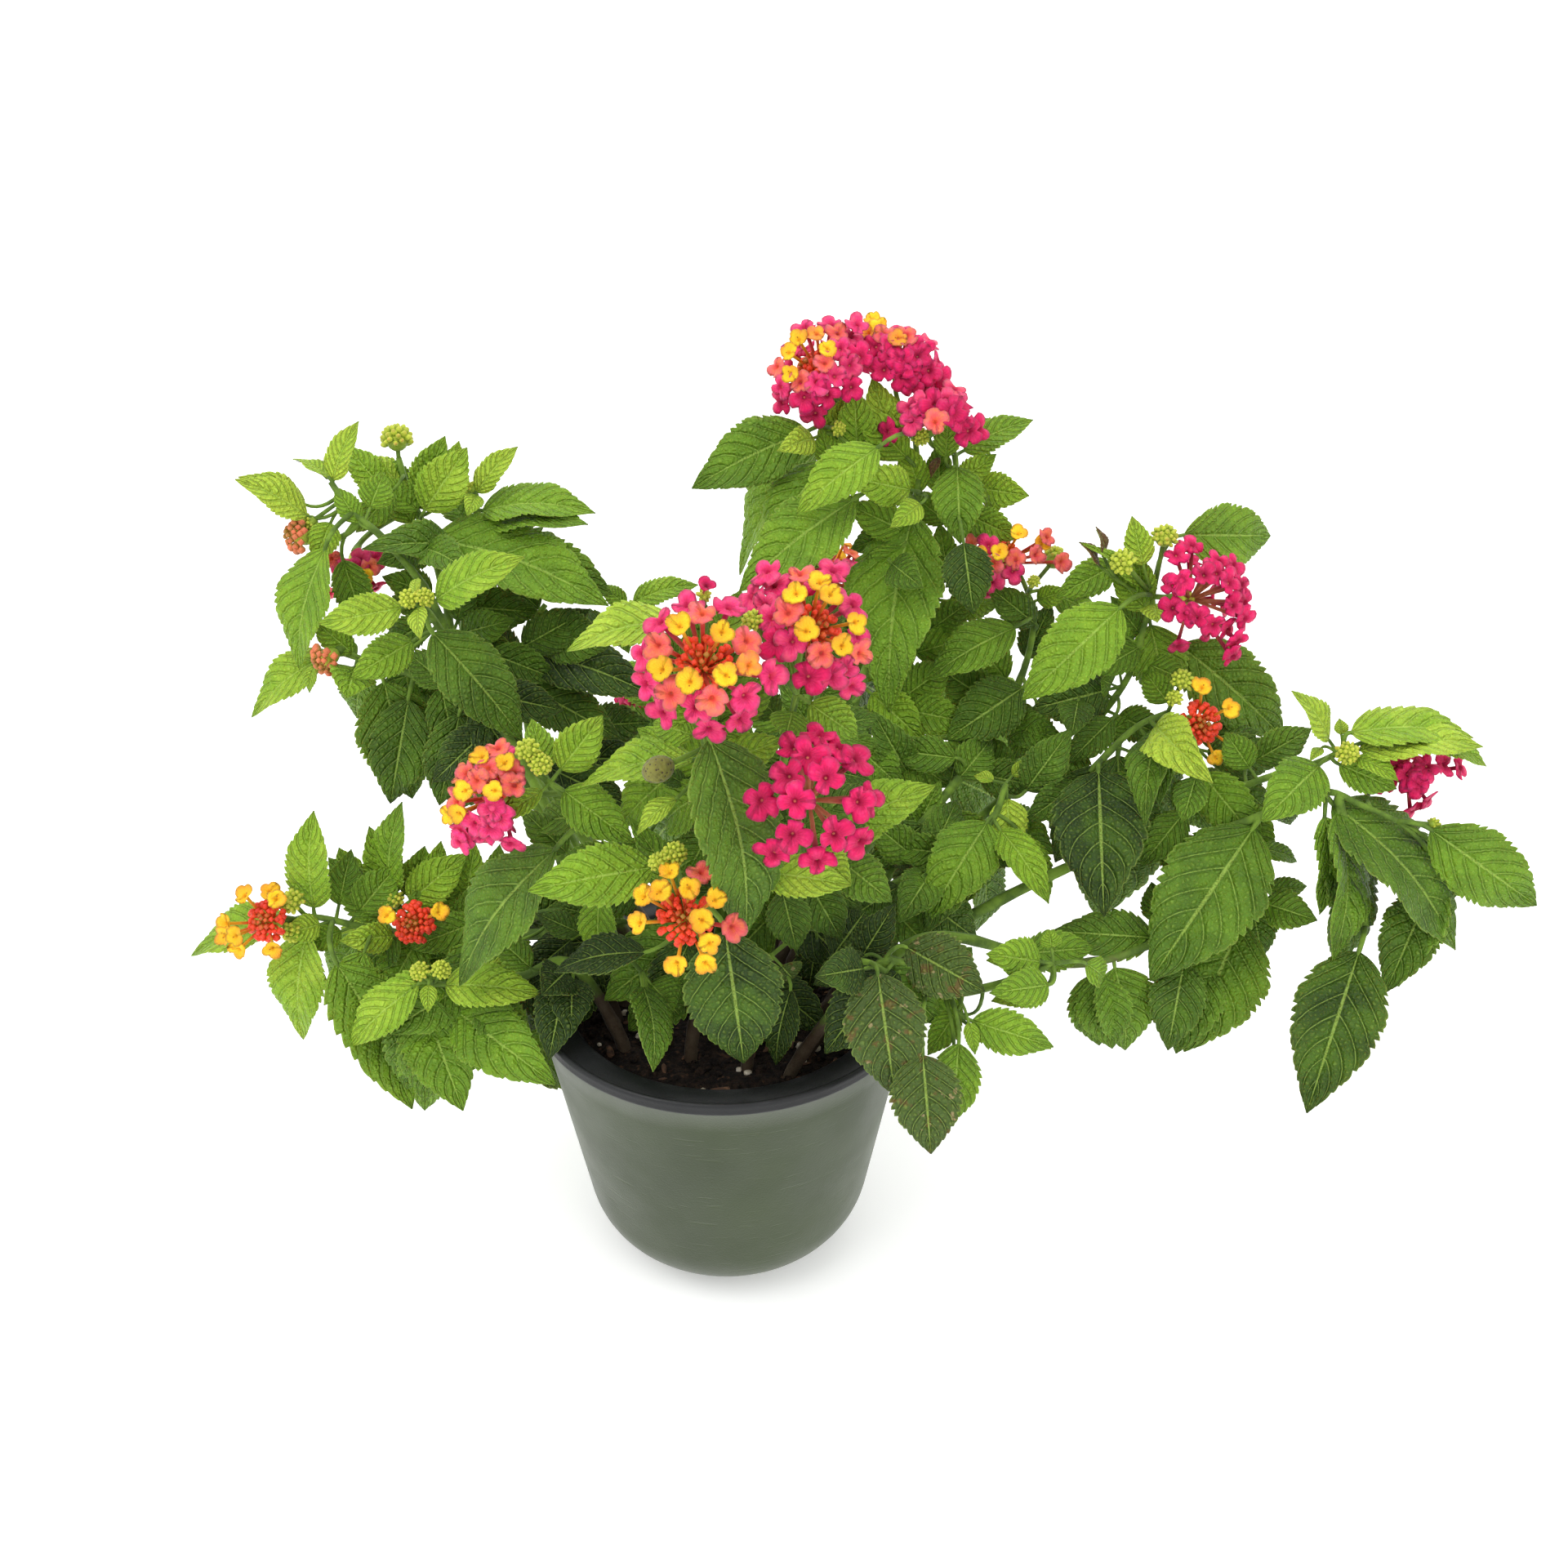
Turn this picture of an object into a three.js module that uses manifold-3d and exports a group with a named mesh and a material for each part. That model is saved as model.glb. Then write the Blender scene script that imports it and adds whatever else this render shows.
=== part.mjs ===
// A lantana in flower, growing in a plain moulded pot. Millimetres, +Z up, the origin at the middle of the
// pot's underside, the plant's front towards -Y. Every leafy branch is one solid, from its root in the soil to
// its leaves and green buds, and every flower head is one solid for each colour that holds together.
import * as THREE from "three";
import Module from "manifold-3d";

const wasm = await Module();
wasm.setup();

// ---- driving dimensions ----------------------------------------------------------------------------------
const POT = {
  height: 122, rimRadius: 77.5, neckRadius: 75.5, lipHeight: 5, footRadius: 26, cornerRadius: 34,
  wall: 2.6, floor: 4, sides: 24,
};
const DRAIN = { count: 5, radius: 4.5, ring: 16, sides: 8 };
const SOIL = { level: 104, gap: 0.35, lump: 1.6, outerRing: 48, innerRing: 22, sides: 24 };
const ROOT_HOLE = { radius: 5.3, sides: 4 };
const STEM = { rootRadius: 3, twigRadius: 2, tipRadius: 1.2, sides: 4, buried: 12, longestStep: 50, tension: 0.5 };
const STALK = { radius: 1.1, cupRadius: 2.4, sides: 4, straight: 12 };
const BLADE = {
  slender: 0.52, broad: 0.66, thick: 1.3, stalkWidth: 1.8, arch: 0.09, fold: 0.2, wave: 0.035, ripples: 9,
  widestEarly: 0.72, fullness: 0.9, firstTooth: 0.72, toothRun: 0.24, notch: 0.84,
  largeLength: 46, shortest: 24, sharpestBend: 0.25, heel: 6,
};
const GREEN_BUD = { knobs: 6, hollow: 0.78, height: 0.85, sunk: 1 };
const FLORET = { radius: 5.6, lobes: 4, notch: 0.72, lobeLift: 0.4, dish: 0.7, under: 1.7, neck: 1.3, sides: 3 };
const RED_BUDS = {
  knobs: 5, hollow: 0.78, crownRise: 0.3, crownReach: 0.34, peak: 0.4, width: { full: 5, young: 10, closed: 9 },
};
const CORE = { radius: 3.3, narrow: 0.7, below: 4.5, above: 4, split: 0.18, sides: 6 };
const HEAD_FORM = {
  seat: 0.35, lowRoot: 0.86, highRoot: 0.5, rootStep: 0.12, rootAside: 0.4,
  seed: 12.9, nod: 3.5, sway: 0.12, uneven: 0.03, twist: 2.4,
};
const SEAT_GAP = 0.3;
const CLEARANCE = {
  sample: 4, between: 3.6, own: 3.2, rootShare: 0.4, baseShare: 0.2, slide: 3, slides: 12, pot: 2.2,
  costs: { slide: 0.25, kin: 1, foreign: 1000 },
};

const ASKEW = new THREE.Vector3(0.1, 0.2, 1);

const COLOURS = {
  pot: 0x5f6b5c, soil: 0x2a211b, leaf: 0x5c9a2c, pink: 0xe0286f, yellow: 0xffc21c, red: 0xd8401c,
};

// ---- the drawing sheet -----------------------------------------------------------------------------------
// Places on the plant are given as they are seen on a sheet 1920 units wide that stands before a fixed eye:
// units to the right, units down, and the depth in millimetres behind the pot's axis.
const SHEET = { eye: new THREE.Vector3(0, -543, 509), pitch: 28.6, yaw: 2.5, reach: 2000, middle: 960 };
const pitch = THREE.MathUtils.degToRad(SHEET.pitch);
const yaw = THREE.MathUtils.degToRad(SHEET.yaw);
const AHEAD = new THREE.Vector3(
  Math.sin(yaw) * Math.cos(pitch), Math.cos(yaw) * Math.cos(pitch), -Math.sin(pitch));
const RIGHT = new THREE.Vector3(Math.cos(yaw), -Math.sin(yaw), 0);
const UPWARD = new THREE.Vector3().crossVectors(RIGHT, AHEAD);

/** The point at `depth` behind the pot's axis that is seen at (right, down) on the sheet. */
function onSheet([right, down, depth]) {
  const ray = AHEAD.clone()
    .addScaledVector(RIGHT, (right - SHEET.middle) / SHEET.reach)
    .addScaledVector(UPWARD, (SHEET.middle - down) / SHEET.reach);
  return SHEET.eye.clone().addScaledVector(ray, (depth - SHEET.eye.y) / ray.y);
}

/** Millimetres in one sheet unit at a point. */
function sheetScale(point) {
  return point.clone().sub(SHEET.eye).dot(AHEAD) / SHEET.reach;
}

// ---- the layout ------------------------------------------------------------------------------------------
/** A blade from its base to its tip on the sheet, its seen width, its depth, and how much deeper its tip is. */
function leaf(right, down, tipRight, tipDown, width, depth, lean) {
  return { right, down, tipRight, tipDown, width, depth, lean };
}

/** A green bud head on its own short stalk, with its radius in sheet units. */
function bud(right, down, depth, radius) {
  return { place: [right, down, depth], radius };
}

function shoot(stem, leaves, buds) {
  return { stem, leaves, buds };
}

/** A branch that stands in the soil at `root`, in millimetres from the pot's axis. */
function branch(name, root, shoots) {
  return { name, root, shoots };
}

/** A flower head: its kind, its middle on the sheet, its reach in millimetres, the way it faces, its branch. */
function head(name, kind, middle, reach, facing, on) {
  return { name, kind, middle, reach, facing: new THREE.Vector3(...facing).normalize(), on };
}

const BRANCHES = [
  branch("upper_left_tip_stem", [-30, 16], [
    shoot([[600, 860, 62], [560, 800, 76], [520, 720, 78],
      [470, 660, 80], [430, 625, 84], [405, 590, 88]], [
      leaf(376, 632, 288, 587, 42, 86, -8), leaf(408, 588, 439, 516, 34, 88, 6),
      leaf(402, 585, 359, 562, 14, 88, 10), leaf(405, 640, 384, 690, 40, 84, -10),
      leaf(432, 650, 470, 578, 44, 82, 10), leaf(398, 672, 366, 819, 60, 70, -8),
      leaf(420, 686, 448, 772, 50, 86, -4),
    ], [bud(380, 640, 84, 12)]),
  ]),
  branch("upper_left_top_stem", [-22, 30], [
    shoot([[610, 880, 84], [560, 800, 92], [545, 730, 100],
      [525, 660, 110], [500, 600, 118], [488, 560, 120]], [
      leaf(520, 625, 572, 548, 64, 108, 10), leaf(512, 625, 470, 585, 40, 112, 8),
      leaf(505, 590, 448, 558, 30, 118, 12), leaf(530, 660, 745, 741, 100, 104, -20),
      leaf(520, 672, 575, 700, 50, 92, -26), leaf(522, 668, 462, 690, 52, 96, -20),
    ], [bud(486, 537, 122, 19)]),
    shoot([[565, 790, 100], [575, 700, 106], [582, 640, 110], [583, 605, 112]], [
      leaf(584, 603, 634, 547, 34, 112, 6), leaf(583, 606, 572, 632, 26, 110, -14),
      leaf(590, 625, 729, 628, 48, 112, -6), leaf(590, 622, 560, 590, 26, 112, 14),
      leaf(570, 640, 545, 600, 40, 118, 20),
    ], [bud(577, 598, 114, 9)]),
  ]),
  branch("upper_left_front_stem", [-44, 12], [
    shoot([[610, 880, 50], [565, 810, 62], [545, 780, 60], [525, 750, 48], [512, 738, 42]], [
      leaf(534, 735, 642, 682, 58, 42, -4), leaf(492, 744, 390, 764, 54, 42, -4),
      leaf(513, 744, 515, 783, 24, 36, -14), leaf(508, 726, 512, 708, 14, 46, 10),
      leaf(530, 775, 640, 905, 88, 58, -6), leaf(505, 785, 430, 830, 54, 52, -10),
    ], [bud(500, 733, 38, 12), bud(520, 732, 38, 12)]),
  ]),
  branch("upper_left_low_stem", [-34, 2], [
    shoot([[640, 932, 36], [580, 862, 44], [520, 832, 58], [470, 815, 60], [420, 800, 58]], [
      leaf(405, 800, 308, 878, 46, 58, -6), leaf(440, 800, 424, 855, 60, 56, -8),
      leaf(470, 835, 505, 978, 100, 60, -4), leaf(500, 820, 545, 900, 40, 62, 4),
      leaf(385, 815, 379, 848, 16, 56, 0), leaf(415, 790, 400, 760, 24, 62, 8),
      leaf(450, 815, 438, 880, 50, 62, 14),
    ], []),
  ]),
  branch("left_back_stem", [-30, 40], [
    shoot([[680, 960, 86], [650, 900, 90], [640, 820, 92], [650, 770, 96], [668, 740, 100]], [
      leaf(640, 760, 747, 792, 72, 92, -8), leaf(650, 800, 800, 852, 74, 86, -10),
      leaf(640, 840, 760, 905, 70, 80, -10), leaf(635, 810, 560, 760, 60, 96, 6),
      leaf(660, 745, 610, 700, 50, 104, 16),
    ], []),
    shoot([[720, 930, 100], [700, 880, 115], [730, 800, 125], [755, 755, 128], [770, 740, 130]], [
      leaf(775, 738, 855, 716, 34, 130, 6), leaf(766, 742, 738, 716, 26, 130, 8),
      leaf(755, 757, 770, 800, 34, 124, -12), leaf(745, 770, 700, 760, 40, 128, 4),
    ], []),
  ]),
  branch("left_middle_stem", [-24, -14], [
    shoot([[810, 1100, 0], [760, 1040, -16], [705, 985, -24], [678, 962, -26], [655, 945, -28]], [
      leaf(664, 968, 610, 1012, 30, -30, -6), leaf(690, 968, 776, 1032, 64, -28, -10),
      leaf(680, 1040, 562, 1207, 84, -22, -6), leaf(672, 950, 738, 876, 58, -22, 8),
      leaf(668, 945, 651, 880, 44, -14, 12), leaf(735, 985, 712, 962, 34, -16, 10),
      leaf(735, 1092, 738, 1182, 46, -18, -4),
    ], [bud(646, 918, -30, 15), bud(662, 936, -34, 14)]),
  ]),
  branch("low_left_tip_stem", [-46, 0], [
    shoot([[700, 1150, 10], [560, 1150, 20], [460, 1138, 20], [400, 1125, 18], [375, 1122, 16]], [
      leaf(384, 1112, 384, 993, 58, 16, 8), leaf(376, 1140, 371, 1273, 64, 12, -6),
      leaf(352, 1128, 234, 1170, 50, 24, 4), leaf(415, 1108, 430, 1040, 44, 24, 10),
      leaf(440, 1150, 408, 1215, 40, 18, 10),
    ], [bud(357, 1104, 12, 15), bud(358, 1140, 10, 15)]),
  ]),
  branch("low_left_mid_stem", [-36, 24], [
    shoot([[690, 1120, 24], [600, 1140, 30], [520, 1130, 28], [488, 1115, 26]], [
      leaf(480, 1098, 572, 1045, 58, 26, 6), leaf(470, 1120, 410, 1217, 54, 22, -8),
      leaf(478, 1095, 492, 982, 46, 34, 12), leaf(500, 1090, 545, 1105, 50, 36, 10),
      leaf(520, 1120, 560, 1175, 50, 32, -4),
    ], [bud(460, 1117, 30, 14), bud(481, 1102, 26, 14)]),
  ]),
  branch("low_left_front_stem", [-42, -20], [
    shoot([[700, 1180, -16], [640, 1195, -14], [570, 1205, -16], [530, 1205, -20]], [
      leaf(512, 1205, 428, 1281, 58, -22, -6), leaf(545, 1206, 664, 1217, 60, -22, -6),
      leaf(525, 1206, 524, 1240, 22, -28, -8), leaf(556, 1236, 680, 1328, 88, -20, -32),
      leaf(520, 1232, 567, 1360, 92, -14, -28), leaf(500, 1215, 520, 1360, 76, 8, -30),
      leaf(600, 1186, 672, 1180, 46, 2, -8),
    ], [bud(514, 1189, -24, 12), bud(540, 1187, -24, 12)]),
  ]),
  branch("front_left_stem", [-6, -8], [
    shoot([[885, 1100, 0], [875, 1030, -20], [868, 930, -45], [862, 860, -60]], [
      leaf(828, 760, 694, 797, 52, -44, -2), leaf(875, 905, 916, 1146, 106, -62, -6),
      leaf(850, 930, 712, 962, 48, -34, 4), leaf(850, 900, 800, 885, 50, -30, 16),
      leaf(880, 935, 960, 905, 52, -32, 6), leaf(860, 930, 815, 1010, 50, -20, 12),
      leaf(828, 978, 780, 1022, 26, -50, -2),
    ], [bud(806, 945, -56, 12)]),
    shoot([[862, 880, -36], [862, 800, -32], [862, 742, -42]], [
    ], [bud(862, 728, -48, 9)]),
  ]),
  branch("front_right_stem", [6, 2], [
    shoot([[925, 1080, 10], [945, 1000, -2], [962, 920, -24], [975, 850, -36]], [
      leaf(968, 842, 962, 905, 52, -34, -10), leaf(985, 842, 1050, 902, 56, -30, -4),
      leaf(940, 1000, 900, 1060, 40, 0, 10),
    ], [bud(922, 760, -46, 14)]),
  ]),
  branch("front_pink_stem", [14, -14], [
    shoot([[945, 1130, 0], [960, 1090, -20], [985, 1040, -42]], [
      leaf(935, 1072, 1042, 1082, 54, -54, -6), leaf(1035, 1058, 1092, 1104, 62, -46, -6),
      leaf(1010, 1030, 1145, 962, 72, -10, 10),
    ], []),
  ]),
  branch("front_low_stem", [-14, -26], [
    shoot([[862, 1170, -20], [850, 1130, -30], [838, 1100, -44]], [
      leaf(800, 1062, 646, 1091, 80, -56, -8), leaf(888, 1140, 911, 1302, 126, -56, -8),
      leaf(790, 1070, 770, 1000, 44, -50, 16), leaf(850, 1150, 735, 1180, 60, -24, 2),
    ], [bud(826, 1045, -66, 15), bud(806, 1055, -68, 12)]),
    shoot([[800, 1215, -36], [785, 1190, -34]], [
      leaf(745, 1170, 832, 1243, 84, -24, -8), leaf(752, 1195, 800, 1312, 54, -44, -16),
    ], []),
  ]),
  branch("front_soil_stem", [8, -34], [
    shoot([[925, 1200, -34], [945, 1170, -36]], [
      leaf(960, 1132, 972, 1198, 48, -34, -2), leaf(968, 1212, 950, 1304, 48, -38, -8),
      leaf(1000, 1150, 990, 1215, 50, -6, 4),
    ], []),
  ]),
  branch("top_left_stem", [2, 22], [
    shoot([[960, 980, 50], [1000, 800, 90], [1010, 720, 106],
      [1015, 640, 114], [1018, 570, 118], [1005, 520, 118]], [
      leaf(968, 492, 847, 598, 80, 120, -4), leaf(1018, 536, 952, 552, 38, 108, -10),
      leaf(1005, 548, 905, 704, 54, 124, 4), leaf(1012, 566, 935, 690, 62, 116, -4),
      leaf(1040, 545, 1080, 590, 40, 108, -8), leaf(1010, 520, 1045, 480, 44, 134, 14),
    ], [bud(1027, 525, 108, 9)]),
  ]),
  branch("top_middle_stem", [14, 16], [
    shoot([[1000, 1000, 40], [1060, 820, 84], [1090, 740, 98],
      [1112, 650, 108], [1124, 590, 114], [1120, 530, 122]], [
      leaf(1045, 612, 905, 724, 88, 96, -12), leaf(1075, 548, 975, 630, 64, 104, -10),
      leaf(1115, 600, 1032, 583, 54, 96, -14), leaf(1127, 617, 1090, 646, 34, 92, -12),
      leaf(1122, 634, 1088, 872, 122, 88, -10), leaf(1100, 560, 1060, 520, 46, 126, 10),
      leaf(1088, 650, 1042, 672, 44, 98, 4), leaf(1075, 735, 1040, 760, 50, 90, 0),
      leaf(1092, 690, 1130, 720, 50, 90, -4),
    ], [bud(1127, 535, 110, 11)]),
  ]),
  branch("top_right_stem", [26, 18], [
    shoot([[1040, 1000, 44], [1110, 820, 92], [1150, 720, 110],
      [1165, 640, 116], [1172, 590, 118], [1168, 555, 120]], [
      leaf(1172, 572, 1176, 666, 68, 110, -14), leaf(1180, 552, 1265, 514, 42, 124, 4),
      leaf(1200, 598, 1260, 607, 48, 116, -8), leaf(1188, 632, 1248, 660, 44, 108, -8),
      leaf(1180, 665, 1192, 752, 66, 100, -6), leaf(1180, 540, 1220, 520, 40, 134, 10),
      leaf(1150, 560, 1140, 585, 12, 112, -4),
    ], [bud(1168, 546, 114, 7)]),
  ]),
  branch("right_mixed_stem", [34, 8], [
    shoot([[1130, 1010, 40], [1200, 920, 70], [1250, 830, 86], [1266, 760, 94], [1258, 725, 98]], [
      leaf(1243, 768, 1134, 832, 62, 84, -8), leaf(1252, 842, 1158, 906, 78, 80, -4),
      leaf(1270, 735, 1310, 722, 30, 98, -4), leaf(1268, 868, 1240, 932, 48, 76, -4),
      leaf(1290, 726, 1340, 750, 40, 104, 6),
    ], [bud(1292, 684, 108, 16), bud(1266, 712, 86, 8)]),
  ]),
  branch("right_pink_stem", [46, 8], [
    shoot([[1180, 1020, 56], [1300, 925, 68], [1375, 840, 68], [1400, 770, 66], [1412, 730, 66]], [
      leaf(1372, 744, 1252, 857, 90, 50, -10), leaf(1385, 746, 1428, 852, 74, 54, -8),
      leaf(1445, 790, 1572, 904, 96, 68, -6), leaf(1409, 698, 1417, 762, 40, 56, -8),
      leaf(1400, 692, 1386, 632, 38, 62, 6), leaf(1366, 644, 1322, 664, 22, 60, -4),
      leaf(1365, 692, 1294, 730, 48, 66, 0), leaf(1450, 655, 1556, 656, 80, 76, 4),
      leaf(1390, 850, 1264, 868, 78, 76, -2), leaf(1320, 858, 1312, 902, 46, 64, -4),
    ], [bud(1375, 688, 52, 16), bud(1426, 657, 64, 16)]),
  ]),
  branch("right_yellow_stem", [44, -16], [
    shoot([[1170, 1052, 26], [1300, 975, 42], [1385, 895, 50], [1430, 872, 50]], [
      leaf(1414, 880, 1484, 958, 72, 24, -12), leaf(1335, 884, 1346, 1126, 132, 44, -4),
      leaf(1406, 900, 1402, 1044, 64, 60, 4), leaf(1458, 948, 1540, 1040, 70, 62, 4),
      leaf(1430, 860, 1400, 820, 40, 56, 10),
    ], [bud(1448, 833, 44, 14), bud(1438, 855, 40, 10)]),
  ]),
  branch("right_small_stem", [24, -8], [
    shoot([[1060, 1110, 10], [1140, 1060, 16], [1210, 1010, 28], [1232, 960, 38]], [
      leaf(1235, 952, 1236, 1045, 50, 34, -8), leaf(1228, 955, 1193, 950, 16, 46, 2),
      leaf(1206, 984, 1134, 1128, 88, 30, -8), leaf(1200, 1040, 1196, 1140, 46, 44, 8),
      leaf(1172, 974, 1094, 1132, 92, 40, -2), leaf(1240, 950, 1262, 930, 20, 48, 4),
      leaf(1222, 1004, 1266, 1004, 44, 34, 6),
    ], []),
  ]),
  branch("far_right_stem", [40, -4], [
    shoot([[1200, 1115, 6], [1400, 1020, 22], [1530, 960, 22], [1610, 935, 14], [1645, 918, 10]], [
      leaf(1627, 906, 1582, 846, 30, 12, 0), leaf(1652, 908, 1818, 936, 70, 6, -6),
      leaf(1660, 918, 1712, 956, 28, 0, -8), leaf(1618, 916, 1604, 932, 14, 10, -6),
      leaf(1615, 937, 1545, 1006, 74, 8, -8), leaf(1655, 912, 1640, 880, 18, 14, 4),
      leaf(1560, 960, 1580, 1010, 44, 26, 6),
    ], [bud(1650, 922, 4, 14)]),
    shoot([[1420, 1040, 14], [1540, 1000, 8], [1620, 970, 2], [1665, 985, -4], [1710, 1005, -8]], [
      leaf(1520, 1012, 1408, 1201, 138, -2, -8), leaf(1628, 966, 1783, 1163, 96, -16, -12),
      leaf(1752, 1016, 1882, 1109, 92, -8, -8), leaf(1648, 1012, 1642, 1188, 78, -2, -16),
      leaf(1545, 1040, 1588, 1055, 24, 2, 4),
    ], [bud(1755, 1010, -8, 9)]),
    shoot([[1640, 985, -2], [1664, 1080, -12], [1672, 1135, -20]], [
      leaf(1740, 1095, 1688, 1214, 84, -14, -18), leaf(1664, 1165, 1600, 1363, 110, -30, -34),
    ], []),
  ]),
  branch("right_low_stem", [34, -26], [
    shoot([[1130, 1150, -24], [1300, 1180, -14], [1400, 1160, -8], [1470, 1120, -4], [1530, 1100, 0]], [
      leaf(1520, 1130, 1450, 1288, 124, -2, -20), leaf(1350, 1112, 1378, 1286, 82, 4, -24),
      leaf(1532, 1102, 1546, 1172, 52, 6, -6), leaf(1570, 1112, 1613, 1127, 52, 4, -2),
      leaf(1550, 1090, 1600, 1085, 30, 8, 4), leaf(1420, 1130, 1410, 1080, 40, 12, 12),
    ], []),
  ]),
  branch("low_right_stem", [26, -40], [
    shoot([[1080, 1180, -44], [1150, 1215, -46], [1225, 1205, -42], [1290, 1180, -38]], [
      leaf(1293, 1168, 1208, 1176, 42, -36, -4), leaf(1278, 1208, 1214, 1226, 40, -42, -4),
      leaf(1320, 1166, 1284, 1138, 28, -36, 4), leaf(1190, 1256, 1287, 1284, 44, -56, -6),
      leaf(1168, 1282, 1166, 1373, 48, -62, -8), leaf(1186, 1252, 1194, 1291, 20, -62, -6),
      leaf(1180, 1242, 1118, 1232, 44, -40, 2), leaf(1110, 1160, 1206, 1214, 84, -36, -4),
      leaf(1330, 1180, 1350, 1200, 34, -34, 0),
    ], []),
    shoot([[1020, 1180, -48], [1060, 1178, -50], [1085, 1190, -52]], [
      leaf(1075, 1192, 1096, 1342, 104, -58, -18), leaf(1130, 1292, 1140, 1413, 92, -66, -18),
      leaf(1020, 1170, 1060, 1115, 70, -30, 10),
    ], []),
  ]),
  branch("back_stem", [4, 40], [
    shoot([[960, 1000, 80], [1000, 860, 130], [1012, 770, 160], [1015, 720, 172]], [
      leaf(1005, 760, 925, 740, 70, 150, 10), leaf(1020, 760, 1100, 760, 70, 152, 14),
      leaf(1008, 800, 950, 840, 84, 150, 30), leaf(1015, 815, 1080, 850, 84, 152, 34),
      leaf(1005, 735, 960, 690, 60, 170, 26), leaf(1022, 735, 1075, 705, 60, 172, 26),
      leaf(1010, 870, 1010, 930, 90, 134, 50),
    ], []),
  ]),
  branch("back_left_stem", [-16, 44], [
    shoot([[880, 1040, 80], [850, 960, 120], [820, 890, 150], [805, 850, 165]], [
      leaf(815, 880, 740, 880, 70, 146, 20), leaf(835, 900, 890, 850, 80, 150, 30),
      leaf(830, 930, 770, 960, 84, 134, 24), leaf(808, 860, 760, 810, 56, 160, 20),
      leaf(820, 850, 860, 800, 56, 168, 24), leaf(850, 980, 800, 1040, 80, 120, 36),
    ], [bud(762, 838, 160, 14)]),
  ]),
  branch("back_right_stem", [24, 36], [
    shoot([[1040, 1060, 70], [1120, 980, 105], [1190, 910, 135], [1220, 880, 145]], [
      leaf(1180, 900, 1130, 850, 72, 140, 24), leaf(1200, 915, 1270, 900, 80, 130, 16),
      leaf(1160, 950, 1230, 985, 84, 120, 20), leaf(1140, 950, 1080, 930, 76, 120, 30),
      leaf(1215, 870, 1240, 830, 56, 146, 22), leaf(1100, 1000, 1050, 1060, 80, 100, 36),
    ], []),
  ]),

];

const HEADS = [
  head("front_left_head", "full", [860, 815, -68], 19, [-0.05, -0.8, 0.6], "front_left_stem"),
  head("front_right_head", "full", [993, 768, -44], 19, [0.15, -0.72, 0.68], "front_right_stem"),
  head("front_pink_head", "pink", [997, 980, -76], 20, [0.25, -0.85, 0.45], "front_pink_stem"),
  head("front_low_head", "young", [838, 1130, -80], 17, [-0.1, -0.92, 0.35], "front_low_stem"),
  head("top_left_head", "full", [1002, 452, 116], 19, [-0.3, -0.6, 0.74], "top_left_stem"),
  head("top_middle_head", "late", [1108, 436, 128], 19, [0.2, -0.5, 0.84], "top_middle_stem"),
  head("top_right_head", "spray", [1156, 510, 104], 16, [0.3, -0.5, 0.6], "top_right_stem"),
  head("left_head", "side", [598, 975, -28], 18, [-0.93, -0.3, 0.15], "left_middle_stem"),
  head("low_left_head", "young", [318, 1130, 6], 15, [-0.8, -0.5, 0.25], "low_left_tip_stem"),
  head("low_middle_head", "young", [504, 1134, 12], 15, [-0.2, -0.93, 0.3], "low_left_mid_stem"),
  head("right_mixed_head", "side", [1222, 690, 94], 15, [-0.5, -0.75, 0.3], "right_mixed_stem"),
  head("right_pink_head", "pink", [1473, 735, 52], 20, [0.78, -0.6, 0.15], "right_pink_stem"),
  head("right_yellow_head", "young", [1478, 888, 40], 16, [0.7, -0.7, 0.1], "right_yellow_stem"),
  head("far_right_head", "spray", [1735, 945, 26], 17, [0.8, -0.1, 0.3], "far_right_stem"),
  head("upper_left_head", "side", [436, 698, 98], 14, [0.1, -0.8, -0.3], "upper_left_top_stem"),
  head("upper_left_small_head", "closed", [358, 655, 78], 11, [-0.8, -0.3, 0.3], "upper_left_tip_stem"),
  head("left_small_head", "closed", [394, 812, 50], 11, [-0.5, -0.6, -0.2], "upper_left_low_stem"),
  head("back_head", "full", [1015, 700, 186], 19, [0.05, 0.6, 0.8], "back_stem"),
  head("back_left_head", "pink", [800, 850, 182], 19, [-0.3, 0.8, 0.45], "back_left_stem"),

];

// The rings of florets and buds of each kind of head.
const RINGS = {
  full: [
    ring(86, 6, "pink", 0.9), ring(60, 5, "pink", 0.97), ring(33, 4, "yellow", 1.14), ring(0, 1, "red", 0.7),
  ],
  pink: [ring(84, 6, "pink", 0.95), ring(52, 5, "pink", 1.02), ring(12, 1, "pink", 1.05)],
  late: [ring(82, 6, "pink", 0.92), ring(52, 4, "pink", 1), ring(20, 2, "pink", 1.1)],
  young: [ring(68, 6, "yellow", 1), ring(0, 1, "red", 0.66)],
  side: [ring(80, 5, "pink", 0.92), ring(42, 3, "yellow", 1.14), ring(8, 1, "yellow", 1.2)],
  spray: [ring(62, 5, "pink", 1), ring(25, 2, "pink", 1.05)],
  closed: [ring(0, 1, "red", 0.66)],
};

/** A ring of `count` florets or buds at `angle` degrees from the head's axis, its reach a share of the head's. */
function ring(angle, count, colour, reach) {
  return { angle, count, colour, reach };
}

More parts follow.
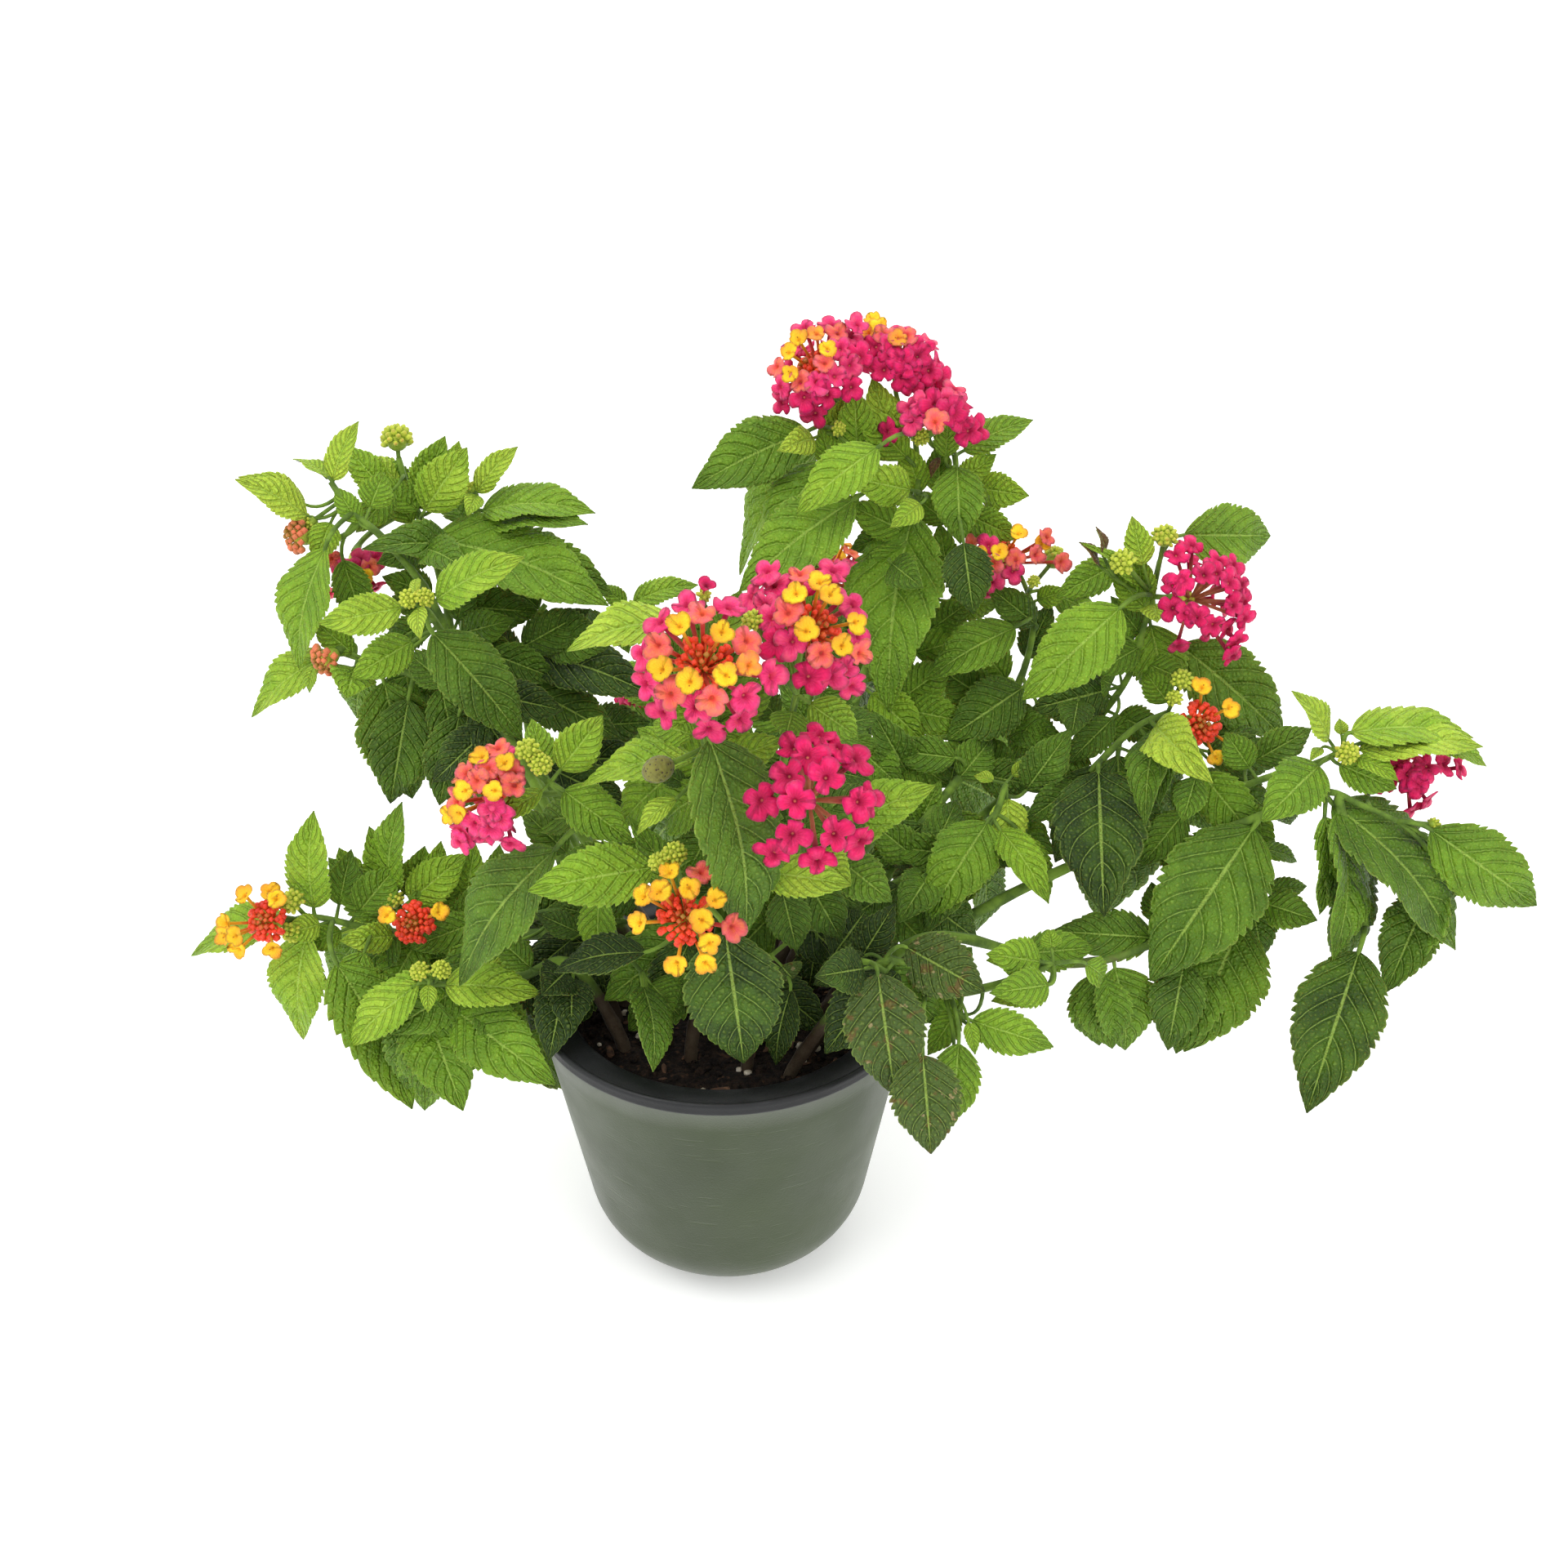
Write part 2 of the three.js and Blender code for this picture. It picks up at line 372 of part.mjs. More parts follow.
// ---- closed shells ---------------------------------------------------------------------------------------
/** A closed surface under construction: its points, and triangles that face out. */
class Shell {
  constructor() {
    this.points = [];
    this.faces = [];
  }

  add(point) {
    this.points.push(point);
    return this.points.length - 1;
  }

  loop(points) {
    return points.map((point) => this.add(point));
  }

  face(a, b, c) {
    this.faces.push([a, b, c]);
  }

  /** Walls between two loops that run the same way round, seen from the second towards the first. */
  bridge(from, to) {
    let i = 0;
    let j = 0;
    while (i < from.length || j < to.length) {
      const a = from[i % from.length];
      const b = to[j % to.length];
      if ((i + 1) / from.length <= (j + 1) / to.length) {
        this.face(a, from[(i + 1) % from.length], b);
        i += 1;
      } else {
        this.face(a, to[(j + 1) % to.length], b);
        j += 1;
      }
    }
  }

  cap(loop) {
    for (let i = 1; i < loop.length - 1; i += 1) {
      this.face(loop[0], loop[i], loop[i + 1]);
    }
  }

  solid() {
    const mesh = new wasm.Mesh({
      numProp: 3,
      vertProperties: Float32Array.from(this.points.flatMap((p) => p.toArray())),
      triVerts: Uint32Array.from(this.faces.flat()),
    });
    const solid = new wasm.Manifold(mesh);
    return solid.volume() < 0 ? new Shell().mirrored(this) : solid;
  }

  mirrored(other) {
    this.points = other.points;
    this.faces = other.faces.map(([a, b, c]) => [a, c, b]);
    return this.solid();
  }
}

/** A three.js geometry as a solid. */
function solidOf(geometry) {
  const shell = new Shell();
  const seen = new Map();
  const position = geometry.getAttribute("position");
  const index = Array.from({ length: position.count }, (_, i) => {
    const point = new THREE.Vector3().fromBufferAttribute(position, i);
    const key = point.toArray().map((value) => Math.round(value * 1e4)).join();
    if (!seen.has(key)) {
      seen.set(key, shell.add(point));
    }
    return seen.get(key);
  });
  const order = geometry.index ? Array.from(geometry.index.array) : index.map((_, i) => i);
  for (let i = 0; i < order.length; i += 3) {
    const [a, b, c] = order.slice(i, i + 3).map((corner) => index[corner]);
    if (a !== b && b !== c && c !== a) {
      shell.face(a, b, c);
    }
  }
  return shell.solid();
}

/** The solids joined, without any loose scrap or sealed void. */
function joined(solids) {
  const bodies = wasm.Manifold.union(solids).decompose();
  return bodies.reduce((best, body) => (body.volume() > best.volume() ? body : best));
}

function meshOf(name, solid, colour) {
  const { vertProperties, triVerts } = solid.getMesh();
  const geometry = new THREE.BufferGeometry();
  geometry.setAttribute("position", new THREE.BufferAttribute(Float32Array.from(vertProperties), 3));
  geometry.setIndex(Array.from(triVerts));
  geometry.computeVertexNormals();
  const material = new THREE.MeshStandardMaterial({ color: COLOURS[colour], roughness: 0.7, metalness: 0 });
  const mesh = new THREE.Mesh(geometry, material);
  mesh.name = name;
  return mesh;
}

/** Two unit vectors across `axis`, the first as near to `hint` as they can be. */
function across(axis, hint) {
  const first = hint.clone().addScaledVector(axis, -hint.dot(axis));
  if (first.lengthSq() < 1e-6) {
    first.set(axis.z, axis.x, axis.y);
    first.addScaledVector(axis, -first.dot(axis));
  }
  first.normalize();
  return [first, new THREE.Vector3().crossVectors(axis, first)];
}

/** A tapering tube through `points`, with a flat end at each. */
function tube(points, radii, sides) {
  const shell = new Shell();
  let hint = ASKEW;
  const loops = points.map((point, i) => {
    const before = points[Math.max(i - 1, 0)];
    const after = points[Math.min(i + 1, points.length - 1)];
    const [u, v] = across(after.clone().sub(before).normalize(), hint);
    hint = u;
    return shell.loop(Array.from({ length: sides }, (_, k) => {
      const turn = (2 * Math.PI * k) / sides;
      return point.clone()
        .addScaledVector(u, radii[i] * Math.cos(turn))
        .addScaledVector(v, radii[i] * Math.sin(turn));
    }));
  });
  for (let i = 1; i < loops.length; i += 1) {
    shell.bridge(loops[i - 1], loops[i]);
  }
  shell.cap(loops[0].slice().reverse());
  shell.cap(loops.at(-1));
  return shell.solid();
}

// ---- pot and soil ----------------------------------------------------------------------------------------
/** The pot's outside from its foot to the underside of its lip, `inset` millimetres in from the surface. */
function potSide(inset) {
  const lean = Math.atan2(POT.neckRadius - POT.footRadius - POT.cornerRadius, POT.height - POT.cornerRadius);
  const radius = POT.cornerRadius - inset;
  const arcSteps = 4;
  const arc = Array.from({ length: arcSteps + 1 }, (_, i) => {
    const turn = ((Math.PI / 2 - lean) * i) / arcSteps;
    return new THREE.Vector2(
      POT.footRadius + radius * Math.sin(turn), POT.cornerRadius - radius * Math.cos(turn));
  });
  return [...arc, new THREE.Vector2(POT.neckRadius - inset, POT.height - POT.lipHeight)];
}

/** The solid that a profile of (radius, height) points sweeps round the Z axis. */
function turned(profile, sides) {
  return solidOf(new THREE.LatheGeometry(profile, sides).rotateX(Math.PI / 2));
}

function makePot() {
  const outside = potSide(0);
  const inside = potSide(POT.wall).slice(1).filter((p) => p.y > POT.floor + 1);
  const rimInside = POT.rimRadius - POT.wall;
  const profile = [
    new THREE.Vector2(0, 0), ...outside,
    new THREE.Vector2(POT.rimRadius, POT.height - POT.lipHeight),
    new THREE.Vector2(POT.rimRadius, POT.height),
    new THREE.Vector2(rimInside, POT.height),
    ...inside.reverse(),
    new THREE.Vector2(POT.footRadius, POT.floor),
    new THREE.Vector2(0, POT.floor),
  ];
  let pot = turned(profile, POT.sides);
  for (let i = 0; i < DRAIN.count; i += 1) {
    const turn = (2 * Math.PI * (i + 0.5)) / DRAIN.count;
    const hole = new THREE.CylinderGeometry(DRAIN.radius, DRAIN.radius, 3 * POT.floor, DRAIN.sides);
    hole.rotateX(Math.PI / 2);
    hole.translate(DRAIN.ring * Math.cos(turn), DRAIN.ring * Math.sin(turn), POT.floor / 2);
    pot = pot.subtract(solidOf(hole));
  }
  return pot;
}

function makeSoil() {
  const wall = potSide(POT.wall + SOIL.gap).slice(1).filter((p) => p.y > POT.floor + SOIL.gap + 1);
  const neck = wall.pop();
  const last = wall.at(-1);
  const share = (SOIL.level - last.y) / (neck.y - last.y);
  const profile = [
    new THREE.Vector2(0, POT.floor + SOIL.gap),
    new THREE.Vector2(POT.footRadius, POT.floor + SOIL.gap),
    ...wall,
    last.clone().lerp(neck, share),
    new THREE.Vector2(SOIL.outerRing, SOIL.level + SOIL.lump),
    new THREE.Vector2(SOIL.innerRing, SOIL.level - SOIL.lump / 2),
    new THREE.Vector2(0, SOIL.level + SOIL.lump),
  ];
  let soil = turned(profile, SOIL.sides);
  const depth = STEM.buried + SEAT_GAP;
  for (const { root: [x, y] } of BRANCHES) {
    const hole = new THREE.CylinderGeometry(ROOT_HOLE.radius, ROOT_HOLE.radius, 2 * depth, ROOT_HOLE.sides);
    hole.rotateX(Math.PI / 2);
    hole.translate(x, y, SOIL.level);
    soil = soil.subtract(solidOf(hole));
  }
  return soil;
}

// ---- stems -----------------------------------------------------------------------------------------------
/**
 * The points of a shoot's stem to its tip: from the bottom of its hole in the soil, or, where the branch has
 * `lines` already, from the nearest place on them.
 */
function stemPoints([x, y], stem, lines) {
  const places = stem.map(onSheet);
  const start = lines.length ? [nearestOn(lines, places[0])] : [
    new THREE.Vector3(x, y, SOIL.level - STEM.buried),
    new THREE.Vector3(x, y, SOIL.level + STEM.buried / 2),
  ];
  const knots = [...start, ...places];
  const curve = new THREE.CatmullRomCurve3(knots, false, "catmullrom", STEM.tension);
  const points = [knots[0]];
  for (let i = 1; i < knots.length; i += 1) {
    const steps = Math.max(1, Math.round(knots[i].distanceTo(knots[i - 1]) / STEM.longestStep));
    for (let k = 1; k <= steps; k += 1) {
      points.push(curve.getPoint((i - 1 + k / steps) / (knots.length - 1)));
    }
  }
  return points;
}

/** The place on any of the `lines` that is nearest to `point`. */
function nearestOn(lines, point) {
  let best = null;
  for (const line of lines) {
    for (let i = 2; i < line.length; i += 1) {
      const part = new THREE.Line3(line[i - 1], line[i]);
      const place = part.closestPointToPoint(point, true, new THREE.Vector3());
      if (!best || place.distanceTo(point) < best.distanceTo(point)) {
        best = place;
      }
    }
  }
  return best;
}

// ---- leaves ----------------------------------------------------------------------------------------------
/** A blade's place: base, tip, real width and the way its upper face looks, for a leaf slid to `depth`. */
function placeBlade(entry, depth) {
  const base = onSheet([entry.right, entry.down, depth]);
  const flat = onSheet([entry.tipRight, entry.tipDown, depth]);
  const seenWidth = entry.width * sheetScale(base);
  const seenLength = base.distanceTo(flat);
  let lean = entry.lean;
  if (seenWidth / BLADE.broad > seenLength) {
    const swing = Math.sqrt((seenWidth / BLADE.broad) ** 2 - seenLength ** 2);
    lean = Math.sign(lean || 1) * Math.max(Math.abs(lean), swing);
  }
  const tip = onSheet([entry.tipRight, entry.tipDown, depth + lean]);
  const length = base.distanceTo(tip);
  const width = Math.max(seenWidth, BLADE.slender * length);
  const along = tip.clone().sub(base).normalize();
  const [seen, side] = across(along, SHEET.eye.clone().sub(base).normalize());
  const roll = Math.acos(Math.min(1, seenWidth / width));
  const facing = [1, -1]
    .map((way) => seen.clone().multiplyScalar(Math.cos(roll)).addScaledVector(side, way * Math.sin(roll)))
    .reduce((best, candidate) => (candidate.z > best.z ? candidate : best));
  return { base, tip, length, width, along, facing, side: new THREE.Vector3().crossVectors(facing, along) };
}

/** Half a blade's width at `u` of its length, as a share of its full half width. */
function outline(u) {
  return Math.sin(Math.PI * u ** BLADE.widestEarly) ** BLADE.fullness;
}

/** A point of the blade's surface: `u` along it and `v` across it, from -1 to 1. */
function onBlade(blade, u, v, rise = 0) {
  const half = (blade.width / 2) * outline(u) * v;
  const lift = blade.length * BLADE.arch * Math.sin(Math.PI * u)
    + BLADE.fold * Math.abs(half)
    + BLADE.wave * blade.length * Math.abs(v) * Math.sin(BLADE.ripples * u + (v > 0 ? 1.3 : 3.9)) * outline(u)
    + rise;
  return blade.base.clone()
    .addScaledVector(blade.along, blade.length * u)
    .addScaledVector(blade.side, half)
    .addScaledVector(blade.facing, lift);
}

/** The blade started afresh at the root of its stalk, where that stalk would double back under it. */
function straightened(blade, root) {
  if (blade.base.clone().sub(root).normalize().dot(blade.along) > BLADE.sharpestBend) {
    return blade;
  }
  const along = blade.tip.clone().sub(root).normalize();
  const base = root.clone().addScaledVector(along, BLADE.heel);
  const [facing] = across(along, blade.facing);
  const side = new THREE.Vector3().crossVectors(facing, along);
  return { ...blade, base, along, facing, side, length: base.distanceTo(blade.tip) };
}

/** A blade with a toothed margin, and its stalk from `root`. */
function makeLeaf(blade, root) {
  const shell = new Shell();
  const large = blade.length > BLADE.largeLength;
  const teeth = large ? 3 : 2;
  const ribs = large ? [0.34, 0.7] : [0.5];
  const stalk = blade.base.clone().sub(root).normalize();
  const half = BLADE.stalkWidth / 2;
  const [u, v] = across(stalk, blade.side);
  const turned = v.dot(blade.facing) < 0 ? -1 : 1;
  const foot = shell.loop([30, 150, 270].map((degrees) => {
    const angle = THREE.MathUtils.degToRad(degrees);
    return root.clone()
      .addScaledVector(u, half * Math.cos(angle))
      .addScaledVector(v, turned * half * Math.sin(angle));
  }));
  const neck = shell.loop([
    blade.base.clone().addScaledVector(blade.side, half),
    blade.base.clone().addScaledVector(blade.facing, BLADE.thick / 2),
    blade.base.clone().addScaledVector(blade.side, -half),
    blade.base.clone().addScaledVector(blade.facing, -BLADE.thick / 2),
  ]);
  shell.bridge(foot, neck);
  shell.cap(foot.slice().reverse());
  const tip = shell.add(blade.tip.clone());
  const top = [neck[1], ...ribs.map((r) => shell.add(onBlade(blade, r, 0, BLADE.thick / 2))), tip];
  const under = [neck[3], ...ribs.map((r) => shell.add(onBlade(blade, r, 0, -BLADE.thick / 2))), tip];
  const ribAt = [0, ...ribs, 1];
  for (const way of [1, -1]) {
    const edge = [way > 0 ? neck[0] : neck[2]];
    const edgeAt = [0];
    for (let k = 0; k < teeth; k += 1) {
      const point = (k + BLADE.firstTooth) / (teeth + 0.1);
      edge.push(shell.add(onBlade(blade, point, way)));
      edgeAt.push(point);
      if (k < teeth - 1) {
        const notch = point + BLADE.toothRun / teeth;
        edge.push(shell.add(onBlade(blade, notch, way * BLADE.notch)));
        edgeAt.push(notch);
      }
    }
    edge.push(tip);
    edgeAt.push(1);
    let i = 0;
    let j = 0;
    while (i < top.length - 2 || j < edge.length - 2) {
      const stepRib = j >= edge.length - 2 || (i < top.length - 2 && ribAt[i + 1] < edgeAt[j + 1]);
      const next = stepRib ? [top[i + 1], under[i + 1]] : [edge[j + 1], edge[j + 1]];
      const upper = [top[i], edge[j], next[0]];
      const lower = [under[i], next[1], edge[j]];
      shell.face(...(way > 0 ? upper.reverse() : upper));
      shell.face(...(way > 0 ? lower.reverse() : lower));
      i += stepRib ? 1 : 0;
      j += stepRib ? 0 : 1;
    }
    const upper = [top[i], edge[j], tip];
    const lower = [under[i], tip, edge[j]];
    shell.face(...(way > 0 ? upper.reverse() : upper));
    shell.face(...(way > 0 ? lower.reverse() : lower));
  }
  return shell.solid();
}

// ---- buds and florets ------------------------------------------------------------------------------------
/** A green bud head: a knobbly crown on its own stalk, whose root is sunk in the stem. */
function makeGreenBud(middle, radius, root) {
  const shell = new Shell();
  const facing = middle.clone().sub(root).normalize();
  const [u, v] = across(facing, ASKEW);
  const ringOf = (count, height, reach) => shell.loop(Array.from({ length: count }, (_, k) => {
    const angle = (2 * Math.PI * k) / count;
    const wide = count === GREEN_BUD.knobs && k % 2 ? reach * GREEN_BUD.hollow : reach;
    return middle.clone()
      .addScaledVector(facing, height)
      .addScaledVector(u, wide * Math.cos(angle))
      .addScaledVector(v, wide * Math.sin(angle));
  }));
  const foot = shell.add(root.clone().addScaledVector(facing, -GREEN_BUD.sunk));
  const neck = ringOf(3, -radius, STALK.radius);
  const crown = ringOf(GREEN_BUD.knobs, 0, radius);
  const top = shell.add(middle.clone().addScaledVector(facing, GREEN_BUD.height * radius));
  neck.forEach((corner, k) => shell.face(foot, neck[(k + 1) % neck.length], corner));
  shell.bridge(neck, crown);
  crown.forEach((corner, k) => shell.face(top, corner, crown[(k + 1) % crown.length]));
  return shell.solid();
}

/** A floret: a shallow lobed dish on a thin tube whose root is sunk in the head's core. */
function makeFloret(root, middle, turn) {
  const shell = new Shell();
  const facing = middle.clone().sub(root).normalize();
  const [u, v] = across(facing, ASKEW);
  const at = (centre, radius, angle, rise) => centre.clone()
    .addScaledVector(u, radius * Math.cos(angle + turn))
    .addScaledVector(v, radius * Math.sin(angle + turn))
    .addScaledVector(facing, rise);
  const { lobes } = FLORET;
  const rim = shell.loop(Array.from({ length: 2 * lobes }, (_, k) => at(
    middle, FLORET.radius * (k % 2 ? FLORET.notch : 1), (Math.PI * k) / lobes,
    k % 2 ? 0 : FLORET.lobeLift)));
  const { sides } = FLORET;
  const neck = shell.loop(Array.from(
    { length: sides }, (_, k) => at(middle, FLORET.neck, (2 * Math.PI * k) / sides, -FLORET.under)));
  const foot = shell.add(root);
  const dish = shell.add(middle.clone().addScaledVector(facing, -FLORET.dish));
  for (let k = 0; k < rim.length; k += 1) {
    shell.face(dish, rim[k], rim[(k + 1) % rim.length]);
  }
  shell.bridge(neck, rim);
  neck.forEach((corner, k) => shell.face(foot, neck[(k + 1) % sides], corner));
  return shell.solid();
}

/** The unopened florets in the middle of a head: a crown of square-headed buds, `wide` across in all. */
function makeRedBuds(root, middle, wide) {
  const shell = new Shell();
  const facing = middle.clone().sub(root).normalize();
  const [u, v] = across(facing, ASKEW);
  const ringOf = (count, rise, reach) => shell.loop(Array.from({ length: count }, (_, k) => {
    const angle = (2 * Math.PI * k) / count;
    const knob = count > RED_BUDS.knobs && k % 2 ? RED_BUDS.hollow : 1;
    return middle.clone()
      .addScaledVector(facing, rise * wide)
      .addScaledVector(u, reach * knob * wide * Math.cos(angle))
      .addScaledVector(v, reach * knob * wide * Math.sin(angle));
  }));
  const foot = shell.add(root);
  const skirt = ringOf(2 * RED_BUDS.knobs, 0, 0.5);
  const crown = ringOf(RED_BUDS.knobs, RED_BUDS.crownRise, RED_BUDS.crownReach);
  const peak = shell.add(middle.clone().addScaledVector(facing, RED_BUDS.peak * wide));
  skirt.forEach((corner, k) => shell.face(foot, skirt[(k + 1) % skirt.length], corner));
  shell.bridge(skirt, crown);
  crown.forEach((corner, k) => shell.face(peak, corner, crown[(k + 1) % crown.length]));
  return shell.solid();
}

/** Where a head's florets and buds stand, and the point at the foot of its core. */
function placeHead(entry) {
  const seat = onSheet(entry.middle).addScaledVector(entry.facing, -HEAD_FORM.seat * entry.reach);
  const [u, v] = across(entry.facing, new THREE.Vector3(0, 0, 1));
  const rings = RINGS[entry.kind];
  const outer = rings[0].colour;
  const spots = [];
  rings.forEach(({ angle, count, colour, reach }, level) => {
    for (let k = 0; k < count; k += 1) {
      const wobble = Math.sin(HEAD_FORM.seed * (spots.length + 1) + entry.reach);
      const tilt = THREE.MathUtils.degToRad(angle + (angle > 0 ? HEAD_FORM.nod * wobble : 0));
      const turn = (2 * Math.PI * (k + (level % 2) / 2)) / count + HEAD_FORM.sway * wobble;
      const way = entry.facing.clone().multiplyScalar(Math.cos(tilt))
        .addScaledVector(u, Math.sin(tilt) * Math.cos(turn))
        .addScaledVector(v, Math.sin(tilt) * Math.sin(turn));
      const low = colour === outer;
      const step = HEAD_FORM.rootStep * level;
      const height = low ? CORE.below * (step - HEAD_FORM.lowRoot) : CORE.above * (step + HEAD_FORM.highRoot);
      const aside = way.clone().addScaledVector(entry.facing, -way.dot(entry.facing));
      const root = seat.clone().addScaledVector(entry.facing, height)
        .addScaledVector(aside, -HEAD_FORM.rootAside * CORE.radius);
      const middle = seat.clone().addScaledVector(way, entry.reach * reach * (1 + HEAD_FORM.uneven * wobble));
      spots.push({ root, middle, turn: HEAD_FORM.twist * spots.length, colour, red: colour === "red" });
    }
  });
  return { seat, spots, outer };
}

/** The stub of stalk that a head's florets grow from, between two heights on the head's axis. */
function makeCore(entry, seat, from, to) {
  const points = [from, to].map((height) => seat.clone().addScaledVector(entry.facing, height));
  return tube(points, [CORE.radius * CORE.narrow, CORE.radius], CORE.sides);
}

/** One solid for each colour of the head: [node name, solid, colour]. */
function makeHead(entry, { seat, spots, outer }) {
  const colours = [...new Set(spots.map((spot) => spot.colour))];
  const inner = colours.filter((colour) => colour !== outer);
  const groups = inner.length ? [[outer], inner] : [[outer]];
  return groups.map((group, i) => {
    const whole = groups.length === 1;
    const from = i === 0 ? -CORE.below : CORE.split;
    const to = i === 0 && !whole ? -CORE.split : CORE.above;
    const solids = spots.filter((spot) => group.includes(spot.colour)).map((spot) => (spot.red
      ? makeRedBuds(spot.root, spot.middle, RED_BUDS.width[entry.kind])
      : makeFloret(spot.root, spot.middle, spot.turn)));
    const name = whole ? entry.name : `${entry.name}_${i === 0 ? "outer" : "inner"}`;
    return [name, joined([makeCore(entry, seat, from, to), ...solids]), group[0]];
  });
}

// ---- keeping clear ---------------------------------------------------------------------------------------
/** Points of the solids placed so far, sorted into cells, each with its radius and its owner. */
class Crowd {
  constructor(cell) {
    this.cell = cell;
    this.cells = new Map();
  }

  key(point, dx = 0, dy = 0, dz = 0) {
    return [
      Math.floor(point.x / this.cell) + dx,
      Math.floor(point.y / this.cell) + dy,
      Math.floor(point.z / this.cell) + dz,
    ].join();
  }

  add(owner, { point, radius, own }) {
    const key = this.key(point);
    if (!this.cells.has(key)) {
      this.cells.set(key, []);
    }
    this.cells.get(key).push({ owner, point, radius, own });
  }

  /** How crowded the `points` are: much for each one too close to another owner's, little for its own. */
  conflicts(owner, points) {
    return points.reduce((sum, sample) => sum + this.crowding(owner, sample), 0);
  }

  crowding(owner, { point, radius, own }) {
    let worst = 0;
    for (let dx = -1; dx <= 1; dx += 1) {
      for (let dy = -1; dy <= 1; dy += 1) {
        for (let dz = -1; dz <= 1; dz += 1) {
          for (const other of this.cells.get(this.key(point, dx, dy, dz)) ?? []) {
            const distance = other.point.distanceTo(point);
            if (other.owner !== owner && distance < CLEARANCE.between + radius + other.radius) {
              return CLEARANCE.costs.foreign;
            }
            if (other.owner === owner && own && other.own && distance < CLEARANCE.own + other.radius) {
              worst = CLEARANCE.costs.kin;
            }
          }
        }
      }
    }
    return worst;
  }
}

/** The points that stand for a line, `radius` thick. */
function lineSamples(points, radius, own = false) {
  const samples = [];
  for (let i = 1; i < points.length; i += 1) {
    const steps = Math.ceil(points[i].distanceTo(points[i - 1]) / CLEARANCE.sample);
    for (let k = 0; k < steps; k += 1) {
      samples.push({ point: points[i - 1].clone().lerp(points[i], k / steps), radius, own });
    }
  }
  return samples;
}

/** The points that stand for a blade and its stalk. */
function bladeSamples(blade, root) {
  const samples = lineSamples([root.clone().lerp(blade.base, CLEARANCE.rootShare), blade.base], 0);
  const rows = Math.ceil(blade.length / CLEARANCE.sample);
  const columns = Math.ceil(blade.width / 2 / CLEARANCE.sample);
  for (let i = 0; i <= rows; i += 1) {
    for (let k = -columns; k <= columns; k += 1) {
      samples.push({
        point: onBlade(blade, i / rows, k / columns), radius: 0, own: i / rows > CLEARANCE.baseShare,
      });
    }
  }
  return samples;
}

/** Whether a point is in the pot's wall or lip, or under the soil, or too near to them. */
function inPot(point) {
  const radius = Math.hypot(point.x, point.y);
  if (point.z > POT.height + CLEARANCE.pot || radius > POT.rimRadius + CLEARANCE.pot) {
    return false;
  }
  const inside = radius < POT.neckRadius - POT.wall - CLEARANCE.pot;
  return !(inside && point.z > SOIL.level + SOIL.lump + CLEARANCE.pot);
}

/** The blade at the nearest depth where it and its stalk are clear of everything else. */
function settleBlade(entry, owner, lines, crowd) {
  let best = null;
  for (let k = 0; k <= 2 * CLEARANCE.slides; k += 1) {
    const slide = Math.ceil(k / 2) * (k % 2 ? 1 : -1) * CLEARANCE.slide;
    const placed = placeBlade(entry, entry.depth + slide);
    const root = nearestOn(lines, placed.base.clone().addScaledVector(placed.along, -BLADE.heel));
    const blade = straightened(placed, root);
    const samples = bladeSamples(blade, root);
    const count = crowd.conflicts(owner, samples)
      + CLEARANCE.costs.foreign * samples.filter(({ point }) => inPot(point)).length
      + CLEARANCE.costs.slide * Math.abs(slide);
    if (!best || count < best.count) {
      best = { blade, root, samples, count };
    }
  }
  return best;
}

// ---- the whole plant -------------------------------------------------------------------------------------
/** The stalk of a head, from its branch to just under the head's core. */
function headStalk(entry, place, lines) {
  const end = place.seat.clone().addScaledVector(entry.facing, -CORE.below - SEAT_GAP);
  const bend = end.clone().addScaledVector(entry.facing, -STALK.straight);
  return [nearestOn(lines, bend), bend, end];
}

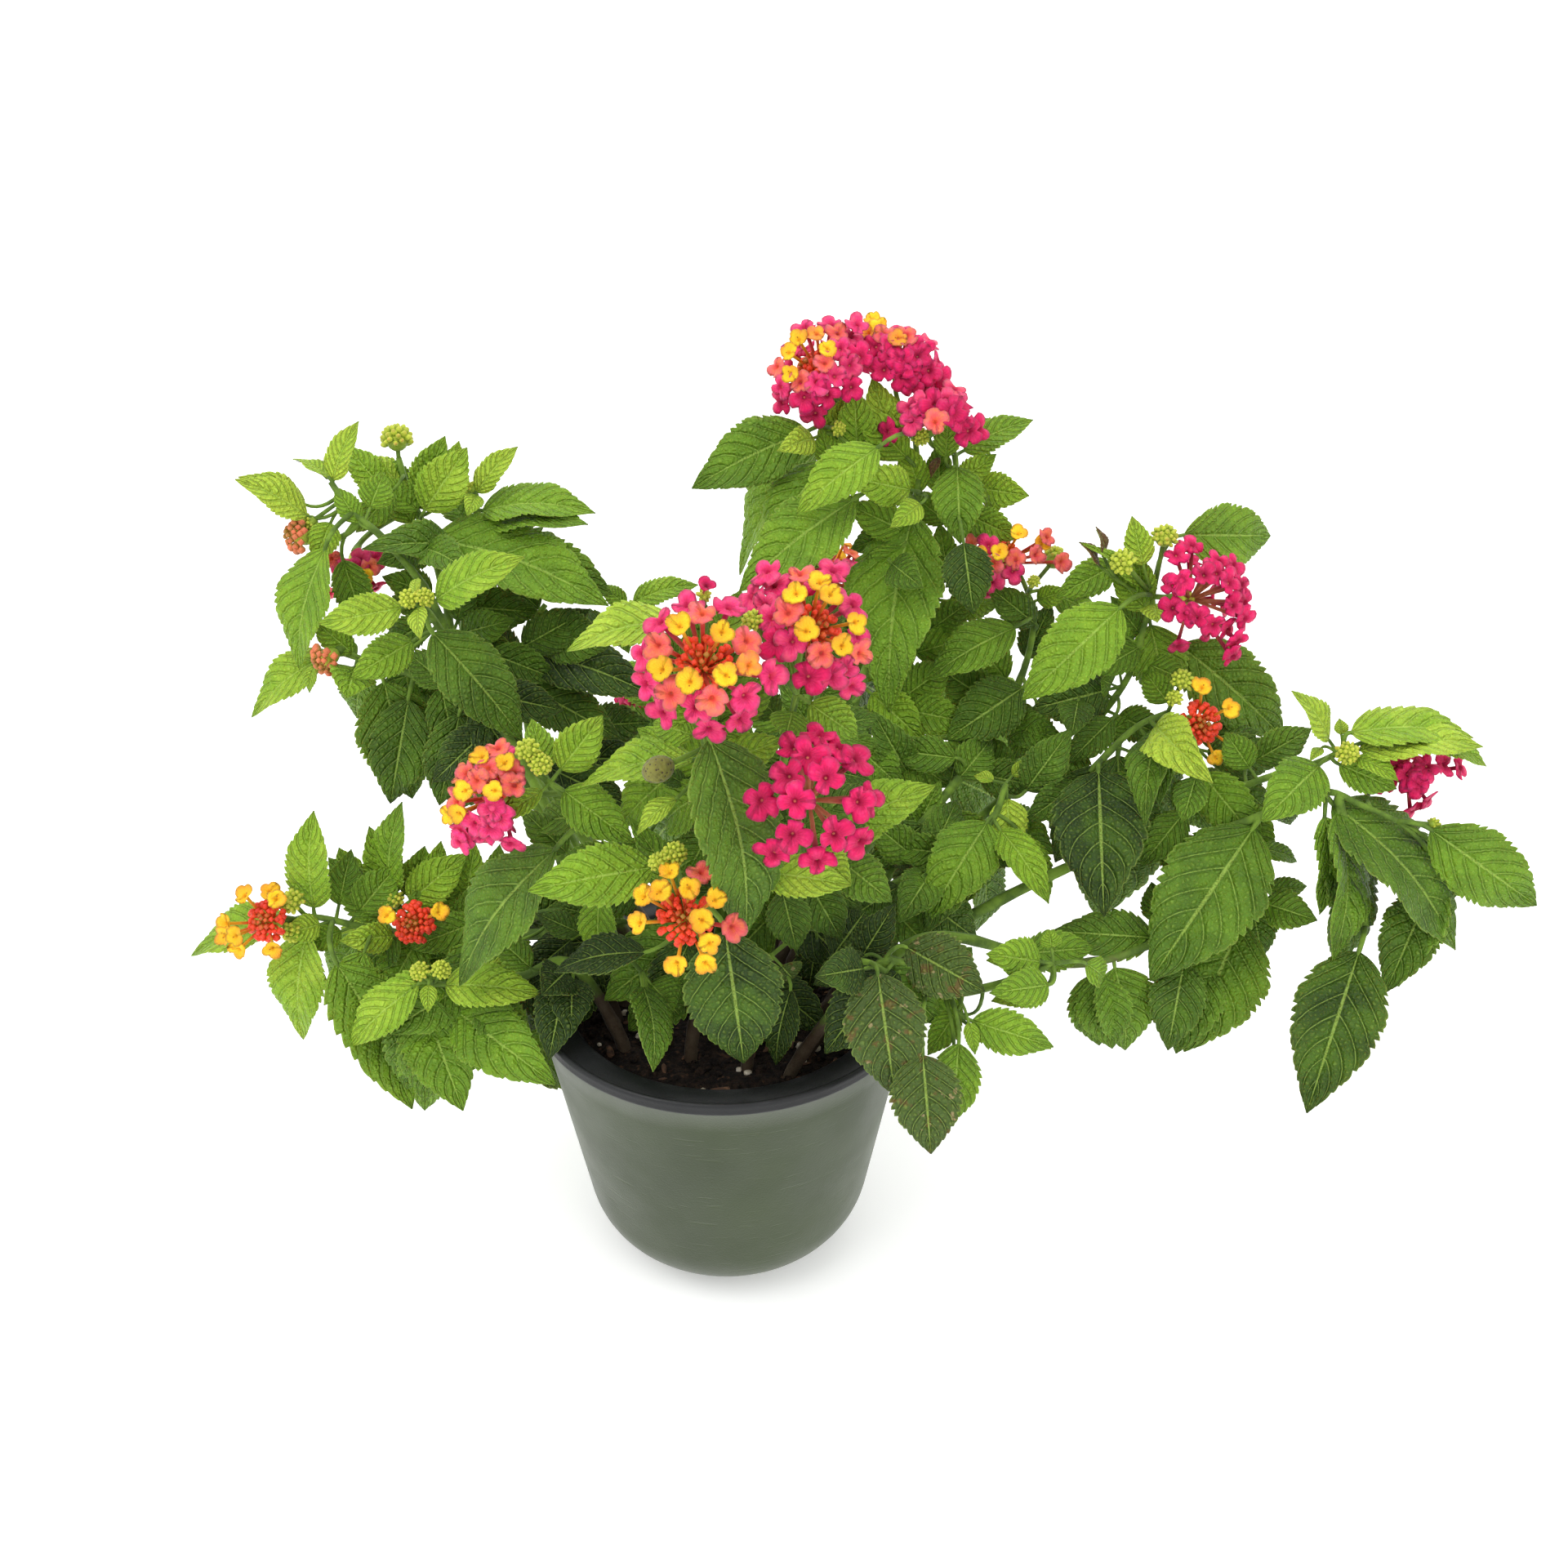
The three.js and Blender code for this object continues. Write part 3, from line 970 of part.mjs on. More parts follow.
function makePlant() {
  const crowd = new Crowd(CLEARANCE.between + 2 * STEM.rootRadius + 2);
  const places = new Map(HEADS.map((entry) => [entry.name, placeHead(entry)]));
  const grown = BRANCHES.map((entry) => {
    const lines = [];
    entry.shoots.forEach(({ stem }) => lines.push(stemPoints(entry.root, stem, lines)));
    const stalks = HEADS.filter(({ on }) => on === entry.name)
      .map((flower) => headStalk(flower, places.get(flower.name), lines));
    const buds = entry.shoots.flatMap(({ buds: list }) => list).map(({ place, radius }) => {
      const middle = onSheet(place);
      return { middle, radius: radius * sheetScale(middle), root: nearestOn(lines, middle) };
    });
    return { entry, lines, stalks, buds };
  });
  for (const { entry, lines, stalks, buds } of grown) {
    const samples = [
      ...lines.flatMap((line) => lineSamples(line, STEM.rootRadius / 2, true)),
      ...stalks.flatMap((line) => lineSamples(line, 0)),
      ...buds.map(({ middle, radius }) => ({ point: middle, radius, own: true })),
      ...buds.flatMap(({ middle, root }) => lineSamples([root, middle], 0)),
    ];
    samples.forEach((sample) => crowd.add(entry.name, sample));
  }
  for (const [name, { spots, seat }] of places) {
    crowd.add(name, { point: seat, radius: CORE.radius });
    for (const { root, middle, red } of spots) {
      crowd.add(name, { point: middle, radius: red ? RED_BUDS.width.full / 2 : FLORET.radius - 1 });
      lineSamples([root, middle], FLORET.neck / 2).forEach((sample) => crowd.add(name, sample));
    }
  }
  const meshes = [];
  for (const { entry, lines, stalks, buds } of grown) {
    const solids = lines.map((line, which) => tube(line, line.map((_, i) => THREE.MathUtils.lerp(
      which ? STEM.twigRadius : STEM.rootRadius, STEM.tipRadius, i / (line.length - 1))), STEM.sides));
    const stalkRadii = [STALK.radius, STALK.radius, STALK.cupRadius];
    stalks.forEach((line) => solids.push(tube(line, stalkRadii, STALK.sides)));
    buds.forEach(({ middle, radius, root }) => solids.push(makeGreenBud(middle, radius, root)));
    for (const leafEntry of entry.shoots.flatMap(({ leaves }) => leaves)) {
      const { blade, root, samples, count } = settleBlade(leafEntry, entry.name, lines, crowd);
      samples.forEach((sample) => crowd.add(entry.name, sample));
      if (blade.length > BLADE.shortest) {
        solids.push(makeLeaf(blade, root));
      }
    }
    meshes.push(meshOf(entry.name, joined(solids), "leaf"));
  }
  for (const entry of HEADS) {
    for (const [name, solid, colour] of makeHead(entry, places.get(entry.name))) {
      meshes.push(meshOf(name, solid, colour));
    }
  }
  return meshes;
}

const lantana = new THREE.Group();
lantana.add(meshOf("pot", makePot(), "pot"));
lantana.add(meshOf("soil", makeSoil(), "soil"));
lantana.add(...makePlant());

export default lantana;
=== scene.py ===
"""Dresses a packed lantana in a plain moulded pot with finer leaves, stems, flower heads, pot and soil.

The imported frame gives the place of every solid. The plant is laid out on a drawing sheet that stands before a
fixed eye, in the same units as the part's own source, so each finer piece lies where its solid lies.
Lengths are millimetres until a piece is made, and metres in its mesh.
"""

import logging
import math
import random
from dataclasses import dataclass, field
from enum import Enum

import bmesh
import bpy
import numpy as np
from mathutils import Matrix, Vector, noise
from mathutils.kdtree import KDTree

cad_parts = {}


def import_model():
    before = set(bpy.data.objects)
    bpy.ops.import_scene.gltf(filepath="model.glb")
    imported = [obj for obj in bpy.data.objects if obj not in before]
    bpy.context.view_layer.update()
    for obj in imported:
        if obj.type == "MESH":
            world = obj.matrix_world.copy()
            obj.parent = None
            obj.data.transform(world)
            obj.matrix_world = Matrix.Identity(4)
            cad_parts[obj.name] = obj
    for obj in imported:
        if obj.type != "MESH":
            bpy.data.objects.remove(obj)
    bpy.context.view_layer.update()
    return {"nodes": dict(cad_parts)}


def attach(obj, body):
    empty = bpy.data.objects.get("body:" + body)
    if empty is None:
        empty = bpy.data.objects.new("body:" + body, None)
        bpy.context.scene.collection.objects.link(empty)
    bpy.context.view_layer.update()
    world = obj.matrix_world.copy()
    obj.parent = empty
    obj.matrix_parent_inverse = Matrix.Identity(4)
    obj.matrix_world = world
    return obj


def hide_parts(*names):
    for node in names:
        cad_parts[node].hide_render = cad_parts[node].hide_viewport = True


LOG = logging.getLogger("lantana")
MM = 0.001
BODY = "root"
TURN = 2 * math.pi
Colour = tuple[float, float, float, float]
Stops = tuple[tuple[float, Colour], ...]
Ease = tuple[float, ...]
Profile = list[tuple[float, float]]


def srgb(red: int, green: int, blue: int) -> Colour:
    """A linear colour from its everyday 0 to 255 values, by the usual curve.

    Args:
        red: its red.
        green: its green.
        blue: its blue.

    Returns:
        The colour.
    """
    def linear(value: int) -> float:
        """One channel."""
        share = value / 255
        return share / 12.92 if share < 0.04045 else ((share + 0.055) / 1.055) ** 2.4
    return linear(red), linear(green), linear(blue), 1.0


# ---- the layout of the plant ---------------------------------------------------------------------
class BudLook(Enum):
    """What stands at the end of a short stalk in a leaf's axil."""

    GREEN = "green"
    SEED = "seed"
    WILTED = "wilted"


class HeadKind(Enum):
    """How far open a flower head is."""

    FULL = "full"
    PINK = "pink"
    LATE = "late"
    YOUNG = "young"
    SIDE = "side"
    SPRAY = "spray"
    CLOSED = "closed"


@dataclass(frozen=True)
class Leaf:
    """A blade on the sheet: base, tip, seen width, depth, how much deeper its tip is, and its tone.

    The tone runs from 0, dark, to 1, bright and young. 2 is an old grey leaf and 3 a withered one.
    Tones at or below 0 are painted shade: they darken leaves that lie deep in the plant's shade. Some
    shaded leaves have higher tones as painted light.
    """

    right: float
    down: float
    tip_right: float
    tip_down: float
    width: float
    depth: float
    lean: float
    tone: float


@dataclass(frozen=True)
class Bud:
    """A bud head on the sheet, with its radius in sheet units."""

    right: float
    down: float
    depth: float
    radius: float
    look: BudLook = BudLook.GREEN


@dataclass(frozen=True)
class Shoot:
    """A stem's places on the sheet, with what grows on it."""

    stem: list[tuple[float, float, float]]
    leaves: list[Leaf]
    buds: list[Bud]


@dataclass(frozen=True)
class Branch:
    """A leafy branch that stands in the soil at `root`, in millimetres from the pot's axis."""

    name: str
    root: tuple[float, float]
    shoots: list[Shoot]


@dataclass(frozen=True)
class Head:
    """A flower head: kind, middle on the sheet, reach in millimetres, the way it faces, and its branch.

    The florets on its near side have their places on the sheet, by age. The core is where its buds gather
    there. The size scales its florets.
    """

    name: str
    kind: HeadKind
    middle: tuple[float, float, float]
    reach: float
    facing: tuple[float, float, float]
    on: str
    core: tuple[float, float] | None = None
    florets: dict[float, list[tuple[float, float]]] = field(default_factory=dict)
    size: float = 1.0


YELLOW, ORANGE, CORAL, ROSE, MAGENTA = 0.1, 0.36, 0.6, 0.86, 1.0

BRANCHES: list[Branch] = [
    Branch("upper_left_tip_stem", (-30, 16), [
        Shoot([(600, 860, 62), (560, 800, 76), (520, 720, 78),
               (470, 660, 80), (430, 625, 84), (405, 590, 88)], [
            Leaf(376, 632, 288, 587, 42, 86, -8, 0.95), Leaf(408, 588, 439, 516, 34, 88, 6, 0.9),
            Leaf(402, 585, 359, 562, 14, 88, 10, 0.9), Leaf(405, 640, 384, 690, 40, 84, -10, 0.85),
            Leaf(432, 650, 470, 578, 44, 82, 10, 0.6), Leaf(398, 672, 366, 819, 60, 70, -8, 0.55),
            Leaf(420, 686, 448, 772, 50, 86, -4, 0.35),
        ], [Bud(380, 640, 84, 12)]),
    ]),
    Branch("upper_left_top_stem", (-22, 30), [
        Shoot([(610, 880, 84), (560, 800, 92), (545, 730, 100),
               (525, 660, 110), (500, 600, 118), (488, 560, 120)], [
            Leaf(520, 625, 572, 548, 64, 108, 10, 0.8), Leaf(512, 625, 470, 585, 40, 112, 8, 0.55),
            Leaf(505, 590, 448, 558, 30, 118, 12, 0.85), Leaf(530, 660, 745, 741, 100, 104, -20, 0.5),
            Leaf(520, 672, 575, 700, 50, 92, -26, 0.25), Leaf(522, 668, 462, 690, 52, 96, -20, 0.3),
        ], [Bud(486, 537, 122, 19)]),
        Shoot([(565, 790, 100), (575, 700, 106), (582, 640, 110), (583, 605, 112)], [
            Leaf(584, 603, 634, 547, 34, 112, 6, 0.9), Leaf(583, 606, 572, 632, 26, 110, -14, 0.9),
            Leaf(590, 625, 729, 628, 48, 112, -6, 0.5), Leaf(590, 622, 560, 590, 26, 112, 14, 0.7),
            Leaf(570, 640, 545, 600, 40, 118, 20, 0.5),
        ], [Bud(577, 598, 114, 9)]),
    ]),
    Branch("upper_left_front_stem", (-44, 12), [
        Shoot([(610, 880, 50), (565, 810, 62), (545, 780, 60), (525, 750, 48), (512, 738, 42)], [
            Leaf(534, 735, 642, 682, 58, 42, -4, 0.8), Leaf(492, 744, 390, 764, 54, 42, -4, 0.85),
            Leaf(513, 744, 515, 783, 24, 36, -14, 0.95), Leaf(508, 726, 512, 708, 14, 46, 10, 0.95),
            Leaf(530, 775, 640, 905, 88, 58, -6, 0.32), Leaf(505, 785, 430, 830, 54, 52, -10, 0.75),
        ], [Bud(500, 733, 38, 12), Bud(520, 732, 38, 12)]),
    ]),
    Branch("upper_left_low_stem", (-34, 2), [
        Shoot([(640, 932, 36), (580, 862, 44), (520, 832, 58), (470, 815, 60), (420, 800, 58)], [
            Leaf(405, 800, 308, 878, 46, 58, -6, 0.8), Leaf(440, 800, 424, 855, 60, 56, -8, 0.7),
            Leaf(470, 835, 505, 978, 100, 60, -4, 0.34), Leaf(500, 820, 545, 900, 40, 62, 4, 0.4),
            Leaf(385, 815, 379, 848, 16, 56, 0, 0.8), Leaf(415, 790, 400, 760, 24, 62, 8, 0.8),
            Leaf(450, 815, 438, 880, 50, 62, 14, 0.4),
        ], []),
    ]),
    Branch("left_back_stem", (-30, 40), [
        Shoot([(680, 960, 86), (650, 900, 90), (640, 820, 92), (650, 770, 96), (668, 740, 100)], [
            Leaf(640, 760, 747, 792, 72, 92, -8, 0.15), Leaf(650, 800, 800, 852, 74, 86, -10, 0.1),
            Leaf(640, 840, 760, 905, 70, 80, -10, 0.1), Leaf(635, 810, 560, 760, 60, 96, 6, 0.2),
            Leaf(660, 745, 610, 700, 50, 104, 16, 0.25),
        ], []),
        Shoot([(720, 930, 100), (700, 880, 115), (730, 800, 125), (755, 755, 128), (770, 740, 130)], [
            Leaf(775, 738, 855, 716, 34, 130, 6, 0.7), Leaf(766, 742, 738, 716, 26, 130, 8, 0.6),
            Leaf(755, 757, 770, 800, 34, 124, -12, 0.4), Leaf(745, 770, 700, 760, 40, 128, 4, 0.3),
        ], []),
    ]),
    Branch("left_middle_stem", (-24, -14), [
        Shoot([(810, 1100, 0), (760, 1040, -16), (705, 985, -24), (678, 962, -26), (655, 945, -28)], [
            Leaf(664, 968, 610, 1012, 30, -30, -6, 0.85), Leaf(690, 968, 776, 1032, 64, -28, -10, 0.6),
            Leaf(680, 1040, 562, 1207, 84, -22, -6, 0.3), Leaf(672, 950, 738, 876, 58, -22, 8, 0.8),
            Leaf(668, 945, 651, 880, 44, -14, 12, 0.7), Leaf(735, 985, 712, 962, 34, -16, 10, 0.7),
            Leaf(735, 1092, 738, 1182, 46, -18, -4, 0.5),
        ], [Bud(646, 918, -30, 15), Bud(662, 936, -34, 14)]),
    ]),
    Branch("low_left_tip_stem", (-46, 0), [
        Shoot([(700, 1150, 10), (560, 1150, 20), (460, 1138, 20), (400, 1125, 18), (375, 1122, 16)], [
            Leaf(384, 1112, 384, 993, 58, 16, 8, 0.8), Leaf(376, 1140, 371, 1273, 64, 12, -6, 0.8),
            Leaf(352, 1128, 234, 1170, 50, 24, 4, 0.7), Leaf(415, 1108, 430, 1040, 44, 24, 10, 0.35),
            Leaf(440, 1150, 408, 1215, 40, 18, 10, 0.45),
        ], [Bud(357, 1104, 12, 15), Bud(358, 1140, 10, 15)]),
    ]),
    Branch("low_left_mid_stem", (-36, 24), [
        Shoot([(690, 1120, 24), (600, 1140, 30), (520, 1130, 28), (488, 1115, 26)], [
            Leaf(480, 1098, 572, 1045, 58, 26, 6, 0.8), Leaf(470, 1120, 410, 1217, 54, 22, -8, 0.85),
            Leaf(478, 1095, 492, 982, 46, 34, 12, 0.55), Leaf(500, 1090, 545, 1105, 50, 36, 10, 0.55),
            Leaf(520, 1120, 560, 1175, 50, 32, -4, 0.3),
        ], [Bud(460, 1117, 30, 14), Bud(481, 1102, 26, 14)]),
    ]),
    Branch("low_left_front_stem", (-42, -20), [
        Shoot([(700, 1180, -16), (640, 1195, -14), (570, 1205, -16), (530, 1205, -20)], [
            Leaf(512, 1205, 428, 1281, 58, -22, -6, 0.74), Leaf(545, 1206, 664, 1217, 60, -22, -6, 0.74),
            Leaf(525, 1206, 524, 1240, 22, -28, -8, 0.95), Leaf(556, 1236, 680, 1328, 88, -20, -32, 0.45),
            Leaf(520, 1232, 567, 1360, 92, -14, -28, 0.42), Leaf(500, 1215, 520, 1360, 76, 8, -30, 0.5),
            Leaf(600, 1186, 672, 1180, 46, 2, -8, 0.75),
        ], [Bud(514, 1189, -24, 12), Bud(540, 1187, -24, 12)]),
    ]),
    Branch("front_left_stem", (-6, -8), [
        Shoot([(885, 1100, 0), (875, 1030, -20), (868, 930, -45), (862, 860, -60)], [
            Leaf(828, 760, 694, 797, 52, -44, -2, 0.8), Leaf(869, 905, 914, 1146, 120, -62, -6, 0.26),
            Leaf(850, 930, 712, 962, 48, -34, 4, 0.7), Leaf(850, 900, 800, 885, 50, -30, 16, 0.75),
            Leaf(880, 935, 960, 905, 52, -32, 6, 0.75), Leaf(860, 930, 815, 1010, 50, -20, 12, 0.5),
            Leaf(828, 978, 780, 1022, 26, -50, -2, 0.9),
        ], [Bud(806, 942, -56, 17, BudLook.SEED)]),
        Shoot([(862, 880, -36), (862, 800, -32), (862, 742, -42)], [
        ], [Bud(862, 728, -48, 9, BudLook.WILTED)]),
    ]),
    Branch("front_right_stem", (6, 2), [
        Shoot([(925, 1080, 10), (945, 1000, -2), (962, 920, -24), (975, 850, -36)], [
            Leaf(968, 842, 962, 905, 52, -34, -10, 0.55), Leaf(985, 842, 1050, 902, 56, -30, -4, 0.6),
            Leaf(940, 1000, 900, 1060, 40, 0, 10, 0.4),
        ], [Bud(922, 760, -46, 14)]),
    ]),
    Branch("front_pink_stem", (14, -14), [
        Shoot([(945, 1130, 0), (960, 1090, -20), (985, 1040, -42)], [
            Leaf(935, 1072, 1042, 1082, 54, -54, -6, 0.8), Leaf(1035, 1058, 1092, 1104, 62, -46, -6, 0.35),
            Leaf(1010, 1030, 1145, 962, 72, -10, 10, 0.7),
        ], []),
    ]),
    Branch("front_low_stem", (-14, -26), [
        Shoot([(862, 1170, -20), (850, 1130, -30), (838, 1100, -44)], [
            Leaf(800, 1062, 646, 1091, 80, -56, -8, 0.72), Leaf(888, 1140, 911, 1302, 126, -56, -8, 0.04),
            Leaf(790, 1070, 770, 1000, 44, -50, 16, 0.4), Leaf(850, 1150, 735, 1180, 60, -24, 2, 0.3),
        ], [Bud(826, 1045, -66, 15), Bud(806, 1055, -68, 12)]),
        Shoot([(800, 1215, -36), (785, 1190, -34)], [
            Leaf(745, 1170, 832, 1243, 84, -24, -8, 0.15), Leaf(752, 1195, 800, 1312, 54, -44, -16, 0.3),
        ], []),
    ]),
    # The dark leaves here, with tones below 0, are painted shade over the shaded mouth of the pot.
    Branch("front_soil_stem", (8, -34), [
        Shoot([(925, 1200, -34), (945, 1170, -36)], [
            Leaf(960, 1132, 972, 1198, 48, -34, -2, 2), Leaf(968, 1212, 950, 1304, 48, -38, -8, -0.1),
            Leaf(1000, 1150, 990, 1215, 50, -6, 4, -0.15),
        ], []),
    ]),
    Branch("top_left_stem", (2, 22), [
        Shoot([(960, 980, 50), (1000, 800, 90), (1010, 720, 106),
               (1015, 640, 114), (1018, 570, 118), (1005, 520, 118)], [
            Leaf(968, 492, 847, 598, 80, 120, -4, 0.4), Leaf(1018, 536, 952, 552, 38, 108, -10, 0.95),
            Leaf(1005, 548, 905, 704, 54, 124, 4, 0.6), Leaf(1012, 566, 935, 690, 62, 116, -4, 0.5),
            Leaf(1040, 545, 1080, 590, 40, 108, -8, 0.6), Leaf(1010, 520, 1045, 480, 44, 134, 14, 0.4),
        ], [Bud(1027, 525, 108, 9)]),
    ]),
    Branch("top_middle_stem", (14, 16), [
        Shoot([(1000, 1000, 40), (1060, 820, 84), (1090, 740, 98),
               (1112, 650, 108), (1124, 590, 114), (1120, 530, 122)], [
            Leaf(1045, 612, 905, 724, 88, 96, -12, 0.52), Leaf(1075, 548, 975, 630, 64, 104, -10, 0.7),
            Leaf(1115, 600, 1032, 583, 54, 96, -14, 0.85), Leaf(1127, 617, 1090, 646, 34, 92, -12, 0.9),
            Leaf(1122, 634, 1088, 872, 122, 88, -10, 0.55), Leaf(1100, 560, 1060, 520, 46, 126, 10, 0.5),
            Leaf(1088, 650, 1042, 672, 44, 98, 4, 0.4), Leaf(1075, 735, 1040, 760, 50, 90, 0, 0.2),
            Leaf(1092, 690, 1130, 720, 50, 90, -4, 0.3),
        ], [Bud(1127, 535, 110, 11)]),
    ]),
    Branch("top_right_stem", (26, 18), [
        Shoot([(1040, 1000, 44), (1110, 820, 92), (1150, 720, 110),
               (1165, 640, 116), (1172, 590, 118), (1168, 555, 120)], [
            Leaf(1172, 572, 1176, 666, 68, 110, -14, 0.5), Leaf(1180, 552, 1265, 514, 42, 124, 4, 0.5),
            Leaf(1200, 598, 1260, 607, 48, 116, -8, 0.75), Leaf(1188, 632, 1248, 660, 44, 108, -8, 0.7),
            Leaf(1180, 665, 1192, 752, 66, 100, -6, 0.15), Leaf(1180, 540, 1220, 520, 40, 134, 10, 0.4),
            Leaf(1150, 560, 1140, 585, 12, 112, -4, 3),
        ], [Bud(1168, 546, 114, 7)]),
    ]),
    Branch("right_mixed_stem", (34, 8), [
        Shoot([(1130, 1010, 40), (1200, 920, 70), (1250, 830, 86), (1266, 760, 94), (1258, 725, 98)], [
            Leaf(1243, 768, 1134, 832, 62, 84, -8, 0.35), Leaf(1252, 842, 1158, 906, 78, 80, -4, 0.18),
            Leaf(1270, 735, 1310, 722, 30, 98, -4, 0.7), Leaf(1268, 868, 1240, 932, 48, 76, -4, 0.35),
            Leaf(1290, 726, 1340, 750, 40, 104, 6, 0.5),
        ], [Bud(1292, 684, 108, 16), Bud(1266, 712, 86, 8)]),
    ]),
    Branch("right_pink_stem", (46, 8), [
        Shoot([(1180, 1020, 56), (1300, 925, 68), (1375, 840, 68), (1400, 770, 66), (1412, 730, 66)], [
            Leaf(1372, 744, 1252, 857, 90, 50, -10, 0.58), Leaf(1385, 746, 1428, 852, 74, 54, -8, 0.5),
            Leaf(1445, 790, 1572, 904, 96, 68, -6, 0.36), Leaf(1409, 698, 1417, 762, 40, 56, -8, 0.9),
            Leaf(1400, 692, 1386, 632, 38, 62, 6, 0.85), Leaf(1366, 644, 1322, 664, 22, 60, -4, 0.8),
            Leaf(1365, 692, 1294, 730, 48, 66, 0, 0.55), Leaf(1450, 655, 1556, 656, 80, 76, 4, 0.5),
            Leaf(1390, 850, 1264, 868, 78, 76, -2, 0.12), Leaf(1320, 858, 1312, 902, 46, 64, -4, 0.25),
        ], [Bud(1375, 688, 52, 16), Bud(1426, 657, 64, 16)]),
    ]),
    Branch("right_yellow_stem", (44, -16), [
        Shoot([(1170, 1052, 26), (1300, 975, 42), (1385, 895, 50), (1430, 872, 50)], [
            Leaf(1414, 880, 1484, 958, 72, 24, -12, 0.95), Leaf(1335, 884, 1346, 1126, 132, 44, -4, 0.15),
            Leaf(1406, 900, 1402, 1044, 64, 60, 4, 0.2), Leaf(1458, 948, 1540, 1040, 70, 62, 4, 0.3),
            Leaf(1430, 860, 1400, 820, 40, 56, 10, 0.5),
        ], [Bud(1448, 833, 44, 14), Bud(1438, 855, 40, 10)]),
    ]),
    Branch("right_small_stem", (24, -8), [
        Shoot([(1060, 1110, 10), (1140, 1060, 16), (1210, 1010, 28), (1232, 960, 38)], [
            Leaf(1235, 952, 1236, 1045, 50, 34, -8, 0.95), Leaf(1228, 955, 1193, 950, 16, 46, 2, 0.9),
            Leaf(1206, 984, 1134, 1128, 88, 30, -8, 0.5), Leaf(1200, 1040, 1196, 1140, 46, 44, 8, 0.35),
            Leaf(1172, 974, 1094, 1132, 92, 40, -2, 2), Leaf(1240, 950, 1262, 930, 20, 48, 4, 0.9),
            Leaf(1222, 1004, 1266, 1004, 44, 34, 6, 0.3),
        ], []),
    ]),
    Branch("far_right_stem", (40, -4), [
        Shoot([(1200, 1115, 6), (1400, 1020, 22), (1530, 960, 22), (1610, 935, 14), (1645, 918, 10)], [
            Leaf(1627, 906, 1582, 846, 30, 12, 0, 0.9), Leaf(1652, 903, 1816, 914, 52, 6, -6, 0.85),
            Leaf(1660, 918, 1712, 956, 28, 0, -8, 0.9), Leaf(1618, 916, 1604, 932, 14, 10, -6, 0.85),
            Leaf(1615, 937, 1545, 1006, 74, 8, -8, 0.5), Leaf(1655, 912, 1640, 880, 18, 14, 4, 0.85),
            Leaf(1560, 960, 1580, 1010, 44, 26, 6, 0.3),
        ], [Bud(1650, 922, 4, 14)]),
        Shoot([(1420, 1040, 14), (1540, 1000, 8), (1620, 970, 2), (1665, 985, -4), (1710, 1005, -8)], [
            Leaf(1520, 1012, 1408, 1201, 138, -2, -8, 0.3), Leaf(1628, 966, 1783, 1163, 96, -16, -12, 0.2),
            Leaf(1752, 1016, 1882, 1109, 92, -8, -8, 0.4), Leaf(1642, 1012, 1636, 1188, 68, -2, -16, 0.25),
            Leaf(1545, 1040, 1588, 1055, 24, 2, 4, 0.4), Leaf(1752, 1088, 1696, 1216, 76, -14, -18, 0.2),
        ], [Bud(1755, 1010, -8, 9)]),
        Shoot([(1640, 985, -2), (1664, 1080, -12), (1672, 1135, -20)], [
            Leaf(1664, 1165, 1600, 1363, 110, -30, -34, 0.12),
        ], []),
    ]),
    Branch("right_low_stem", (34, -26), [
        Shoot([(1130, 1150, -24), (1300, 1180, -14),
               (1400, 1160, -8), (1470, 1120, -4), (1530, 1100, 0)], [
            Leaf(1520, 1130, 1450, 1288, 124, -2, -20, 0.28), Leaf(1350, 1112, 1378, 1286, 82, 4, -24, 0.32),
            Leaf(1532, 1102, 1546, 1172, 52, 6, -6, 0.3), Leaf(1570, 1112, 1613, 1127, 52, 4, -2, 0.4),
            Leaf(1550, 1090, 1600, 1085, 30, 8, 4, 0.4), Leaf(1420, 1130, 1410, 1080, 40, 12, 12, 0.3),
        ], []),
    ]),
    Branch("low_right_stem", (26, -40), [
        Shoot([(1080, 1180, -44), (1150, 1215, -46), (1225, 1205, -42), (1290, 1180, -38)], [
            Leaf(1293, 1168, 1208, 1176, 42, -36, -4, 0.75), Leaf(1278, 1208, 1214, 1226, 40, -42, -4, 0.75),
            Leaf(1320, 1166, 1284, 1138, 28, -36, 4, 0.75), Leaf(1190, 1256, 1287, 1284, 44, -56, -6, 0.8),
            Leaf(1168, 1282, 1166, 1373, 48, -62, -8, 0.7), Leaf(1186, 1252, 1194, 1291, 20, -62, -6, 0.9),
            Leaf(1180, 1242, 1118, 1232, 44, -40, 2, 0.5), Leaf(1110, 1160, 1206, 1214, 84, -36, -4, 2),
            Leaf(1330, 1180, 1350, 1200, 34, -34, 0, 0.6),
        ], []),
        Shoot([(1020, 1180, -48), (1060, 1178, -50), (1085, 1190, -52)], [
            Leaf(1075, 1192, 1096, 1342, 104, -58, -18, 2), Leaf(1130, 1292, 1140, 1413, 92, -66, -18, 2),
            Leaf(1020, 1170, 1060, 1115, 70, -30, 10, 0.05),
        ], []),
    ]),
    Branch("back_stem", (4, 40), [
        Shoot([(960, 1000, 80), (1000, 860, 130), (1012, 770, 160), (1015, 720, 172)], [
            Leaf(1005, 760, 925, 740, 70, 150, 10, 0.3), Leaf(1020, 760, 1100, 760, 70, 152, 14, 0.4),
            Leaf(1008, 800, 950, 840, 84, 150, 30, 0.5), Leaf(1015, 815, 1080, 850, 84, 152, 34, 0.2),
            Leaf(1005, 735, 960, 690, 60, 170, 26, 0.6), Leaf(1022, 735, 1075, 705, 60, 172, 26, 0.7),
            Leaf(1010, 870, 1010, 930, 90, 134, 50, 0.3),
        ], []),
    ]),
    Branch("back_left_stem", (-16, 44), [
        Shoot([(880, 1040, 80), (850, 960, 120), (820, 890, 150), (805, 850, 165)], [
            Leaf(815, 880, 740, 880, 70, 146, 20, 0.4), Leaf(835, 900, 890, 850, 80, 150, 30, 0.5),
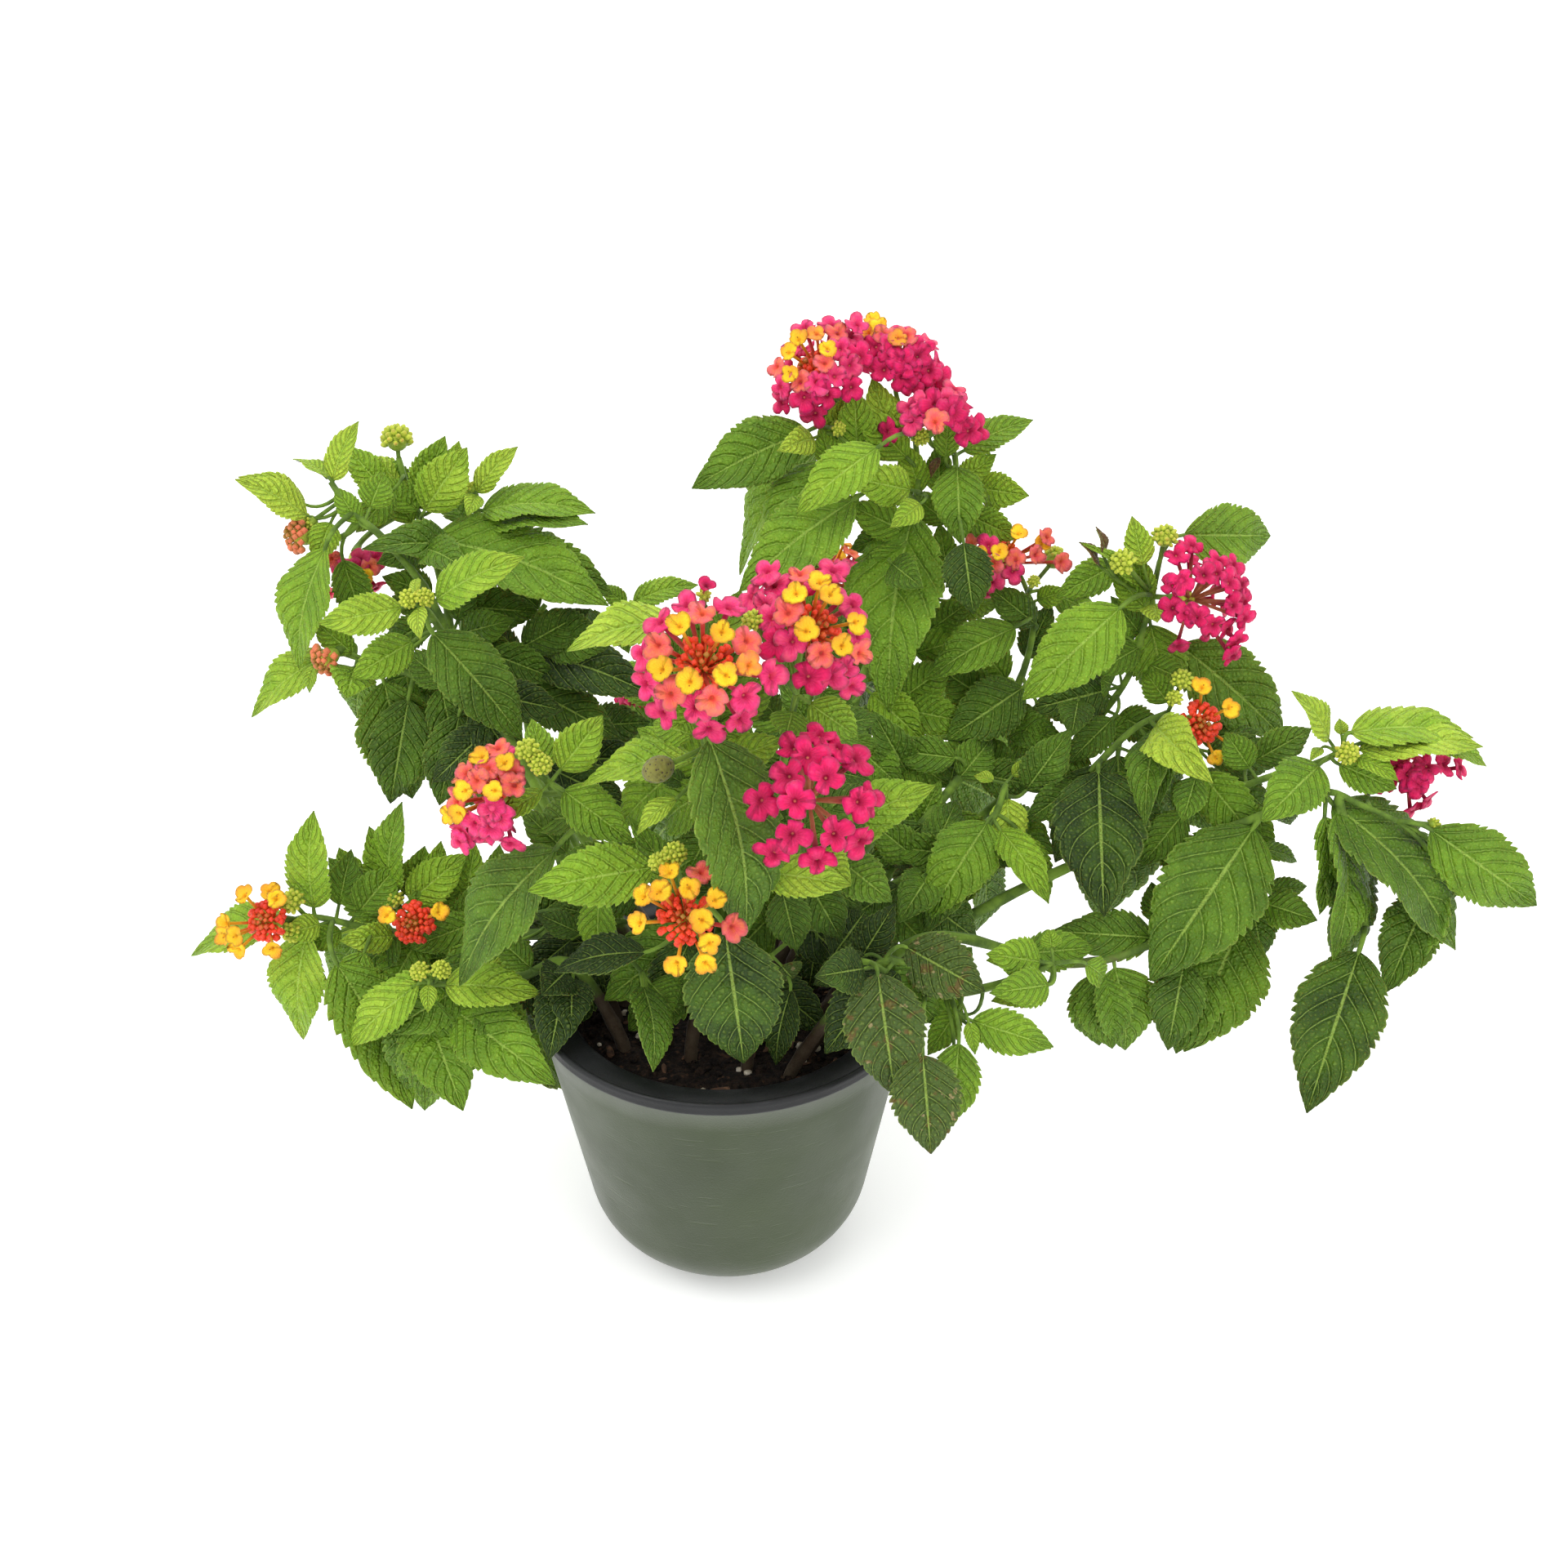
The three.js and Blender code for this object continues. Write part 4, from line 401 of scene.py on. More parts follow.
            Leaf(830, 930, 770, 960, 84, 134, 24, 0.3), Leaf(808, 860, 760, 810, 56, 160, 20, 0.7),
            Leaf(820, 850, 860, 800, 56, 168, 24, 0.6), Leaf(850, 980, 800, 1040, 80, 120, 36, 0.3),
        ], [Bud(762, 838, 160, 14)]),
    ]),
    Branch("back_right_stem", (24, 36), [
        Shoot([(1040, 1060, 70), (1120, 980, 105), (1190, 910, 135), (1220, 880, 145)], [
            Leaf(1180, 900, 1130, 850, 72, 140, 24, 0.5), Leaf(1200, 915, 1270, 900, 80, 130, 16, 0.4),
            Leaf(1160, 950, 1230, 985, 84, 120, 20, 0.3), Leaf(1140, 950, 1080, 930, 76, 120, 30, 0.2),
            Leaf(1215, 870, 1240, 830, 56, 146, 22, 0.7), Leaf(1100, 1000, 1050, 1060, 80, 100, 36, 0.3),
        ], []),
    ]),
]

HEADS: list[Head] = [
    Head("front_left_head", HeadKind.FULL, (860, 815, -68), 19, (-0.05, -0.8, 0.6), "front_left_stem",
             (865, 806), {
                YELLOW: [(832, 767), (884, 774), (811, 820), (845, 835), (889, 827)],
                ORANGE: [(917, 815)],
                CORAL: [(860, 752), (806, 790), (914, 785), (821, 850), (872, 855)],
                ROSE: [(809, 762), (842, 742), (892, 745), (786, 800), (791, 837), (812, 873), (852, 866),
                    (912, 852), (868, 892), (906, 881), (944, 828)],
             }),
    Head("front_right_head", HeadKind.FULL, (993, 768, -44), 19, (0.15, -0.72, 0.68), "front_right_stem",
             (1004, 766), {
                YELLOW: [(975, 727), (1004, 714), (1017, 728), (987, 773), (1047, 762), (1031, 791)],
                CORAL: [(980, 704), (965, 751), (1006, 800), (1052, 800)],
                ROSE: [(940, 700), (948, 718), (922, 731), (937, 742), (945, 757), (1044, 741),
                    (1034, 820), (1042, 841), (970, 786), (1020, 700), (1016, 828)],
                MAGENTA: [(990, 830), (950, 787)],
             }),
    Head("front_pink_head", HeadKind.PINK, (997, 980, -76), 20, (0.25, -0.85, 0.45), "front_pink_stem",
             (988, 985), {
                MAGENTA: [(972, 915), (1004, 900), (1027, 915), (1048, 930), (966, 950), (1012, 952),
                    (931, 980), (973, 981), (1052, 982), (970, 1022), (1022, 1022), (947, 1046),
                    (1001, 1055), (1054, 1030), (989, 926), (1066, 976)],
             }),
    Head("front_low_head", HeadKind.YOUNG, (838, 1130, -80), 17, (-0.1, -0.92, 0.35), "front_low_stem",
             (836, 1125), {
                YELLOW: [(820, 1069), (844, 1087), (876, 1102), (789, 1098), (808, 1092), (784, 1130),
                    (860, 1127), (869, 1155), (829, 1179), (864, 1179)],
                CORAL: [(859, 1069), (896, 1135)],
             }),
    Head("top_left_head", HeadKind.FULL, (1002, 452, 116), 19, (-0.3, -0.6, 0.74), "top_left_stem",
             (984, 443), {
                YELLOW: [(978, 416), (966, 432), (968, 457), (1013, 427)],
                ORANGE: [(1000, 409)],
                CORAL: [(1010, 445), (952, 449), (1026, 409), (980, 468)],
                ROSE: [(986, 402), (1018, 399), (1042, 413), (1029, 427), (956, 474), (1000, 468),
                    (1022, 461), (1041, 447), (1050, 398)],
                MAGENTA: [(957, 494), (984, 487), (998, 507), (1013, 484), (1043, 474), (1054, 436)],
             }, 0.92),
    Head("top_middle_head", HeadKind.LATE, (1108, 436, 128), 19, (0.2, -0.5, 0.84), "top_middle_stem",
             (1072, 440), {
                YELLOW: [(1068, 392), (1077, 400)],
                ORANGE: [(1100, 414), (1064, 408)],
                CORAL: [(1110, 411), (1083, 411)],
                ROSE: [(1056, 412), (1048, 424), (1092, 424)],
                MAGENTA: [(1072, 424), (1090, 436), (1082, 453), (1104, 462), (1112, 448), (1124, 436),
                    (1130, 424), (1138, 454), (1102, 440), (1116, 468), (1150, 462)],
             }, 0.9),
    Head("top_right_head", HeadKind.SPRAY, (1156, 510, 104), 16, (0.3, -0.5, 0.6), "top_right_stem",
             None, {
                CORAL: [(1145, 517)],
                ROSE: [(1115, 499), (1116, 515), (1130, 493), (1158, 489)],
                MAGENTA: [(1145, 495), (1166, 505), (1178, 511), (1187, 528), (1198, 526), (1086, 529)],
             }),
    Head("left_head", HeadKind.SIDE, (598, 975, -28), 18, (-0.93, -0.3, 0.15), "left_middle_stem",
             (606, 962), {
                YELLOW: [(590, 927), (618, 935), (606, 968), (570, 968), (563, 996), (551, 999)],
                CORAL: [(610, 917), (572, 947), (584, 956), (629, 946), (630, 962), (560, 982), (598, 941)],
                ROSE: [(603, 990), (611, 1001), (581, 1008), (592, 1022), (566, 1022), (562, 1031),
                    (600, 1012)],
             }, 0.92),
    Head("low_left_head", HeadKind.YOUNG, (318, 1130, 6), 15, (-0.8, -0.5, 0.25), "low_left_tip_stem",
             (320, 1127), {
                YELLOW: [(300, 1097), (330, 1092), (338, 1101), (278, 1131), (289, 1146), (293, 1162),
                    (334, 1161), (276, 1146)],
             }),
    Head("low_middle_head", HeadKind.YOUNG, (504, 1134, 12), 15, (-0.2, -0.93, 0.3), "low_left_mid_stem",
             (503, 1131), {
                YELLOW: [(474, 1121), (537, 1117)],
             }),
    Head("right_mixed_head", HeadKind.SIDE, (1222, 690, 94), 15, (-0.5, -0.75, 0.3), "right_mixed_stem",
             (1236, 668), {
                YELLOW: [(1247, 654), (1276, 666), (1200, 679), (1223, 676)],
                CORAL: [(1190, 668), (1216, 690), (1244, 686), (1282, 658), (1299, 688), (1268, 680)],
                ROSE: [(1204, 702), (1214, 712), (1240, 700), (1210, 668)],
             }, 0.9),
    Head("right_pink_head", HeadKind.PINK, (1473, 735, 52), 20, (0.78, -0.6, 0.15), "right_pink_stem",
             (1458, 735), {
                MAGENTA: [(1460, 668), (1440, 679), (1493, 688), (1511, 692), (1475, 704), (1491, 702),
                    (1436, 717), (1447, 711), (1436, 745), (1452, 751), (1466, 756), (1506, 714),
                    (1521, 716), (1510, 742), (1524, 738), (1524, 757), (1486, 765), (1503, 771),
                    (1516, 785), (1509, 804)],
             }, 0.82),
    Head("right_yellow_head", HeadKind.YOUNG, (1478, 888, 40), 16, (0.7, -0.7, 0.1), "right_yellow_stem",
             (1474, 886), {
                YELLOW: [(1472, 842), (1505, 867), (1508, 913), (1488, 927)],
             }),
    Head("far_right_head", HeadKind.SPRAY, (1735, 943, 18), 17, (0.8, -0.1, 0.3), "far_right_stem",
             None, {
                MAGENTA: [(1680, 948), (1708, 938), (1724, 948), (1738, 958), (1748, 938), (1768, 936),
                    (1787, 940), (1734, 962), (1694, 955)],
             }, 0.85),
    Head("upper_left_head", HeadKind.SIDE, (436, 698, 98), 18, (0.1, -0.8, -0.3), "upper_left_top_stem",
             None, {
                YELLOW: [(448, 706), (446, 720)],
                CORAL: [(406, 684), (452, 694)],
                ROSE: [(430, 695), (441, 686), (458, 685), (420, 697)],
             }, 0.85),
    Head("upper_left_small_head", HeadKind.CLOSED, (358, 655, 78), 11, (-0.8, -0.3, 0.3),
         "upper_left_tip_stem"),
    Head("left_small_head", HeadKind.CLOSED, (394, 812, 50), 11, (-0.5, -0.6, -0.2), "upper_left_low_stem"),
    Head("back_head", HeadKind.FULL, (1015, 700, 186), 19, (0.05, 0.6, 0.8), "back_stem"),
    Head("back_left_head", HeadKind.PINK, (800, 850, 182), 19, (-0.3, 0.8, 0.45), "back_left_stem"),
]


INNER_BREADTH = 0.6


def inner(right: float, down: float, tip_right: float, tip_down: float, depth: float, lean: float,
          tone: float) -> Leaf:
    """A leaf that fills the shade behind the others, as wide as its length asks."""
    width = INNER_BREADTH * math.hypot(tip_right - right, tip_down - down)
    return Leaf(right, down, tip_right, tip_down, width, depth, lean, tone)


# Leaves here with tones at or below 0 are painted shade: dark leaves set where the plant's inside lies in
# shade.
UNDERGROWTH: dict[str, list[Leaf]] = {
    "front_low_stem": [
        inner(850, 1140, 740, 1225, -18, -6, 0.3), inner(862, 1165, 770, 1262, -14, -8, 0.15),
        inner(870, 1160, 962, 1236, -10, -6, 0.15), inner(840, 1185, 710, 1196, -6, 0, -0.15),
        inner(730, 1176, 690, 1262, -10, -4, -0.15), inner(760, 1160, 664, 1230, 0, -4, -0.15),
        inner(845, 1150, 800, 1250, -22, -6, 0.12), Leaf(742, 1150, 824, 1240, 60, -34, -6, 0.3),
        Leaf(790, 1166, 678, 1190, 48, -42, 6, -0.15),
    ],
    "front_left_stem": [
        inner(880, 1060, 962, 1132, -6, 4, 0.3), inner(882, 1080, 796, 1152, 0, 4, 0.25),
        inner(878, 1020, 800, 1090, -10, 10, 0.35), inner(872, 960, 932, 1044, -22, 8, 0.35),
        inner(868, 940, 780, 892, -20, 14, 0.75),
        inner(830, 942, 758, 1012, -14, 6, 0.6), inner(884, 985, 846, 1074, -10, 6, 0.3),
        inner(864, 868, 842, 764, -36, 4, 0.42), inner(868, 872, 930, 788, -32, 6, 0.6),
        inner(856, 880, 790, 826, -34, 6, 0.65), inner(880, 884, 952, 830, -30, 8, 0.65),
        inner(872, 800, 908, 722, -32, 8, 0.55), inner(866, 850, 880, 742, -28, 6, 0.35),
        inner(886, 1010, 838, 980, -16, 6, 0.35), inner(880, 900, 918, 880, -38, 6, 0.65),
        inner(866, 800, 846, 730, -30, 6, 0.5), inner(870, 880, 810, 870, -34, 4, 0.7),
        inner(862, 842, 806, 772, -34, 6, 0.35), inner(840, 960, 800, 940, -24, 6, 0.3),
        Leaf(930, 1068, 1042, 1084, 58, -58, -4, 0.8), inner(866, 990, 846, 938, 20, 6, 0.3),
        inner(882, 1052, 858, 1000, 16, 4, 0.3), inner(895, 935, 914, 868, 24, 6, 0.35),
    ],
    "front_right_stem": [
        inner(935, 1050, 1012, 1124, 6, 6, 0.25), inner(945, 1000, 1034, 1060, 4, 8, 0.3),
        inner(955, 950, 1044, 985, -4, 10, 0.35), inner(950, 970, 876, 1014, 2, 8, 0.3),
        inner(965, 900, 1054, 908, -10, 12, 0.45), inner(965, 890, 898, 852, -8, 14, 0.45),
        inner(1004, 890, 1076, 878, 16, 8, 0.35), inner(1000, 942, 1066, 956, 8, 8, 0.3),
        inner(978, 850, 1010, 760, -22, 6, 0.35),
        inner(985, 880, 920, 846, -26, 6, 0.45), inner(1010, 900, 1076, 912, 20, 4, 0.35),
        inner(960, 790, 930, 730, -26, 6, 0.4), inner(970, 800, 1040, 742, -22, 6, 0.4),
        inner(990, 885, 955, 838, 30, 6, 0.35),
    ],
    "front_pink_stem": [
        inner(955, 1100, 1042, 1184, -8, 0, -0.15), inner(950, 1115, 876, 1192, -4, 0, 0.2),
        inner(996, 1076, 1056, 1112, -12, 0, 0.15), inner(985, 1040, 1060, 1010, -26, 6, 0.25),
        inner(980, 1030, 1012, 940, -28, 6, 0.25),
        inner(985, 1010, 1060, 960, -30, 6, 0.3), inner(975, 1060, 1066, 1066, -24, 4, 0.2),
        Leaf(958, 1092, 976, 1164, 58, -30, -6, 0.25), Leaf(990, 1080, 1030, 1150, 60, -20, -6, 0.15),
    ],
    "front_soil_stem": [
        inner(930, 1195, 1012, 1262, -26, -4, -0.15), inner(928, 1190, 852, 1252, -22, -4, 0.15),
    ],
    "left_middle_stem": [
        inner(790, 1080, 706, 1122, 4, 6, 0.2), inner(770, 1050, 680, 1062, 2, 10, 0.25),
        inner(740, 1020, 824, 1064, -6, 6, 0.3), inner(720, 1000, 650, 1012, -10, 12, 0.35),
        inner(694, 1044, 638, 990, -8, 8, 0.35), inner(722, 1152, 648, 1162, 2, 4, -0.15),
        inner(732, 1122, 676, 1108, 4, 4, 0.15), inner(700, 1150, 640, 1200, 0, -6, -0.15),
        inner(710, 1142, 656, 1118, -4, 4, 0.15),
        inner(845, 1048, 864, 996, 2, 4, 0.3), inner(820, 985, 856, 938, 0, 6, 0.3),
    ],
    "left_back_stem": [
        inner(672, 940, 772, 988, 80, -8, 0.1), inner(660, 915, 556, 934, 84, 8, 0.15),
        inner(690, 930, 794, 928, 94, 4, 0.08), inner(650, 870, 560, 846, 90, 8, 0.15),
        inner(700, 890, 796, 884, 108, 6, 0.1),
    ],
    "upper_left_tip_stem": [
        inner(590, 850, 516, 902, 70, -6, 0.2), inner(560, 800, 470, 836, 74, 0, 0.3),
        inner(432, 800, 382, 758, 58, 4, 0.55), inner(440, 640, 410, 596, 82, 6, 0.6),
        Leaf(374, 618, 292, 584, 34, 88, -6, 0.95), inner(540, 760, 470, 790, 76, 4, 0.3),
    ],
    "upper_left_top_stem": [
        inner(580, 830, 662, 884, 74, -4, 0.12), inner(550, 780, 630, 758, 80, 8, 0.25),
        inner(535, 740, 602, 696, 90, 8, 0.3), inner(545, 750, 480, 730, 94, 8, 0.25),
        inner(555, 790, 640, 810, 88, 0, 0.15),
        inner(512, 608, 545, 534, 116, 8, 0.75), inner(545, 605, 562, 540, 118, 6, 0.75),
        inner(472, 602, 424, 546, 116, 8, 0.65), inner(482, 600, 436, 652, 108, -4, 0.45),
        inner(505, 640, 468, 582, 112, 6, 0.55), inner(512, 622, 548, 580, 114, 6, 0.5),
        inner(545, 724, 468, 706, 92, 0, 0.3), inner(560, 742, 662, 750, 96, 4, 0.3),
        inner(600, 800, 684, 832, 84, 0, 0.15), inner(636, 676, 750, 728, 100, -4, 0.4),
        inner(470, 650, 520, 690, 104, -4, 0.35),
        Leaf(600, 642, 720, 642, 38, 108, -8, 0.5), inner(640, 792, 722, 746, 90, 4, 0.22),
        inner(500, 600, 475, 560, 122, 6, 0.6), inner(560, 760, 575, 700, 94, 4, 0.3),
        Leaf(560, 692, 444, 672, 56, 66, 0, 0.35),
    ],
    "upper_left_low_stem": [
        inner(600, 890, 530, 958, 40, -6, 0.15), inner(620, 910, 556, 990, 38, -4, 0.12),
        inner(580, 862, 640, 946, 44, -4, 0.12), inner(560, 850, 500, 800, 56, 8, 0.3),
        inner(540, 842, 560, 930, 52, -8, 0.2),
        inner(500, 856, 478, 984, 56, -6, 0.25), inner(562, 876, 538, 986, 44, -6, 0.15),
        inner(600, 850, 690, 870, 50, 4, 0.12),
    ],
    "low_left_tip_stem": [
        inner(430, 1135, 486, 1060, 26, 8, 0.5), inner(470, 1142, 416, 1056, 28, 8, 0.45),
        inner(500, 1145, 566, 1072, 28, 8, 0.4), inner(560, 1150, 626, 1080, 28, 8, 0.3),
        inner(600, 1150, 536, 1240, 16, -10, 0.35),
        inner(446, 1166, 410, 1254, 4, -12, 0.4), inner(445, 1100, 402, 1050, 30, 8, 0.5),
        inner(425, 1128, 372, 1158, 14, -2, 0.6),
        Leaf(412, 1180, 505, 1358, 98, -2, -24, 0.5), Leaf(484, 1126, 416, 1152, 42, 10, -4, 0.75),
        Leaf(400, 1122, 346, 1144, 38, 10, -4, 0.8),
    ],
    "low_left_mid_stem": [
        inner(560, 1140, 650, 1154, 24, 0, 0.35), inner(520, 1135, 466, 1232, 20, -12, 0.5),
        inner(600, 1140, 664, 1194, 20, -6, 0.3), inner(640, 1135, 704, 1086, 30, 6, 0.2),
        inner(640, 1140, 600, 1060, 28, 8, 0.25),
        inner(524, 1112, 540, 1030, 32, 8, 0.65), inner(480, 1092, 452, 1012, 34, 8, 0.5),
        inner(602, 1102, 612, 1034, 32, 8, 0.35), inner(570, 1104, 582, 1032, 32, 8, 0.6),
        inner(570, 1168, 486, 1180, 26, -4, 0.35), inner(640, 1150, 560, 1172, 4, -4, 0.3),
        Leaf(505, 1100, 520, 1036, 50, 32, 8, 0.65), Leaf(440, 1096, 415, 1038, 44, 34, 8, 0.5),
        Leaf(588, 1128, 500, 1162, 50, 22, -2, 0.3), Leaf(486, 1142, 440, 1192, 50, 20, -4, 0.35),
        Leaf(562, 1236, 724, 1332, 100, 34, 12, 0.42), inner(690, 1036, 640, 1000, 12, 4, 0.3),
    ],
    "low_left_front_stem": [
        inner(570, 1205, 470, 1266, -12, -20, 0.4),
        inner(640, 1196, 704, 1262, -10, -14, -0.15), inner(545, 1206, 446, 1232, -16, -8, 0.55),
        inner(590, 1203, 640, 1296, -14, -24, 0.35),
        inner(444, 1196, 498, 1334, -4, -22, 0.4), inner(470, 1232, 520, 1350, -10, -22, 0.35),
        Leaf(748, 1152, 664, 1218, 62, -32, -6, -0.15), Leaf(726, 1186, 700, 1266, 58, -32, -8, -0.15),
        inner(650, 1185, 600, 1140, -20, 4, 0.35),
        Leaf(704, 1190, 672, 1298, 66, -34, -12, -0.15), Leaf(690, 1180, 650, 1262, 60, -10, -8, -0.15),
    ],
    "top_left_stem": [
        inner(985, 870, 920, 904, 74, -4, 0.2), inner(990, 840, 1052, 884, 80, -4, 0.25),
        inner(1005, 760, 940, 806, 98, -4, 0.3), inner(1008, 740, 1074, 766, 102, 0, 0.3),
        inner(970, 930, 900, 964, 60, -2, 0.2), inner(1012, 690, 944, 636, 112, 8, 0.45),

        Leaf(958, 482, 850, 592, 80, 122, -2, 0.42), inner(1050, 560, 1046, 472, 114, 6, 0.6),
        inner(1012, 560, 1040, 500, 112, 6, 0.65),
        inner(1085, 545, 1040, 480, 116, 6, 0.7),
        inner(1020, 575, 1004, 520, 114, 4, 0.65), inner(1010, 640, 1052, 604, 104, 6, 0.5),
        inner(1075, 600, 1052, 560, 122, 4, 0.35),
    ],
    "top_middle_stem": [
        inner(1045, 860, 970, 904, 70, -4, 0.3), inner(1055, 840, 1130, 906, 76, -6, 0.6),
        inner(1030, 900, 1104, 964, 60, -4, 0.4), inner(1020, 940, 944, 968, 52, 0, 0.25),
        inner(1075, 780, 1006, 804, 90, 4, 0.25), inner(1105, 670, 1050, 720, 100, 0, 0.5),
        inner(1110, 652, 1036, 616, 106, 6, 0.5), inner(1092, 548, 1068, 462, 116, 6, 0.7),
        inner(1128, 602, 1104, 540, 114, 4, 0.7), inner(1110, 560, 1050, 500, 112, 6, 0.65),
        inner(1085, 935, 1072, 870, 84, 4, 0.35),
    ],
    "top_right_stem": [
        inner(1080, 900, 1164, 964, 66, -6, 0.35), inner(1095, 860, 1184, 884, 78, -2, 0.5),
        inner(1120, 800, 1202, 776, 96, 8, 0.45), inner(1130, 770, 1058, 736, 100, 8, 0.5),
        inner(1060, 960, 1134, 1026, 50, -4, 0.3), inner(1145, 730, 1222, 742, 106, 4, 0.45),
        inner(1110, 830, 1036, 800, 92, 8, 0.55), inner(1160, 640, 1110, 600, 118, 8, 0.5),
        inner(1078, 846, 1164, 812, 84, 4, 0.5), inner(1120, 762, 1190, 734, 100, 4, 0.3),
        inner(1150, 604, 1150, 540, 114, 4, 0.6), inner(1172, 592, 1220, 556, 118, 4, 0.6),
        inner(1165, 650, 1225, 622, 116, 4, 0.5), inner(1160, 700, 1150, 640, 112, 6, 0.4),
        inner(1158, 560, 1162, 502, 110, 4, 0.6),
    ],
    "right_mixed_stem": [
        inner(1150, 980, 1214, 1056, 44, -6, 0.35), inner(1170, 928, 1088, 918, 58, 6, 0.35),
        inner(1190, 930, 1272, 962, 60, -4, 0.3), inner(1225, 880, 1302, 904, 72, -2, 0.25),
        inner(1230, 870, 1146, 816, 82, 8, 0.3), inner(1245, 840, 1186, 776, 88, 8, 0.4),
        inner(1130, 1010, 1062, 1066, 36, -4, 0.25),
        inner(1268, 764, 1208, 716, 90, 4, 0.2), inner(1256, 806, 1288, 738, 96, 6, 0.1),
        inner(1128, 932, 1214, 904, 66, 4, 0.3), inner(1118, 1022, 1152, 956, 44, 6, 0.35),
        inner(1112, 948, 1068, 870, 60, 4, 0.3), inner(1150, 962, 1182, 892, 72, 4, 0.25),
        inner(1150, 990, 1172, 925, 66, 4, 0.2),
    ],
    "right_pink_stem": [
        inner(1220, 985, 1290, 1046, 54, -8, 0.35), inner(1240, 970, 1200, 896, 68, 8, 0.3),
        inner(1290, 930, 1240, 856, 74, 8, 0.2), inner(1320, 905, 1290, 992, 58, -10, 0.3),
        inner(1350, 870, 1426, 902, 62, -6, 0.3), inner(1365, 850, 1296, 800, 74, 8, 0.35),
        inner(1385, 810, 1454, 834, 66, -4, 0.35), inner(1395, 780, 1340, 752, 70, 4, 0.45),
        inner(1404, 745, 1360, 700, 64, 4, 0.6),
        inner(1402, 806, 1352, 756, 70, 4, 0.42), inner(1396, 792, 1336, 826, 66, 0, 0.3),
        inner(1402, 862, 1348, 832, 62, 2, 0.3), inner(1362, 880, 1308, 934, 56, -4, 0.25),
        inner(1402, 738, 1392, 676, 64, 4, 0.6), Leaf(1346, 692, 1322, 664, 12, 60, -4, 3),
        Leaf(1352, 682, 1342, 645, 10, 60, 0, 3), inner(1350, 720, 1376, 690, 66, 4, 0.6),
        inner(1404, 850, 1368, 806, 66, 4, 0.4), inner(1398, 778, 1360, 730, 70, 4, 0.45),
        inner(1340, 905, 1390, 880, 60, 4, 0.3),
    ],
    "right_yellow_stem": [
        inner(1200, 1040, 1160, 1116, 22, -8, 0.3),
        inner(1340, 945, 1424, 1004, 40, -8, 0.25), inner(1370, 910, 1452, 944, 44, -6, 0.35),
        inner(1320, 960, 1256, 1006, 40, -4, 0.3),
        inner(1336, 926, 1292, 1056, 38, -6, 0.2), inner(1478, 920, 1574, 930, 52, 0, 0.3),
        inner(1500, 948, 1556, 994, 48, -4, 0.3), inner(1440, 956, 1484, 1018, 44, -4, 0.3),
        inner(1470, 905, 1540, 896, 58, 4, 0.35),
        Leaf(1345, 944, 1352, 1122, 120, 38, -50, 0.12), Leaf(1420, 896, 1402, 1010, 62, 4, -6, 0.25),
        Leaf(1472, 948, 1546, 1038, 66, 28, -20, 0.5), Leaf(1440, 905, 1420, 985, 50, 12, -4, 0.3),
        Leaf(1464, 952, 1448, 1006, 44, 14, -4, 0.35),
    ],
    "far_right_stem": [
        inner(1420, 1010, 1484, 1084, 14, -10, 0.4), inner(1450, 995, 1396, 1062, 16, -8, 0.35),
        inner(1500, 975, 1562, 1044, 16, -10, 0.4), inner(1540, 958, 1500, 896, 26, 8, 0.45),
        inner(1536, 932, 1606, 892, 36, 6, 0.4), Leaf(1630, 1006, 1632, 1178, 58, -26, -6, 0.28),
        Leaf(1766, 1082, 1712, 1208, 62, -12, -18, 0.28), Leaf(1654, 897, 1804, 903, 54, 12, -4, 0.85),
        Leaf(1752, 908, 1820, 938, 28, 10, -2, 0.85),
        Leaf(1622, 1000, 1616, 1120, 44, -8, -10, 0.4),
        inner(1640, 936, 1710, 966, 6, -4, 0.6),
    ],
    "right_low_stem": [
        inner(1420, 1156, 1480, 1110, -2, 8, 0.35),
        Leaf(1412, 1148, 1288, 1140, 66, -4, 4, 0.35), Leaf(1332, 1172, 1362, 1284, 72, -4, -22, 0.42),
        Leaf(1474, 1178, 1440, 1290, 80, -8, -18, 0.28),
        Leaf(1316, 1176, 1346, 1280, 64, 0, -20, 0.42), Leaf(1450, 1178, 1430, 1286, 72, -12, -16, 0.28),
        inner(1250, 1168, 1340, 1160, -20, 4, 0.35),
    ],
    "low_right_stem": [
        inner(1080, 1185, 1152, 1254, -46, -8, 0.25), inner(1100, 1190, 1036, 1254, -48, -8, -0.15),
        inner(1120, 1205, 1194, 1188, -44, 4, 0.4), inner(1060, 1170, 996, 1206, -40, 0, -0.15),
        inner(1050, 1180, 1096, 1106, -36, 8, -0.15), inner(1140, 1215, 1190, 1160, -42, 6, 0.35),
        inner(1172, 1238, 1136, 1292, -52, -8, 0.5), inner(1085, 1190, 1010, 1290, -50, -8, -0.15),
        Leaf(1300, 1172, 1208, 1168, 56, -40, -4, 0.62), Leaf(1284, 1206, 1212, 1216, 52, -46, -4, 0.66),
        Leaf(1190, 1250, 1290, 1282, 58, -60, -6, 0.66), Leaf(1174, 1278, 1166, 1374, 64, -66, -8, 0.6),
        Leaf(1088, 1152, 998, 1196, 62, -60, -6, 0.1),
    ],
    "right_small_stem": [
        inner(1100, 1085, 1026, 1134, 8, -4, 0.2),
        inner(1080, 1100, 1142, 1166, 0, -8, 0.2), inner(1160, 1045, 1084, 1036, 18, 4, 0.35),
        inner(1130, 1065, 1066, 1006, 18, 8, 0.25),
        Leaf(1250, 1024, 1284, 1104, 46, 26, -10, 0.7), inner(1196, 1040, 1262, 1050, 32, -2, 0.3),
        inner(1198, 1098, 1128, 1142, -2, -4, 0.25), inner(1256, 968, 1312, 892, 44, 4, 0.28),
